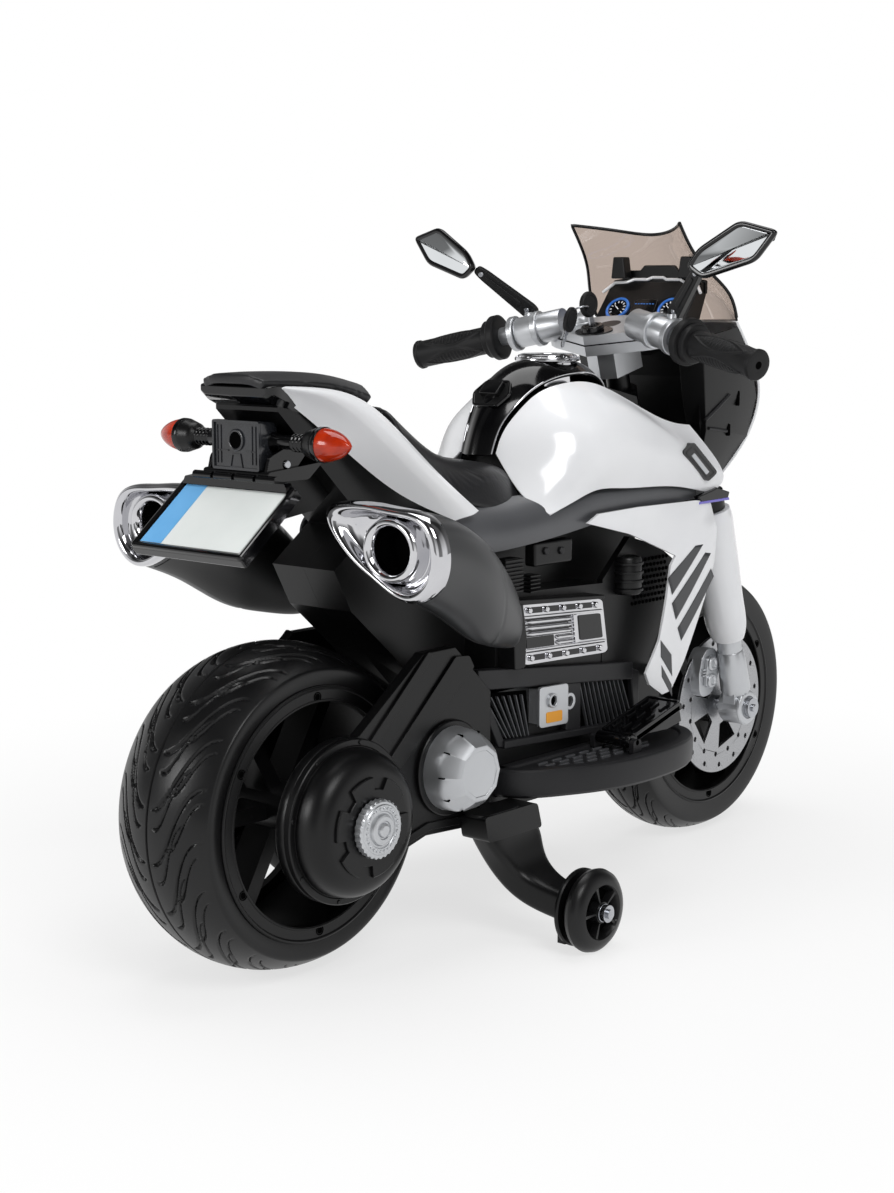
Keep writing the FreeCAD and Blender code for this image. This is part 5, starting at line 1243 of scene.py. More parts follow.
    def build(self) -> None:
        """Builds all the shells, the pads, the generic grey bars on the lower fairings and the nose."""
        for name, rows, finish, node, inside in self.SHELLS:
            shape = grid_shape(spline_sheet(rows))
            Piece(name, shape, finish, replaces=(node,), wall=self.wall, bevel=0.9, inside=inside).pair()
        console = grid_shape(spline_sheet(whole_rows(self.CONSOLE), 64, 48))
        Piece(
            "console_shell", console, Finishes.GLOSS_ABS, replaces=("tank_console",), wall=self.wall, bevel=0.8,
            inside=(60, 0, 480),
        ).build()
        self.cushion("seat_cushion", self.SEAT, "seat", 6)
        self.cushion("tail_pad_cushion", self.TAIL_PAD, "tail_pad", 10)
        film = joined([self.patch(bar) for bar in self.BARS])
        Piece("fairing_film", film, Finishes.VINYL, wall=0.3, inside=(180, 0, 320)).pair()
        self.nose()


@dataclass
class EngineBay:
    """Plated engine covers with ribs and studs, and what shows round them in the frame's openings."""

    back: float = 88.0
    face: float = 106.0
    floor: float = 105.5
    rib: float = 2.6

    CORNERS = ((-102, 283), (58, 277), (46, 340), (-106, 350))

    def plate(self, outline: list, low: float, high: float) -> Shape:
        """Slab on the cover between two distances from the bike's middle plane.

        Args:
            outline: (a, b) shares of the length from the rear and of the height, in order.
            low: inner distance.
            high: outer distance.

        Returns:
            The slab.
        """
        return side_slab(bilinear(self.CORNERS, *np.array(outline).T), -low, high - low)

    def panel(self, low: Pair, high: Pair, inner: float, outer: float) -> Shape:
        """Four-cornered plate between two pairs of shares."""
        (a, b), (c, d) = low, high
        return self.plate([(a, b), (c, b), (c, d), (a, d)], inner, outer)

    def bar(self, start: float, stop: float, height: float) -> Shape:
        """Round rib along the cover at one height, thinner at its ends."""
        share = np.linspace(0, 1, 10)
        x, z = bilinear(self.CORNERS, start + (stop - start) * share, np.full(10, height)).T
        swell = self.rib * np.clip(np.sin(np.pi * np.clip(share, 0.02, 0.98)) * 4, 0.3, 1)
        return tube(np.stack([x, np.full(10, -self.face - 1), z], axis=1), swell, 14)

    def stud(self, a: float, b: float) -> Shape:
        """Small domed stud."""
        x, z = bilinear(self.CORNERS, a, b)
        return bolt_head((x, -self.face, z), RIGHT, 3.4, 4.0, 16)

    def plated(self) -> Shape:
        """The cover's plated plate with its bands, divider, ribs and studs."""
        parts = [self.plate(rounded([(0.05, 0), (1, 0), (1, 1), (0.05, 1)], 0.09), self.back, self.face)]
        parts += [self.panel((0.08, b), (0.97, b + 0.04), 105, 108.5) for b in (0.22, 0.76)]
        parts += [self.panel((0.62, 0.26), (0.66, 0.76), 105, 109)]
        parts += [self.bar(0.1, 0.61, b) for b in (0.5, 0.6, 0.7)]
        parts += [self.bar(0.42, 0.61, b) for b in (0.31, 0.4)]
        parts += [self.stud(a, b) for a in (0.14, 0.33, 0.52, 0.71, 0.9) for b in (0.11, 0.89)]
        return joined(parts)

    def dark(self) -> Shape:
        """The cover's black insets: a field, a panel, gaps between the ribs, lines and slots between the studs."""
        parts = [
            self.panel((0.1, 0.27), (0.4, 0.45), self.floor, 107),
            self.plate(rounded([(0.69, 0.29), (0.95, 0.29), (0.95, 0.73), (0.69, 0.73)], 0.03), self.floor, 107),
        ]
        parts += [self.panel((0.1, b), (0.61, b + 0.035), self.floor, 106.5) for b in (0.455, 0.535, 0.635, 0.725)]
        parts += [self.panel((0.08, b), (0.97, b + 0.02), self.floor, 106.6) for b in (0.195, 0.785)]
        parts += [
            self.panel((a, b - 0.05), (a + 0.12, b + 0.05), self.floor, 106.4)
            for a in (0.175, 0.365, 0.555, 0.745) for b in (0.11, 0.89)
        ]
        return joined(parts)

    def bay(self) -> None:
        """Builds the finned stacks, bolts and perforations above and in front of the cover; the perforations are dark
        discs of painted shade.
        """
        rise = [(0, 0, 4.2 * k) for k in range(9)]
        fins = block((-111, -97, 360), (-81, -80, 362.4)).copied(rise) + block((-108, -94, 360), (-84, -80, 397))
        small = block((-69, -97, 357), (-52, -80, 359)).copied(rise[:5])
        Piece("cylinder_fins", (fins + small).both(), Finishes.BLACK_PP, bevel=0.5).build()
        bolts = bolt_head((-42, -95, 400), RIGHT, 4.5, 3) + bolt_head((-15, -95, 398), RIGHT, 4.5, 3)
        Piece("housing_bolts", bolts.both(), Finishes.FRAME_PP, bevel=0.4).build()
        housing = block((-60, -95, 384), (6, -80, 410))
        Piece("cylinder_housing", housing.both(), Finishes.BLACK_PP, bevel=3, segments=3).build()
        barrel = lathe([(0, 0), (0, 15), (3, 17), (40, 17), (43, 15), (43, 0)], (110, -92, 336), Z_AXIS, 48)
        ring = lathe([(0, 15), (0, 19), (3, 19), (3, 15)], (110, -92, 340), Z_AXIS, 48, ring=True)
        drums = barrel + ring.copied([(0, 0, 10 * k) for k in range(4)])
        Piece("front_drums", drums.both(), Finishes.BLACK_PP, bevel=0.6).build()
        # Dark discs in the grille's holes: painted shade.
        spots = [(126 + 7 * i + 3.5 * (j % 2), -88.2, 322 + 7 * j) for j in range(8) for i in range(10)]
        hole = lathe([(0, 2.2), (0.5, 2.2), (0.5, 0)], (0, 0, 0), RIGHT, 10)
        Piece("grille_perforations", hole.copied(spots).both(), Finishes.HOLLOW_SHADE_AND_SEAM).build()

    def build(self) -> None:
        """Builds both covers and the bay round them."""
        plated, dark = self.plated().both(), self.dark().both()
        Piece(
            "engine_cover_plates", plated, Finishes.PLATED, replaces=("engine_covers",), bevel=1.2, segments=3
        ).build()
        Piece("engine_cover_insets", dark, Finishes.GLOSS_ABS, bevel=0.3).build()
        edge = rounded([(-0.06, -0.04), (0.05, -0.02), (0.075, 0.5), (0.05, 1.02), (-0.06, 1.04)], 0.03)
        lip = self.plate([(0.0, 0.99), (1.0, 0.99), (1.0, 1.06), (0.0, 1.08)], self.back, 110)
        frames = self.plate(edge, self.back, 111) + lip
        Piece("engine_cover_frames", frames.both(), Finishes.BLACK_PP, bevel=1.5).build()
        self.bay()


@dataclass
class SillVents:
    """Slanted fins between ledge, post and rail low on the frame's side, and the charging socket's plate."""

    inner: float = 86.0
    fin: float = 0.8
    fin_depth: float = 6.5

    # Ledge, post, lower rail, slanted rear bar and front bar that frame the vents, each with its depth.
    RAILS = (
        (12, ((-156, 264), (116, 237), (116, 257), (-156, 286))),
        (10, ((-4, 196), (22, 193), (22, 252), (-4, 255))),
        (12, ((-112, 194), (136, 180), (136, 188), (-112, 203))),
        (9, ((-118, 196), (-106, 196), (-146, 268), (-158, 268))),
        (9, ((124, 184), (133, 184), (133, 244), (116, 250))),
    )
    HOLLOWS = (
        ((-104, 202), (-60, 198), (-66, 250), (-146, 258)),
        ((24, 192), (128, 184), (128, 238), (24, 248)),
    )
    COLLAR = ((0, 8.0), (5.6, 8.0), (6.4, 7.2), (6.4, 5.6), (5, 5), (0, 5))

    def fins(self, corners: list, count: int, lean: float) -> Shape:
        """Row of thin slanted fins in a four-cornered opening.

        Each fin is a narrow slab whose foot and top are read along the opening's lower and upper edges.

        Args:
            corners: (x, z) of the opening: lower rear, lower front, upper front, upper rear.
            count: how many fins.
            lean: how far the top leans backwards.

        Returns:
            The fins.
        """
        low_rear, low_front, high_front, high_rear = (np.array(corner, float) for corner in corners)
        fins, side = [], np.array([self.fin, 0])
        for share in (np.arange(count) + 0.5) / count:
            foot = low_rear + (low_front - low_rear) * share
            top = high_rear + (high_front - high_rear) * share - (lean, 0)
            fins.append(side_slab([foot - side, foot + side, top + side, top - side], -self.inner, self.fin_depth))
        return joined(fins)

    def socket(self) -> Shape:
        """Rounded silver plate with a turned collar round the socket, and a ring lug at its side."""
        plate = side_slab(rounded([(-61, 209), (-11, 207), (-11, 252), (-61, 254)], 5), -100, 4)
        collar = lathe(self.COLLAR, (-40, -101, 237), RIGHT, 48, ring=True)
        lug = lathe([(0, 9.5), (3.5, 9.5), (3.5, 5.6), (0, 5.6)], (-7, -100, 231), RIGHT, 40, ring=True)
        return plate + collar + lug

    def build(self) -> None:
        """Builds the sill's details on both sides, and the socket on the right."""
        rear = self.fins([(-106, 204), (-62, 200), (-70, 247), (-142, 254)], 7, 2)
        front = self.fins([(36, 194), (128, 187), (112, 238), (26, 247)], 11, 6)
        fins = (rear + front).both()
        # The fins are black plastic drawn in graphite grey: the lighter tone is painted highlight on their thin edges.
        Piece("sill_vent_fins", fins, Finishes.GRAPHITE_ABS, slot="black_plastic", bevel=0.35).build()
        # Dark slabs behind the fins: painted shade inside the vents.
        hollows = joined([side_slab(outline, -self.inner, 3) for outline in self.HOLLOWS])
        Piece("sill_vent_hollows", hollows.both(), Finishes.HOLLOW_SHADE_AND_SEAM).build()
        # The rails' lighter charcoal is painted highlight for the bright edge round the vents.
        rails = joined([side_slab(outline, -self.inner, depth) for depth, outline in self.RAILS])
        Piece("sill_rails", rails.both(), Finishes.FRAME_PP, bevel=1.6, segments=3).build()
        Piece("socket_plate", self.socket(), Finishes.SILVER, bevel=0.8, segments=3).build()
        # Dark disc in the socket: painted shade.
        Piece("socket_bore", lathe(plug(5.2, 0.6), (-40, -104.0, 237), RIGHT, 40), Finishes.HOLLOW_SHADE_AND_SEAM).build()
        label = side_slab(rounded([(-50, 213), (-22, 212), (-22, 224), (-50, 225)], 2.5), -104, 0.5)
        Piece("socket_bare_tab", label, Finishes.AMBER_PVC, bevel=0.15).build()


@dataclass
class Footrests:
    """Footboards with a sunken tread and raised grip dashes, and the pad on the pedal."""

    top: float = 175.0
    under: float = 143.0
    pivot: Point = (40.0, -108.0, 185.0)
    pedal_length: float = 98.0
    pedal_width: float = 46.0
    pedal_tilt: float = 15.0
    dash_pitch: float = 24.0

    EDGE = (
        (-125, -86), (-122, -108), (-108, -128), (-76, -148), (-30, -168), (20, -178), (70, -178), (118, -171),
        (156, -155), (182, -130), (190, -106), (190, -86),
    )
    # Rows of dashes: y, first x and count.
    DASHES = ((-146, -52, 6), (-136, -64, 7), (-126, -76, 7), (-116, -76, 7))

    def board(self) -> Shape:
        """Board with rounded edges and a sunken tread: rings of its smooth outline, drawn in by a distance at each
        height, from the underside over the side and the rim down into the tread."""
        low, top = self.under, self.top
        steps = (
            (8, low), (3, low + 1), (0.6, low + 4), (0, low + 8), (0, top - 6), (0.8, top - 2.4), (2.6, top - 0.6),
            (5, top), (14, top), (15, top - 0.6), (16, top - 3),
        )
        rings = stepped(curve(self.EDGE, 90), steps, (0, 0, 0), X_AXIS, Y_AXIS, Z_AXIS)
        return grid_shape(rings, wrap_columns=True, ends=True)

    def lugs(self) -> Shape:
        """Two hinge lugs and the pin below the pedal."""
        x, y, z = self.pivot
        lug = slab(rounded([(-8, -14), (8, -14), (7, 3), (-7, 3)], 4), (x, y + 7, z), X_AXIS, Z_AXIS, (0, -6, 0))
        return lug.copied([(0, 0, 0), (0, -54, 0)]) + lathe(plug(3, 60), (x, y + 7, z), RIGHT, 24)

    def pedal_pads(self) -> Shape:
        """Three by three grip bars and a rounded border on the pedal's sloping face, over a wedge-shaped skirt."""
        tilt = math.radians(self.pedal_tilt)
        ahead = np.array([math.cos(tilt), 0, math.sin(tilt)])
        up = np.array([-math.sin(tilt), 0, math.cos(tilt)])
        origin = np.array(self.pivot) + up * 2.6
        long, wide = self.pedal_length, self.pedal_width
        outline = rounded([(4, 0), (long, 0), (long, wide), (4, wide)], 5)
        plate = slab(outline, origin - up * 6, ahead, RIGHT, up * 9)
        border = ring_frame(outline, inset(outline, 3.0), origin + up * 2, ahead, RIGHT, up * 2.6)
        bar = slab(rounded([(0, 0), (17, 0), (17, 4), (0, 4)], 1.6), origin + up * 2.6, ahead, RIGHT, up * 2.6)
        spots = [ahead * (14 + 27 * i) + RIGHT * (8 + 13 * j) for i in range(3) for j in range(3)]
        skirt = [(4, -6), (long, -6), (long, -22), (70, -20), (30, -8)]
        return plate + border + bar.copied(spots) + slab(skirt, origin + RIGHT * 4, ahead, up, RIGHT * (wide - 8))

    def build(self) -> None:
        """Builds both boards with their dashes and the pedal's pad."""
        boards = self.board().both() + self.lugs()
        Piece("footboard_shells", boards, Finishes.FRAME_PP, replaces=("footboards",), angle=30).build()
        outline = rounded([(0, 0), (16, 0), (16, 4), (0, 4)], 1.8)
        dash = slab(outline, (0, 0, self.top - 4), X_AXIS, Y_AXIS, (0, 0, 3.4))
        dashes = dash.copied([(x + self.dash_pitch * k, y, 0) for y, x, count in self.DASHES for k in range(count)])
        # The dashes are black plastic drawn in graphite grey: the lighter tone is painted highlight on the raised
        # dashes.
        Piece("footboard_grip_dashes", dashes.both(), Finishes.GRAPHITE_ABS, slot="black_plastic", bevel=0.6).build()
        Piece("pedal_pad", self.pedal_pads(), Finishes.GLOSS_ABS, "pedal", bevel=0.9, segments=3).build()


@dataclass
class Stabilisers:
    """Five-spoked stabiliser wheels with zinc washers on bent arms with guard discs."""

    x: float = -118.0
    y: float = 223.0
    radius: float = 44.0
    guard: float = 203.0
    spokes: int = 5
    squareness: float = 0.45
    sunk: float = 8.0

    # Centre, half width and half thickness of the arm's rings.
    ARM = (
        ((-159, -118, 142), (31, 0, 0), (0, -17, 0)),
        ((-148, -118, 128), (38, 0, 0), (0, -17, 0)),
        ((-136, -119, 112), (41, 0, 2), (0, -17, 0)),
        ((-129, -127, 88), (33, 0, 4), (0, -16, 6)),
        ((-125, -146, 64), (25, 0, 3), (0, -8, 14)),
        ((-122, -172, 51), (21, 0, 1), (0, -2, 16)),
        ((-119, -204, 44), (19, 0, 0), (0, 0, 16)),
    )
    GUARD = ((0, 0), (0, 41), (2.6, 41), (4, 39.6), (4, 33), (2.8, 32), (2.8, 18), (4, 17), (4, 0))
    # Place along the axle, radius and share of the sinking between the spokes.
    WHEEL = (
        (-12, 8, 0), (-12, 28, 0), (-11.4, 33, 0), (-9, 38.6, 0), (-5, 42.6, 0), (0, 44, 0), (5, 42.6, 0), (9, 38.6, 0),
        (11.4, 33, 0), (12, 29, 0), (11, 28, 0), (10.6, 27, 0.3), (10.6, 24, 1), (10.6, 18, 1), (10.6, 13, 1),
        (11, 11.6, 0.2), (12, 11, 0), (12, 0, 0),
    )

    def arm(self) -> Shape:
        """Bent arm: rounded-square rings on a smooth path; each ring is its centre plus the signed root of cosine times
        one half axis and of sine times the other, and all three are splines through the rows."""
        run = curve(np.array(self.ARM).reshape(len(self.ARM), 9), 64).reshape(-1, 3, 3)
        turn = np.stack([np.cos(full_turn(56)), np.sin(full_turn(56))])
        wide, tall = (np.sign(turn) * np.abs(turn) ** self.squareness)[:, None, :, None]
        return grid_shape(run[:, :1] + wide * run[:, 1:2] + tall * run[:, 2:3], wrap_columns=True, ends=True)

    def arm_trim(self) -> Shape:
        """Clamp band round the arm's root, the guard disc and its foot tab."""
        band = side_slab(rounded([(-184, 113), (-96, 113), (-104, 141), (-190, 141)], 5), -100.4, 36)
        guard = lathe(self.GUARD, (self.x, -self.guard, self.radius), RIGHT, 96)
        return band + guard + block((self.x - 26, -206, 10), (self.x - 12, -196, 30))

    def wheel(self) -> Shape:
        """Wheel turned from a rounded section: its face is sunk between five spokes by a smooth step of the cosine of
        five half-turns."""
        angle = full_turn(200)
        along, radius, share = np.array(self.WHEEL).T[..., None]
        spoke = np.clip((np.abs(np.cos(self.spokes / 2 * angle)) - 0.2) / 0.1, 0, 1)
        return side_rings((self.x, -self.y, self.radius), radius, along - self.sunk * share * spoke, angle)

    def petals(self) -> Shape:
        """Dark floors of the five openings between the spokes, as rounded patches of painted shade."""
        half = math.pi / self.spokes - 0.16
        span = np.linspace(-half, half, 9)
        arc = np.stack([np.sin(span), np.cos(span)], axis=1)
        outline = np.concatenate([26 * arc, 13 * arc[::-1]])
        one = slab(outline, (self.x, -self.y - 2.4, self.radius), X_AXIS, Z_AXIS, (0, -0.6, 0))
        return one.turned((self.x, 0, self.radius), Y_AXIS, full_turn(self.spokes) + math.pi / 2)

    def build(self) -> None:
        """Builds both arms, wheels and washers."""
        arms = (self.arm() + self.arm_trim()).both()
        Piece("stabiliser_bent_arms", arms, Finishes.BLACK_PP, replaces=("stabiliser_arms",), angle=30).build()
        hub = (self.x, -self.y - 12.2, self.radius)
        washer = lathe([(0, 5), (0, 9.6), (1.4, 9.6), (1.4, 5)], hub, RIGHT, 40, ring=True)
        parts = (self.wheel(), self.petals(), washer)
        for side in ("right", "left"):
            tyre, floor, disc = parts if side == "right" else (part.mirrored() for part in parts)
            body = f"stabiliser_{side}"
            Piece(
                f"stabiliser_tyre_{side}", tyre, Finishes.TYRE_PE, body, (f"stabiliser_wheel_{side}",), "black_plastic",
                angle=30,
            ).build()
            # Dark floors between the spokes: painted shade.
            Piece(f"stabiliser_openings_{side}", floor, Finishes.HOLLOW_SHADE_AND_SEAM, body).build()
            Piece(f"stabiliser_washer_{side}", disc, Finishes.ZINC, body, bevel=0.3).build()


@dataclass
class Exhausts:
    """Silencers with wide plated mouths and a black guard below."""

    count: int = 120
    bore: float = 25.5
    seam: float = -236.0
    seam_width: float = 2.0
    seam_depth: float = 0.012
    guard_scale: float = 1.02
    guard_from: float = 0.66

    TIP = (
        (-85, 470), (-122, 481), (-174, 478), (-218, 468), (-231, 443), (-222, 405), (-200, 391), (-150, 407),
        (-106, 436),
    )
    CENTRE = (-168.0, 438.0)
    # Place, y and z of the centre, and the outline's width and height in percent.
    BODY = (
        (-358, -168, 438, 100, 100), (-312, -164, 424, 90, 112), (-260, -162, 398, 74, 120),
        (-210, -156, 371, 55, 95), (-176, -149, 349, 38, 60), (-160, -144, 336, 18, 28),
    )
    # Place, scale and share of the circle of each of the mouth's rings.
    MOUTH = (
        (-352, 1.0, 0), (-358, 1.012, 0), (-364, 1.0, 0), (-369, 0.95, 0), (-370, 0.9, 0), (-369, 0.85, 0),
        (-362, 0.79, 0.1), (-356, 0.74, 0.4), (-353, 0.7, 0.8), (-355, 0.67, 1), (-363, 0.63, 1), (-368, 0.58, 1),
        (-369, 0.52, 1), (-366, 0.46, 1), (-360, 0.42, 1), (-352, 0.4, 1), (-330, 0.39, 1),
    )
    MOUTH_HALF = (56, 50)
    # Weights that make the mouth's shares count like its millimetres when its spline is spaced.
    EVEN = np.array([1, 60, 60])

    def outline(self) -> Array:
        """The mouth's rounded triangle about its centre."""
        return closed_spline(np.array(self.TIP) - self.CENTRE, self.count)

    def loft(self, places: Array, loop: Array, scale: float, groove: float) -> tuple[Array, Array, Array]:
        """Outlines carried along the body: centre and both widths are splines along x.

        Args:
            places: where along the body, from 0 to 1.
            loop: the outline's pairs about its centre.
            scale: how far the outline is held off, as a share.
            groove: depth of the fine seam, as a share.

        Returns:
            The x, y and z of the rings.
        """
        x, y, z, wide, tall = natural_spline(np.array(self.BODY), places).T[..., None]
        grow = scale - groove * np.exp(-(((x - self.seam) / self.seam_width) ** 2))
        return x, y + loop[:, 0] * (wide / 100) * grow, z + loop[:, 1] * (tall / 100) * grow

    def silencer(self) -> Shape:
        """Body with a fine seam groove, open at the mouth."""
        shape = grid_of(*self.loft(np.linspace(0, 1, 90), self.outline(), 1, self.seam_depth))
        return Shape(shape.points, shape.quads, shape.ends[1:])

    def guard(self) -> Shape:
        """Black guard under the silencer: the inner, lower part of the same outlines, held a little off it."""
        loop = self.outline()[int(self.count * self.guard_from) :]
        rings = self.loft(np.linspace(0.02, 0.97, 60), loop, self.guard_scale, 0)
        return grid_of(*rings, wrap_columns=False, ends=False)

    def mouth(self) -> Shape:
        """Plated mouth: rings that go from the rounded triangle over a bead into a dish, blending to an oval about the
        pipe, up over a second bead and into the bore."""
        fine = natural_spline(np.array(self.MOUTH) * self.EVEN, np.linspace(0, 1, 72)) / self.EVEN
        loop = self.outline()
        angle = np.arctan2(loop[:, 1], loop[:, 0])
        oval = np.stack([np.cos(angle), np.sin(angle)], axis=1) * self.MOUTH_HALF
        x, scale, share = fine.T[..., None]
        blend = np.clip(share, 0, 1)[..., None]
        y, z = np.moveaxis(scale[..., None] * ((1 - blend) * loop + blend * oval), -1, 0)
        return grid_of(x, y + self.CENTRE[0], z + self.CENTRE[1], ends=False)

    def build(self) -> None:
        """Builds both silencers."""
        Piece("silencer_bodies", self.silencer().both(), Finishes.SILENCER_ABS, replaces=("exhausts",)).build()
        Piece("silencer_mouths", self.mouth().both(), Finishes.PLATED, replaces=("exhaust_tips",), angle=60).build()
        inside = (-260, -172, 430)
        Piece("silencer_guard", self.guard(), Finishes.BLACK_PP, wall=0.9, bevel=0.4, inside=inside).pair()
        # Dark plug inside the pipe: painted shade in the bore.
        bore = lathe(plug(self.bore, -1), (-334, *self.CENTRE), X_AXIS, 64)
        Piece("silencer_bores", bore.both(), Finishes.HOLLOW_SHADE_AND_SEAM).build()


@dataclass
class TailEnd:
    """Tail lamp, indicators, bracket and the bare plate."""

    lamp_face: float = -402.0
    lamp_middle: float = 530.0
    lamp_wide: float = 33.0
    lamp_tall: float = 24.0
    lamp_corner: float = 3.0
    bore_height: float = 535.0
    stalk: Point = (-381.0, 0.0, 534.0)
    lens: float = 16.2
    plate_top: Point = (-397.0, 0.0, 492.0)
    plate_length: float = 96.0
    plate_width: float = 156.0
    border: float = 8.0
    band: float = 30.0

    DOWN = np.array([-0.772, 0, -0.636])
    OUT = np.array([-0.636, 0, 0.772])
    CUP_ROOT = ((28, 0), (28, 9.5), (34, 8.5), (38, 7), (58, 7))
    CUP_END = ((82, 9.5), (88, 13.5), (93, 16.4), (97, 17.2), (99.5, 17.2), (100, 16.4), (98, 15.8), (98, 0))
    BORE_RING = ((-0.5, 8.2), (1.6, 8.2), (2.0, 8.8), (2.0, 10.2), (1.6, 10.8), (-0.5, 10.8))
    # Outer and inner corners of the keystone on the lamp's face.
    KEYSTONE = (((-9, -22), (9, -22), (6, -8), (-6, -8)), ((-7.6, -20.6), (7.6, -20.6), (5, -9.4), (-5, -9.4)))
    CHEEK = ((-404, 498), (-372, 498), (-350, 520), (-342, 548), (-356, 554), (-372, 530), (-398, 520))
    # Place, half width, top and bottom of the underside's rings, and the shares of width and height round a ring.
    UNDER = (
        (-406, 46, 587, 578), (-402, 49, 588, 575), (-384, 49, 588, 565), (-357, 46, 587, 550), (-325, 44, 583, 532),
        (-290, 42, 576, 512),
    )
    UNDER_RING = (
        (-1, 1), (-0.5, 1), (0, 1), (0.5, 1), (1, 1), (1, 0.4), (0.86, 0), (0, 0), (-0.86, 0), (-1, 0.4),
    )

    def indicator(self) -> Shape:
        """Pointed lens: rings that shrink along a curve to a point outwards."""
        share = np.linspace(0, 1, 28)
        profile = np.stack([98 + 36 * share, self.lens * np.clip(1 - share**2, 0, 1) ** 0.8], axis=1)
        return lathe([(94, 0), (94, 15.6), *profile], self.stalk, RIGHT, 64)

    def cup(self) -> Shape:
        """Black cup behind the lens with a ribbed neck: the neck's radius ripples as a cosine along the stalk."""
        run = np.linspace(60, 80, 60)
        neck = np.stack([run, 8.0 + 0.9 * np.cos(run * 2 * np.pi / 5)], axis=1)
        return lathe([*self.CUP_ROOT, *neck, *self.CUP_END], self.stalk, RIGHT, 56)

    def lamp_relief(self) -> Shape:
        """Moulded relief on the lamp's face: a border, a ring round the bore, a keystone and side ribs."""
        face, origin = self.lamp_face, (self.lamp_face + 0.5, 0.0, self.lamp_middle)
        box = rounded(rectangle(self.lamp_wide, self.lamp_tall), self.lamp_corner)
        edge = ring_frame(box, inset(box, 2.6), origin, Y_AXIS, Z_AXIS, (-2.3, 0, 0))
        ring = lathe(self.BORE_RING, (face, 0, self.bore_height), -X_AXIS, 56, ring=True)
        keystone = ring_frame(*self.KEYSTONE, origin, Y_AXIS, Z_AXIS, (-1.6, 0, 0))
        rib = block((face - 1, -27.5, 512), (face + 1, -26.3, 549)).copied([(0, 0, 0), (0, 5, 0)])
        shelf = block((face - 1, -28, 524), (face + 1, -11, 525.2))
        return edge + ring + keystone + (rib + shelf).both()

    def lamp_housing(self) -> Shape:
        """Lamp box: rounded rings that widen from its back to its face."""
        full, high = self.lamp_wide, self.lamp_tall
        steps = ((-372, 26, high - 4), (-376, 28, high - 2), (-398, full, high), (self.lamp_face, full, high))
        rings = []
        for x, wide, tall in steps:
            pairs = np.array(rounded(rectangle(wide, tall), self.lamp_corner)) + (0, self.lamp_middle)
            rings.append(np.column_stack([np.full(len(pairs), x), pairs]))
        return grid_shape(np.stack(rings), wrap_columns=True, ends=True)

    def bracket(self) -> Shape:
        """Hinge strip above the plate, side cheeks behind the lamp and the dark shelf that carries them."""
        outline = rounded([(-74, -3), (74, -3), (70, 5), (-70, 5)], 2)
        strip = slab(outline, (-398, 0, 493), Y_AXIS, Z_AXIS, (-9, 0, -1))
        knuckle = lathe(plug(4.2, 26), (-404, -58, 499), Y_AXIS, 24)
        barrel = knuckle.copied([(0, 30 * k, 0) for k in range(4)])
        shelf = side_slab(rounded([(-404, 496), (-350, 496), (-330, 512), (-404, 506)], 3), -46, -92)
        return strip + barrel + side_slab(rounded(self.CHEEK, 4), -42, -4).both() + shelf

    def plate_frame(self) -> Shape:
        """Bevelled frame round the plate: rings from the back edge over a sloped face down to the sheet."""
        wide, tall, deep = self.plate_width / 2, self.plate_length, self.border
        outer = rounded([(-wide, 0), (wide, 0), (wide, tall), (-wide, tall)], 5)
        steps = ((0, -0.5), (0, 2.6), (0.8, 3.6), (2.4, 4.0), (deep - 1.2, 2.2), (deep - 0.4, 1.6), (deep - 0.4, -0.5))
        rings = stepped(outer, steps, self.plate_top, Y_AXIS, self.DOWN, self.OUT)
        return grid_shape(rings, wrap_rows=True, wrap_columns=True)

    def plate_band(self) -> Shape:
        """Blue band along the plate's left end."""
        half, long = self.plate_width / 2 - self.border, self.plate_length - 2 * self.border
        corner = np.array(self.plate_top) + self.DOWN * self.border + self.OUT * 1.6
        outline = [(half - self.band, 0), (half, 0), (half, long), (half - self.band, long)]
        return slab(outline, corner, Y_AXIS, self.DOWN, self.OUT * 0.3)

    def underside(self) -> Shape:
        """Dark body below the tail pad: rings that narrow forwards and downwards between the two white fairings."""
        x, wide, top, low = curve(self.UNDER, 30).T[..., None]
        across, rise = np.array(self.UNDER_RING).T
        return grid_of(x, across * wide, low + rise * (top - low))

    def build(self) -> None:
        """Builds the tail's pieces."""
        lenses, lamp = self.indicator().both(), self.lamp_housing()
        Piece(
            "indicator_lens_mouldings", lenses, Finishes.ORANGE_PMMA, replaces=("indicator_lenses",), angle=50
        ).build()
        Piece("indicator_cups", self.cup().both(), Finishes.GLOSS_ABS, bevel=0.4).build()
        Piece("tail_lamp_housing", lamp, Finishes.SMOKED_PC, replaces=("tail_lamp",), bevel=1.2).build()
        Piece("tail_lamp_relief", self.lamp_relief(), Finishes.SMOKED_PC, bevel=0.4).build()
        # Dark disc in the lamp's bore: painted shade.
        bore = lathe(plug(8.2, 0.9), (self.lamp_face, 0, self.bore_height), -X_AXIS, 40)
        Piece("tail_lamp_bore", bore, Finishes.HOLLOW_SHADE_AND_SEAM).build()
        Piece("tail_hinge_and_cheeks", self.bracket(), Finishes.GLOSS_ABS, bevel=0.8).build()
        screw = bolt_head((-376, -42, 512), RIGHT, 4.2, 2.4, 24)
        Piece("tail_cheek_screws", screw.both(), Finishes.ZINC, bevel=0.3).build()
        Piece("tail_underside", self.underside(), Finishes.GLOSS_ABS, bevel=1.2).build()
        Piece("plate_bevelled_frame", self.plate_frame(), Finishes.GLOSS_ABS, angle=25).build()
        Piece("plate_blue_band", self.plate_band(), Finishes.PLATE_BLUE).build()


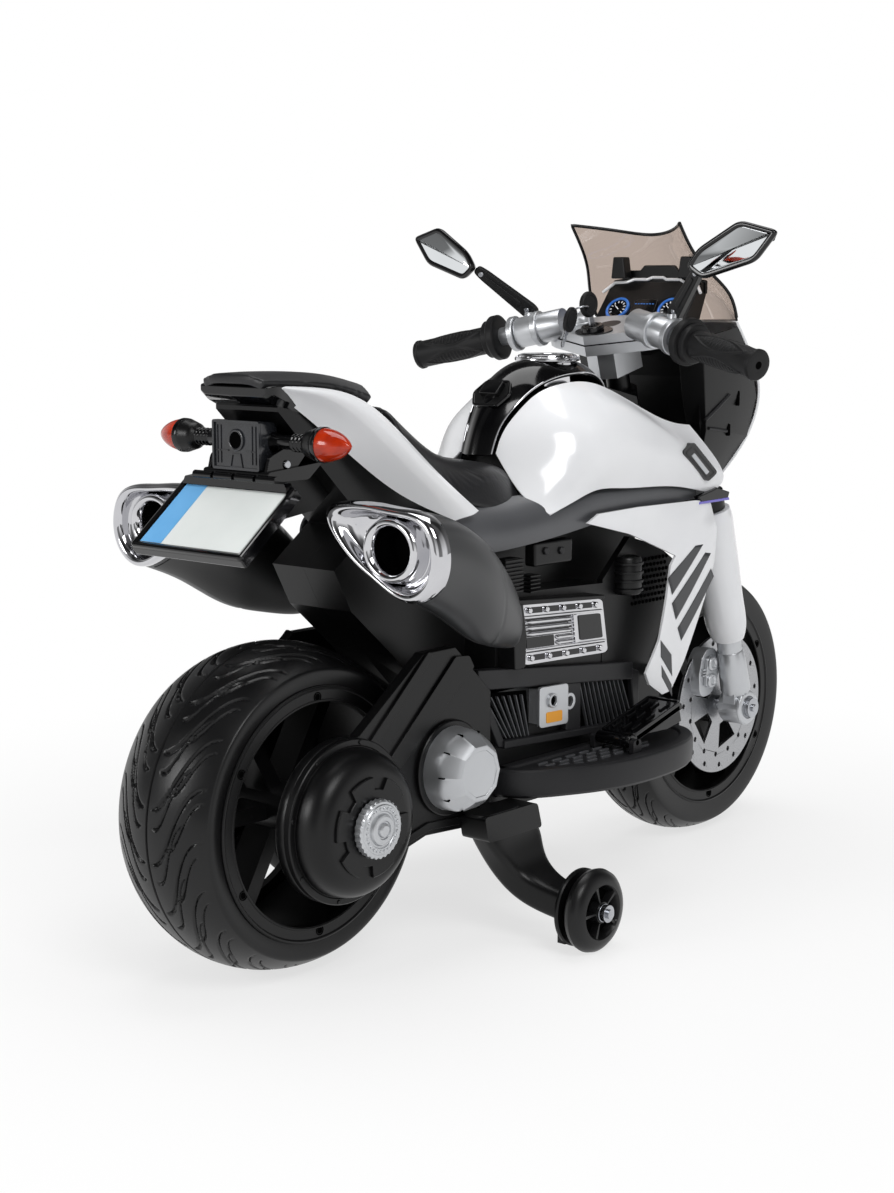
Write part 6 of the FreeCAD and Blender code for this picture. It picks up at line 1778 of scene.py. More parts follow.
@dataclass
class Cowl:
    """Headlamp cowl, windscreen and the liner behind them, all on the steering."""

    body: str = "steering"
    wall: float = 3.0
    sheet: float = 2.0

    SHELL = (
        ((352, -56, 452), (378, -32, 452), (388, 0, 452)),
        ((372, -80, 500), (412, -46, 498), (428, 0, 496)),
        ((384, -88, 548), (424, -50, 546), (440, 0, 544)),
        ((352, -97, 598), (400, -56, 600), (420, 0, 602)),
        ((308, -104, 640), (352, -60, 640), (374, 0, 640)),
    )
    SCREEN = (
        ((308, -104, 640.5), (352, -60, 640.5), (374, 0, 640.5)),
        ((292, -103, 672), (330, -58, 674), (350, 0, 676)),
        ((258, -84, 710), (296, -45, 713), (314, 0, 712)),
        ((222, -79, 753.6), (262, -42, 747.6), (278, 0, 742.6)),
    )
    CHEEK = (
        ((352, -58, 458), (318, -64, 462), (296, -62, 470), (292, -50, 472)),
        ((372, -79, 500), (330, -84, 506), (278, -82, 512), (270, -60, 514)),
        ((380, -86, 548), (330, -92, 548), (266, -88, 552), (258, -60, 554)),
        ((350, -95, 598), (310, -97, 596), (256, -92, 596), (248, -62, 596)),
        ((310, -102, 634), (290, -101, 630), (246, -94, 622), (240, -64, 620)),
    )

    def cheek_slots(self) -> Shape:
        """Two dark upright slots on the liner's side: painted shade."""
        outline = rounded(rectangle(2.4, 9), 2)
        low = slab(outline, (322, -80, 512), X_AXIS, Z_AXIS, (0, -5.6, 0))
        return low + slab(outline, (330, -86, 548), X_AXIS, Z_AXIS, (0, -6.8, 0))

    def cheek_ribs(self) -> Shape:
        """Two rounded stiffening ribs on the liner's side."""
        upper = tube([(272, -84.5, 524), (292, -88, 538), (312, -91.5, 553)], 2.2, 12)
        return upper + tube([(282, -83, 514), (300, -83.5, 512), (318, -84.5, 509)], 2.0, 12)

    def build(self) -> None:
        """Builds the cowl, the screen with its dark edge, and the liner's faceted cheeks."""
        shell = grid_shape(spline_sheet(whole_rows(self.SHELL), 64, 72))
        Piece(
            "cowl_outer", shell, Finishes.WHITE_ABS, self.body, ("cowl_shell",), wall=self.wall, bevel=0.9,
            inside=(250, 0, 550),
        ).build()
        sheet = spline_sheet(whole_rows(self.SCREEN), 56, 72)
        Piece(
            "windscreen_sheet", grid_shape(sheet), Finishes.SMOKED_ACRYLIC, self.body, ("windscreen",), wall=self.sheet,
            inside=(200, 0, 650),
        ).build()
        rim = min((lift(sheet, side) for side in (-1, 1)), key=lambda moved: moved[..., 0].mean())
        edge = np.concatenate([rim[:-1, 0], rim[-1], rim[-2::-1, -1]])
        Piece("windscreen_edge", tube(edge[2:-2], 1.9, 12), Finishes.BLACK_PP, self.body).build()
        cheek = grid_shape(np.array(self.CHEEK))
        Piece(
            "liner_cheek", cheek, Finishes.BLACK_PP, self.body, wall=self.sheet, bevel=1.5, inside=(330, 20, 540),
            angle=12,
        ).pair()
        # The ribs' lighter charcoal is painted highlight on the liner's ridges.
        Piece("liner_cheek_ribs", self.cheek_ribs().both(), Finishes.FRAME_PP, self.body).build()
        # The dark slots are painted shade.
        Piece("liner_cheek_slots", self.cheek_slots().both(), Finishes.HOLLOW_SHADE_AND_SEAM, self.body).build()


@dataclass
class Dash:
    """Instrument panel below the screen: two blue gauge rings, a dark display and a pale zigzag trim."""

    body: str = "steering"
    middle: Point = (262.0, 0.0, 653.6)
    gauge: float = 38.0
    sweep: float = 2.2
    ticks: int = 10

    OUT = np.array([-0.779, 0, 0.628])
    UP = np.array([0.628, 0, 0.779])
    RING = ((0, 12.4), (0, 16), (2.4, 16), (3.2, 15.2), (3.2, 14), (2.6, 12.8))
    FACE = ((0, 0), (0, 12.4), (1.6, 12.4), (1.0, 10), (0.6, 0))
    ZIGZAG = (
        (-72, 24), (-60, 39), (-42, 40), (-34, 44), (-14, 44), (-8, 47), (8, 47), (14, 44), (34, 44), (42, 40),
        (60, 39), (72, 24),
    )
    HOOD = (
        (-68, 672), (68, 672), (68, 688), (54, 690), (46, 700), (28, 700), (22, 706), (-22, 706), (-28, 700),
        (-46, 700), (-54, 690), (-68, 688),
    )

    def raised(self, outline: list, height: float, depth: float) -> Shape:
        """Slab of (left, up) pairs that lies on the panel at a height over it."""
        return slab(outline, np.array(self.middle) + self.OUT * height, Y_AXIS, self.UP, self.OUT * depth)

    def twice(self, shape: Shape) -> Shape:
        """A shape at the panel's middle moved to both gauges."""
        return shape.copied([(0, -self.gauge, 0), (0, self.gauge, 0)])

    def scale(self) -> Shape:
        """Ten ticks and a pointer for one gauge face."""
        tick = self.raised([(-0.6, 8.2), (0.6, 8.2), (0.6, 11), (-0.6, 11)], 1.2, 0.6)
        hand = self.raised([(-0.8, -2), (0.8, -2), (0.3, 8), (-0.3, 8)], 1.2, 0.8)
        dial = tick.turned(self.middle, self.OUT, np.linspace(-self.sweep, self.sweep, self.ticks))
        return dial + hand.turned(self.middle, self.OUT, [0.9])

    def trim_line(self) -> Shape:
        """Pale round line along the zigzag's straight runs."""
        pairs = np.array(self.ZIGZAG)
        path = np.array(self.middle) + pairs[:, :1] * Y_AXIS + pairs[:, 1:] * self.UP + 1.6 * self.OUT
        share = np.linspace(0, len(path) - 1, 100)
        return tube(np.stack([np.interp(share, np.arange(len(path)), part) for part in path.T], axis=1), 1.9, 10)

    def build(self) -> None:
        """Builds the instrument panel and what stands behind it under the screen."""
        ring = lathe(self.RING, self.middle, self.OUT, 64, ring=True)
        face = lathe(self.FACE, self.middle, self.OUT, 48)
        Piece("gauge_rings", self.twice(ring), Finishes.GAUGE_BLUE, self.body, bevel=0.3).build()
        Piece("gauge_faces", self.twice(face), Finishes.GLOSS_ABS, self.body).build()
        Piece("gauge_scales", self.twice(self.scale()), Finishes.WHITE_ABS, self.body).build()
        display = self.raised(rounded([(-19, -12), (19, -12), (16, 14), (-16, 14)], 4), 0, 2.0)
        tick = self.raised([(0, 0), (2.4, 0), (2.4, 1.2), (0, 1.2)], 1.8, 0.5)
        bars = tick.copied([Y_AXIS * (-13 + 4.2 * k) + self.UP * 6 for k in range(7)])
        Piece("dash_display", display, Finishes.GLOSS_ABS, self.body, bevel=0.8).build()
        Piece("dash_display_ticks", bars, Finishes.GAUGE_BLUE, self.body).build()
        Piece("dash_trim_line", self.trim_line(), Finishes.WHITE_ABS, self.body).build()
        hood = slab(self.HOOD, (292, 0, 0), Y_AXIS, Z_AXIS, (5, 0, 0))
        post = slab([(38, 690), (60, 690), (57, 716), (42, 716)], (276, 0, 0), Y_AXIS, Z_AXIS, (14, 0, 0))
        Piece("dash_hood_and_posts", hood + post.both(), Finishes.BLACK_PP, self.body, bevel=1.5).build()


@dataclass
class ConsoleTrim:
    """Filler cap, rocker surround and silver edge lines on the tank's console."""

    cap: Point = (78.0, 0.0, 0.0)
    rocker: Point = (-19.5, 0.0, 564.6)
    studs: int = 14

    OUT = np.array([-0.72, 0, 0.694])
    UP = np.array([0.694, 0, 0.72])
    LID = (
        (570, 0), (570, 30), (596, 30), (598, 37), (601, 37), (602, 36.4), (602, 34), (604.4, 33), (606, 29), (606, 12),
        (605, 11), (605, 0),
    )

    def build(self) -> None:
        """Builds the console's trim."""
        stud = bolt_head((112.4, 0, 600.5), Z_AXIS, 1.7, 2.6, 12).turned(self.cap, Z_AXIS, full_turn(self.studs))
        lid = lathe(self.LID, self.cap, Z_AXIS, 96)
        Piece("filler_cap_lid", lid + stud, Finishes.PLATED, replaces=("filler_cap",), bevel=0.4).build()
        edge = curve([row[0] for row in BodyPanels.CONSOLE], 60) + (-0.6, 0.4, 1.2)
        Piece("console_edge_lines", tube(edge, 1.1, 10).both(), Finishes.PLATED).build()
        six = rounded([(-27, 0), (-17, -19), (17, -19), (27, 0), (17, 19), (-17, 19)], 5)
        foot = np.array(self.rocker) - self.OUT * 2
        ring = ring_frame(six, inset(six, 3.2), foot, Y_AXIS, self.UP, self.OUT * 3.4)
        plate = slab(inset(six, 3.0), foot, Y_AXIS, self.UP, self.OUT * 2.4)
        Piece("rocker_surround", ring, Finishes.GLOSS_ABS, bevel=0.8).build()
        Piece("rocker_plate", plate, Finishes.BLACK_PP, bevel=0.4).build()


@dataclass
class Controls:
    """Grips, keys, and the yoke's trim round the ignition lock."""

    root: Point = (176.0, -52.0, 638.0)
    end: Point = (134.0, -246.0, 597.0)
    grip_length: float = 118.0
    grip_radius: float = 16.4
    leaves: int = 4
    leaf_start: float = 24.0
    leaf_length: float = 80.0
    leaf_half: float = 0.6
    rib_pitch: float = 5.0

    # Place along the grip and radius: ten for the collar and second ring, one for the handle's end, then the end bead.
    GRIP = (
        (0, 22), (0.5, 25), (2, 27), (9, 27), (10.5, 26), (11, 22), (12, 22.5), (18, 22.5), (19, 21.5), (20, 16.6),
        (108, 16.2), (112, 16.4), (113, 17.4), (116, 17.6), (117.6, 16.5), (118, 15), (118, 9), (118, 4), (114, 4),
        (114, 0),
    )
    BAND = ((0, 15), (0, 20.2), (1, 21), (7, 21), (8, 20.2), (8, 15))
    KEY_HEAD = (
        (-3.4, 0), (-2.4, 8), (-2.4, 10), (-3.6, 11), (-3.4, 13.4), (-1.6, 15), (1.6, 15), (3.4, 13.4), (3.6, 11),
        (2.4, 10), (2.4, 8), (3.4, 0),
    )
    LEAF = ((-3, -5), (8, -10), (20, -9), (27, -4), (27, 4), (20, 9), (8, 10), (-3, 5))
    RIM = ((2, -3), (9, -6), (18, -5.6), (22, -2.5), (22, 2.5), (18, 5.6), (9, 6), (2, 3))
    BLADE = ((26, -3), (44, -3), (47, 0), (44, 2.4), (40, 1.2), (36, 2.6), (32, 1.2), (29, 3), (26, 3))
    YOKE_CAP = ((0, 0), (0, 13.4), (5, 13.4), (8, 11.5), (9.6, 7), (10, 0))
    YOKE_STEP = ((0, 0), (0, 16.5), (2, 16.5), (2.6, 15.8), (2.6, 0))
    YOKE_EDGE = ((-82.4, 0.0), (-52.4, -68.2), (-44.2, -80.4))
    LOCK_RIM = ((2, 13.2), (7.4, 13.2), (8, 12.4), (8, 9), (7, 8.4), (2, 8.4))

    @property
    def ahead(self) -> Array:
        """Direction of the right bar, outwards."""
        return unit(np.array(self.end) - self.root)

    def grip(self) -> Shape:
        """Moulded grip along the bar's end.

        The radius is a profile along the bar, a wide collar, a second ring, the handle and an end bead, plus relief:
        four leaves lie round the handle, half as wide as 0.6 sin(pi share) radians, with a ridge along each leaf's edge
        and fine cross ribs inside it.

        Returns:
            The right grip.
        """
        side, up = square_to(self.ahead)
        start = np.array(self.end) - self.ahead * self.grip_length
        pairs = np.array(self.GRIP)
        collar = np.linspace(pairs[:9], pairs[1:10], 5)[:-1].swapaxes(0, 1).reshape(-1, 2)
        handle = np.linspace(pairs[9], pairs[10], 150)
        place, radius = np.concatenate([collar, handle, pairs[11:]]).T[..., None]
        angle = full_turn(128)
        leaf = np.clip((place - self.leaf_start) / self.leaf_length, 0, 1)
        off = np.abs((angle * self.leaves / (2 * np.pi)) % 1 - 0.5) * 2 * np.pi / self.leaves
        edge = (off - self.leaf_half * np.sin(np.pi * leaf)) * self.grip_radius
        ribs = 0.5 * (np.sin(place * 2 * np.pi / self.rib_pitch) > 0) * (edge < -3)
        reach = radius + (1.1 * np.exp(-((edge / 1.3) ** 2)) + ribs) * (leaf > 0) * (leaf < 1)
        spokes = np.cos(angle)[:, None] * side + np.sin(angle)[:, None] * up
        points = start + place[..., None] * self.ahead + reach[..., None] * spokes
        return grid_shape(points, wrap_columns=True, ends=True)

    def bar_trim(self) -> Shape:
        """Raised silver bands on the right sleeve, turned about the bar."""
        places = [np.array(self.root) + self.ahead * run for run in (30, 62)]
        return joined([lathe(self.BAND, place, self.ahead, 64, ring=True) for place in places])

    def key_ring(self) -> Shape:
        """Wire ring through both keys: a circle square to a leaning axis."""
        side, up = square_to(np.array([0, 0.45, 1.0]))
        angle = full_turn(64)[:, None]
        path = np.array([136.0, 0, 654.0]) + 11 * (np.cos(angle) * side + np.sin(angle) * up)
        return tube(path, 1.1, 12, closed=True)

    def spare(self, outline: list, thick: float) -> Shape:
        """Flat part of the hanging spare key, drawn in (along, across) pairs from its ring."""
        down = unit(np.array([-0.42, 0, -0.9]))
        across = np.array([-down[2], 0, down[0]])
        return slab(outline, (124.5, -thick / 2, 654.0), down, across, (0, thick, 0))

    def keys(self) -> None:
        """Builds both keys and their ring on the turning key."""
        head = lathe(self.KEY_HEAD, steer_at(-62, 0, 532), Y_AXIS, 64)
        heads = head + self.spare(rounded(self.LEAF, 5), 4.6) + self.spare(rounded(self.RIM, 3), 6.0)
        Piece("key_heads", heads, Finishes.GRIP_TPR, "key", ("ignition_keys",), "black_plastic", bevel=0.7).build()
        outline = [(-4, 0), (4, 0), (4, 14), (-4, 14)]
        shank = slab(outline, steer_at(-62, -1.2, 506.6), STEER_AHEAD, STEER_UP, (0, 2.4, 0))
        metal = shank + self.spare(self.BLADE, 2.0) + self.key_ring()
        Piece("key_blades_and_ring", metal, Finishes.ZINC, "key", bevel=0.3).build()

    def yoke_trim(self) -> None:
        """Builds the yoke's caps, its seam and the oval plate of the ignition lock."""
        cap = lathe(self.YOKE_CAP, steer_at(-26, -44, 499), STEER_UP, 64)
        step = lathe(self.YOKE_STEP, steer_at(-26, -44, 498.8), STEER_UP, 64)
        Piece("yoke_caps", (cap + step).both(), Finishes.SILVER, "steering", bevel=0.5).build()
        back, bend, side = self.YOKE_EDGE
        run = np.concatenate([np.linspace(back, bend, 12), np.linspace(bend, side, 4)[1:]])
        path = [steer_at(forward, y, 488) for forward, y in run]
        Piece("yoke_seam", tube(path, 0.7, 8).both(), Finishes.HOLLOW_SHADE_AND_SEAM, "steering").build()
        angle = full_turn(64)
        oval = np.stack([16.5 * np.cos(angle), 25 * np.sin(angle)], axis=1)
        plate = slab(oval, steer_at(-60, 0, 498.6), STEER_AHEAD, Y_AXIS, 2.0 * STEER_UP)
        rim = lathe(self.LOCK_RIM, steer_at(-62, 0, 499), STEER_UP, 64, ring=True)
        Piece("ignition_plate", plate + rim, Finishes.GLOSS_ABS, "steering", bevel=0.6).build()

    def build(self) -> None:
        """Builds the grips, keys and trim."""
        right = self.grip()
        Piece("grip_rubber_right", right, Finishes.GRIP_TPR, "throttle", ("grip_right",), angle=40).build()
        # Dark wells in the grips' ends: painted shade in the holes.
        floor = np.array(self.end) + self.ahead * 0.1
        well = lathe([(-0.6, 0), (-0.6, 4.4), (0, 4.4), (0, 0)], floor, self.ahead, 24)
        Piece("grip_well_right", well, Finishes.HOLLOW_SHADE_AND_SEAM, "throttle").build()
        Piece("grip_well_left", well.mirrored(), Finishes.HOLLOW_SHADE_AND_SEAM, "steering").build()
        Piece("grip_rubber_left", right.mirrored(), Finishes.GRIP_TPR, "steering", ("grip_left",), angle=40).build()
        Piece("bar_sleeve_bands", self.bar_trim().both(), Finishes.SILVER, "steering", bevel=0.3).build()
        self.keys()
        self.yoke_trim()


@dataclass
class Mirror:
    """One folding mirror: bevelled six-sided frame, silvered glass and a flat tapered arm."""

    side: str
    border: float = 6.0
    corner: float = 9.0
    face: float = 133.0
    lean: float = 0.12
    middle: float = -205.0
    arm_foot: Point = (178.0, -104.0, 650.0)
    arm_top: Point = (146.0, -158.0, 698.0)

    OUTLINE = ((-152, 702), (-172, 688), (-236, 707), (-262.5, 740), (-216, 752), (-166, 722))
    BACK = ((13, 14), (8, 13), (3, 10), (0.6, 6), (0, 3), (0.4, 1.4), (1.6, 0.4), (3, 0))

    def rings(self, steps: tuple) -> Shape:
        """Closed body of rings on the leaning rear face: the outline drawn in by a distance, moved forwards by a depth.

        Args:
            steps: distance and depth of each ring.

        Returns:
            The body.
        """
        rings = []
        for distance, depth in steps:
            pairs = np.array(inset(rounded(self.OUTLINE, self.corner), distance))
            rings.append(np.column_stack([self.face - (pairs[:, 0] - self.middle) * self.lean + depth, pairs]))
        return grid_shape(np.stack(rings), wrap_columns=True, ends=True)

    def head(self) -> Shape:
        """Frame: rings over a rounded back, a bevelled rim and the sunk seat of the glass."""
        return self.rings((*self.BACK, (self.border, 0.8), (self.border + 0.6, 2.6)))

    def glass(self) -> Shape:
        """Thin plate in the frame's seat."""
        return self.rings(((self.border - 0.2, 2.8), (self.border - 0.2, 1.7), (self.border + 1.0, 1.2)))

    def arm(self) -> tuple[Shape, Shape]:
        """Flat tapered bar between its foot and top with a raised ridge, and its two screws."""
        foot, top = np.array(self.arm_foot), np.array(self.arm_top)
        ahead = unit(top - foot)
        wide = unit(np.cross(ahead, X_AXIS))
        out = unit(np.cross(wide, ahead))
        out = out if out[0] < 0 else -out
        long = float(np.linalg.norm(top - foot))
        lower = [(-6, -7), (2, -9.5), (long - 6, -6.5), (long + 6.5, -4.5)]
        outline = rounded(lower + [(run, -off) for run, off in reversed(lower)], 5)
        bar = slab(outline, foot - out * 4, ahead, wide, out * 8)
        ridge = rounded([(16, -3.4), (long - 12, -2.4), (long - 12, 2.4), (16, 3.4)], 2)
        raised = slab(ridge, foot + out * 3.5, ahead, wide, out * 1.6)
        screws = [bolt_head(foot + ahead * run + out * 3.8, out, 3.2, 1.8, 20) for run in (6.0, long - 3.0)]
        return bar + raised, joined(screws)

    def build(self) -> None:
        """Builds the mirror's pieces on its two moving bodies."""
        parts = (self.head(), self.glass(), *self.arm())
        head, glass, bar, screws = parts if self.side == "right" else (part.mirrored() for part in parts)
        body, arm = f"mirror_head_{self.side}", f"mirror_arm_{self.side}"
        Piece(f"mirror_frame_{self.side}", head, Finishes.GLOSS_ABS, body, (body,), angle=38).build()
        Piece(f"mirror_glass_{self.side}", glass, Finishes.MIRROR, body).build()
        Piece(f"mirror_bar_{self.side}", bar, Finishes.BLACK_PP, arm, (arm,), bevel=1.4, segments=3).build()
        Piece(f"mirror_screws_{self.side}", screws, Finishes.ZINC, arm).build()


@dataclass
class Fork:
    """Front castings: calipers, axle knuckles and the trim of the fork covers."""

    body: str = "steering"
    hub: Point = (360.0, -82.0, 166.0)

    CALIPER = (
        (296, 190), (303, 183), (318, 184), (331, 194), (336, 212), (335, 232), (326, 242), (310, 242), (300, 232),
        (294, 212),
    )
    PISTON = ((0, 0), (0, 9), (5, 9), (6.5, 7.6), (6.5, 5), (5, 4.4), (5, 0))
    EYE = ((-17, 0), (-17, 20), (-14, 22), (12, 22), (15, 20.5), (16, 18), (16, 14), (14.4, 13.4), (14.4, 0))
    FOOT = ((18, 0), (18, 16), (24, 18.5), (60, 17.5), (74, 16.2), (76, 15.2), (76, 0))
    STUD = ((0, 0), (0, 4.6), (3.4, 4.6), (4.2, 3.6), (4.2, 0))
    # Place along the fork, half width and half depth of the cover's rings.
    COVER = (
        (92, 20, 18), (100, 23, 21), (140, 25, 25), (190, 25, 28), (235, 25, 29), (255, 25, 27), (261, 24, 25),
    )

    def calipers(self) -> Shape:
        """Caliper casting: a rounded slab with a bridge, two turned piston caps and ribs between them."""
        casting = side_slab(rounded(self.CALIPER, 5), -48, 20)
        bridge = side_slab(rounded([(303, 196), (327, 200), (328, 230), (306, 232)], 4), -68, 4)
        pistons = lathe(self.PISTON, (0, -69, 0), RIGHT, 48).copied([(315, 0, 224), (314, 0, 203)])
        ribs = block((299, -71, 212.6), (332, -68, 215)).copied([(0, 0, -3.6), (0, 0, 0), (0, 0, 3.6)])
        return casting + bridge + pistons + ribs

    def knuckles(self) -> Shape:
        """Axle knuckle: a turned eye with a stepped ring, on a foot that hugs the leg's end."""
        x, y, z = self.hub
        web = slab([(-21, 2), (-15, 30), (15, 30), (21, 2)], (x, y - 9, z), STEER_AHEAD, STEER_UP, (0, 18, 0))
        return lathe(self.EYE, self.hub, RIGHT, 72) + lathe(self.FOOT, self.hub, STEER_UP, 56) + web

    def nuts(self) -> Shape:
        """Washer, six-sided nut and the axle's end."""
        x, y, z = self.hub
        washer = lathe(plug(12.6, 1.6), (x, y - 14.4, z), RIGHT, 48)
        return washer + bolt_head((x, y - 16, z), RIGHT, 9.4, 5.6) + lathe(self.STUD, (x, y - 21, z), RIGHT, 32)

    def covers(self) -> Shape:
        """Broad fork cover: round below, and above it swells forwards and backwards to a flattened oval.

        Each ring stands square to the fork, with half width and half depth read from splines along it.

        Returns:
            The right cover.
        """
        along, wide, deep = curve(self.COVER, 60).T[..., None, None]
        angle = full_turn(72)[:, None]
        middle = np.array(self.hub) + along * STEER_UP
        rings = middle + deep * np.cos(angle) * STEER_AHEAD + wide * np.sin(angle) * Y_AXIS
        return grid_shape(rings, wrap_columns=True, ends=True)

    def build(self) -> None:
        """Builds the castings and covers on the steering."""
        castings = self.calipers().both()
        Piece(
            "caliper_castings", castings, Finishes.SILVER, self.body, ("brake_calipers",), bevel=1.2, segments=3
        ).build()
        Piece("axle_knuckles", self.knuckles().both(), Finishes.SILVER, self.body, bevel=0.8).build()
        Piece("axle_nuts", self.nuts().both(), Finishes.ZINC, self.body, bevel=0.5).build()
        Piece("fork_cover_shells", self.covers().both(), Finishes.WHITE_ABS, self.body, ("fork_covers",)).build()


@dataclass
class Studio:
    """Pale floor, soft lamps and the camera of the photograph."""

    eye: Point = (-1.7546, -1.4607, 0.6852)
    azimuth: float = -48.66
    elevation: float = 8.70
    focal: float = 2051.2
    height: float = 1193.0
    sensor: float = 36.0
    floor_size: float = 60.0
    world_light: float = 0.42
    ceiling: float = 0.12
    flags: float = 5.0
    flag_dark: float = 0.25
    near: float = 0.5
    far: float = 1.2
    near_white: float = 0.7
    clip: float = 100.0

    # Name, place, target, side in metres and watts.
    LAMPS = (
        ("key_softbox", (-1.2, -2.2, 2.6), (0, 0, 0.35), 1.3, 40),
        ("top_softbox", (0.3, 0.3, 3.0), (0, 0, 0.3), 1.8, 32),
        ("rear_softbox", (-2.6, 0.7, 1.2), (-0.2, 0, 0.3), 0.8, 17),
    )

    def camera(self) -> None:
        """Sets the camera: it looks against the direction that the two angles give, with no roll."""
        turn, rise = math.radians(self.azimuth), math.radians(self.elevation)
        back = Vector((math.sin(turn) * math.cos(rise), -math.cos(turn) * math.cos(rise), math.sin(rise)))
        data = bpy.data.cameras.new("photo_camera")
        data.lens = self.sensor * self.focal / self.height
        data.sensor_width = self.sensor
        data.sensor_fit = "AUTO"
        data.clip_end = self.clip
        camera = bpy.data.objects.new("photo_camera", data)
        camera.location = self.eye
        camera.rotation_euler = (-back).to_track_quat("-Z", "Y").to_euler()
        bpy.context.scene.collection.objects.link(camera)
        bpy.context.scene.camera = camera

    def seen(self, tree: bpy.types.NodeTree) -> bpy.types.NodeSocket:
        """One for camera, glossy and transmission rays, which are shown the white background."""
        rays = add_node(tree, "ShaderNodeLightPath").outputs
        both = add_node(
            tree, "ShaderNodeMath", links={0: rays["Is Camera Ray"], 1: rays["Is Glossy Ray"]}, operation="MAXIMUM"
        )
        every = add_node(
            tree, "ShaderNodeMath", links={0: both.outputs[0], 1: rays["Is Transmission Ray"]}, operation="MAXIMUM"
        )
        return every.outputs[0]

    def floor(self) -> None:
        """Lays the floor: white paper that turns to plain white for the camera away from the bike, so that the soft
        shadows stay and the background is white."""
        half = self.floor_size / 2
        mesh = bpy.data.meshes.new("floor")
        mesh.from_pydata([(-half, -half, 0), (half, -half, 0), (half, half, 0), (-half, half, 0)], [], [(0, 1, 2, 3)])
        material = bpy.data.materials.new("white_paper_sweep")
        material.use_nodes = True
        tree = material.node_tree
        paper = tree.nodes["Principled BSDF"]
        paper.inputs["Base Color"].default_value = linear("#f4f4f4")
        paper.inputs["Roughness"].default_value = 0.9
        paper.inputs["Specular IOR Level"].default_value = 0.1
        plain = add_node(tree, "ShaderNodeEmission", {"Color": (1, 1, 1, 1), "Strength": 1.0})
        place = add_node(tree, "ShaderNodeTexCoord").outputs["Object"]
        away = add_node(tree, "ShaderNodeVectorMath", links={0: place}, operation="LENGTH").outputs["Value"]
        fade = add_node(
            tree,
            "ShaderNodeMapRange",
            {"From Min": self.near, "From Max": self.far, "To Min": self.near_white, "To Max": 1.0},
            {"Value": away},
            interpolation_type="SMOOTHSTEP",
        )
        share = add_node(
            tree, "ShaderNodeMath", links={0: self.seen(tree), 1: fade.outputs["Result"]}, operation="MULTIPLY"
        )
        mixed = add_node(
            tree,
            "ShaderNodeMixShader",
            links={0: share.outputs[0], 1: paper.outputs["BSDF"], 2: plain.outputs["Emission"]},
        )
        tree.links.new(mixed.outputs[0], tree.nodes["Material Output"].inputs["Surface"])
        mesh.materials.append(material)
        floor = bpy.data.objects.new("floor", mesh)
        bpy.context.scene.collection.objects.link(floor)

    def lamp(self, name: str, place: Point, target: Point, size: float, power: float) -> None:
        """Adds a square soft lamp that faces a point.

        Args:
            name: the lamp's name.
            place: where it stands, in metres.
            target: what it faces.
            size: its side in metres.
            power: its watts.
        """
        data = bpy.data.lights.new(name, "AREA")
        data.shape = "SQUARE"
        data.size = size
        data.energy = power
        lamp = bpy.data.objects.new(name, data)
        lamp.location = place
        lamp.rotation_euler = (Vector(target) - Vector(place)).to_track_quat("-Z", "Y").to_euler()
        bpy.context.scene.collection.objects.link(lamp)

    def world(self) -> None:
        """Sets an even sky: plain white to the camera, and to shiny surfaces dark flags between white walls, with a dim
        ceiling."""
        world = bpy.data.worlds.new("studio")
        bpy.context.scene.world = world
        world.use_nodes = True
        tree = world.node_tree
        sky = tree.nodes["Background"]
        sky.inputs["Color"].default_value = (1, 1, 1, 1)
        way = add_node(tree, "ShaderNodeTexCoord").outputs["Generated"]
        part = add_node(tree, "ShaderNodeSeparateXYZ", links={"Vector": way}).outputs
        ceiling = add_node(
            tree,
            "ShaderNodeMapRange",
            {"From Min": 0.1, "From Max": 0.6, "To Min": 1.0, "To Max": self.ceiling},
            {"Value": part["Z"]},
        ).outputs["Result"]
        turn = add_node(tree, "ShaderNodeMath", links={0: part["Y"], 1: part["X"]}, operation="ARCTAN2").outputs[0]
        round_trip = add_node(tree, "ShaderNodeMath", {1: self.flags}, {0: turn}, operation="MULTIPLY").outputs[0]
        wave = add_node(tree, "ShaderNodeMath", links={0: round_trip}, operation="SINE").outputs[0]
        flag = add_node(
            tree,
            "ShaderNodeMapRange",
            {"From Min": -0.5, "From Max": 0.4, "To Min": self.flag_dark, "To Max": 1.0},
            {"Value": wave},
        ).outputs["Result"]
        shown = add_node(tree, "ShaderNodeMath", links={0: ceiling, 1: flag}, operation="MULTIPLY").outputs[0]
        rays = add_node(tree, "ShaderNodeLightPath").outputs
        inner = add_node(
            tree,
            "ShaderNodeMix",
            {"A": self.world_light},
            {"Factor": rays["Is Glossy Ray"], "B": shown},
            data_type="FLOAT",
        ).outputs["Result"]
        either = {0: rays["Is Camera Ray"], 1: rays["Is Transmission Ray"]}
        through = add_node(tree, "ShaderNodeMath", links=either, operation="MAXIMUM").outputs[0]
        strength = add_node(tree, "ShaderNodeMath", links={0: inner, 1: through}, operation="MAXIMUM")
        tree.links.new(strength.outputs[0], sky.inputs["Strength"])

    def build(self) -> None:
        """Sets the whole studio."""
        bpy.context.scene.view_settings.view_transform = "Standard"
        self.camera()
        self.floor()
        self.world()
        for lamp in self.LAMPS:
            self.lamp(*lamp)


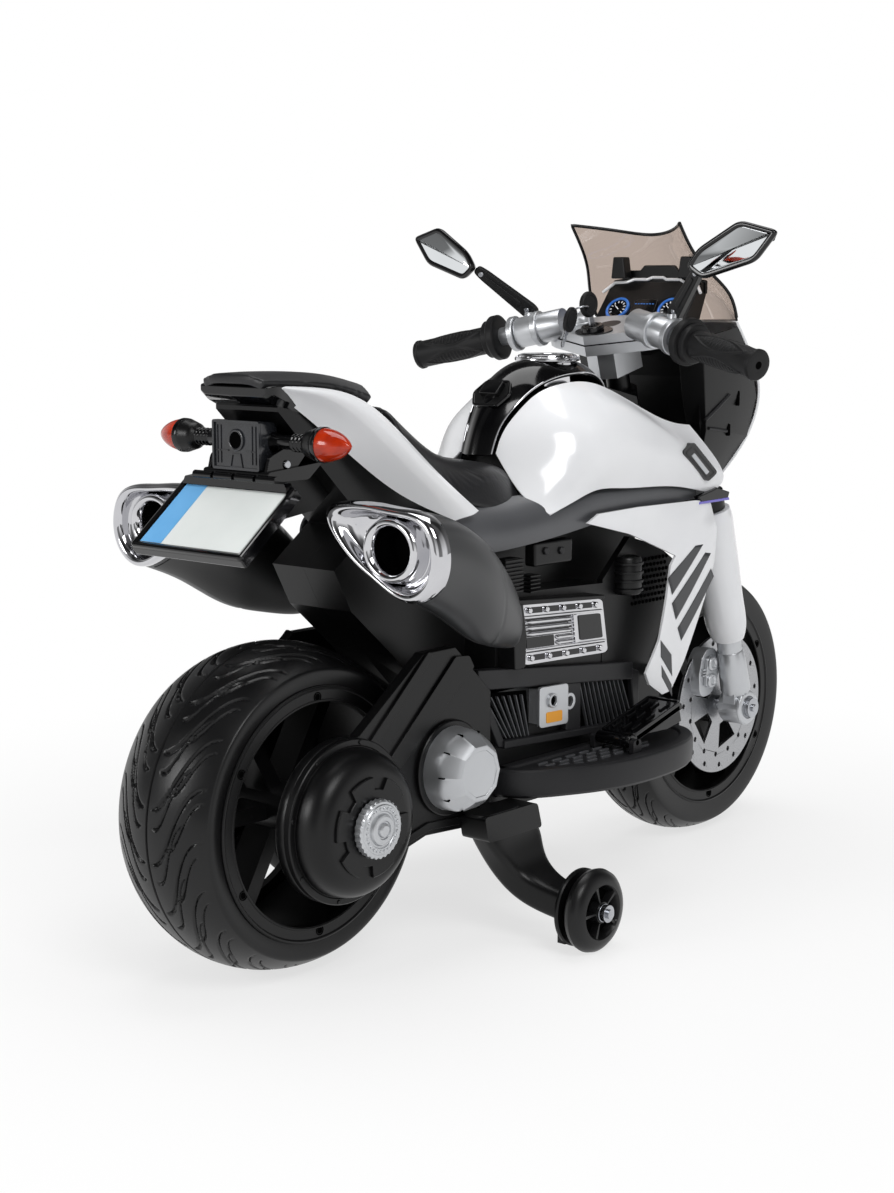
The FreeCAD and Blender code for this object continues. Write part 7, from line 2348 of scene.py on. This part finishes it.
def main() -> None:
    """Builds the studio and then the bike, sub-assembly by sub-assembly."""
    logging.basicConfig(level=logging.INFO, format="%(message)s")
    assemblies = (
        Studio(),
        FramePaint(),
        Tyre("rear_tyre", "rear_wheel", -360.0, 136.0),
        Tyre("front_tyre", "front_wheel", 360.0, 88.0),
        RearDrive(),
        BodyPanels(),
        EngineBay(),
        SillVents(),
        Footrests(),
        Stabilisers(),
        Exhausts(),
        TailEnd(),
        Cowl(),
        Dash(),
        ConsoleTrim(),
        Controls(),
        Mirror("right"),
        Mirror("left"),
        Fork(),
    )
    for assembly in assemblies:
        assembly.build()


if __name__ == "__main__":
    main()
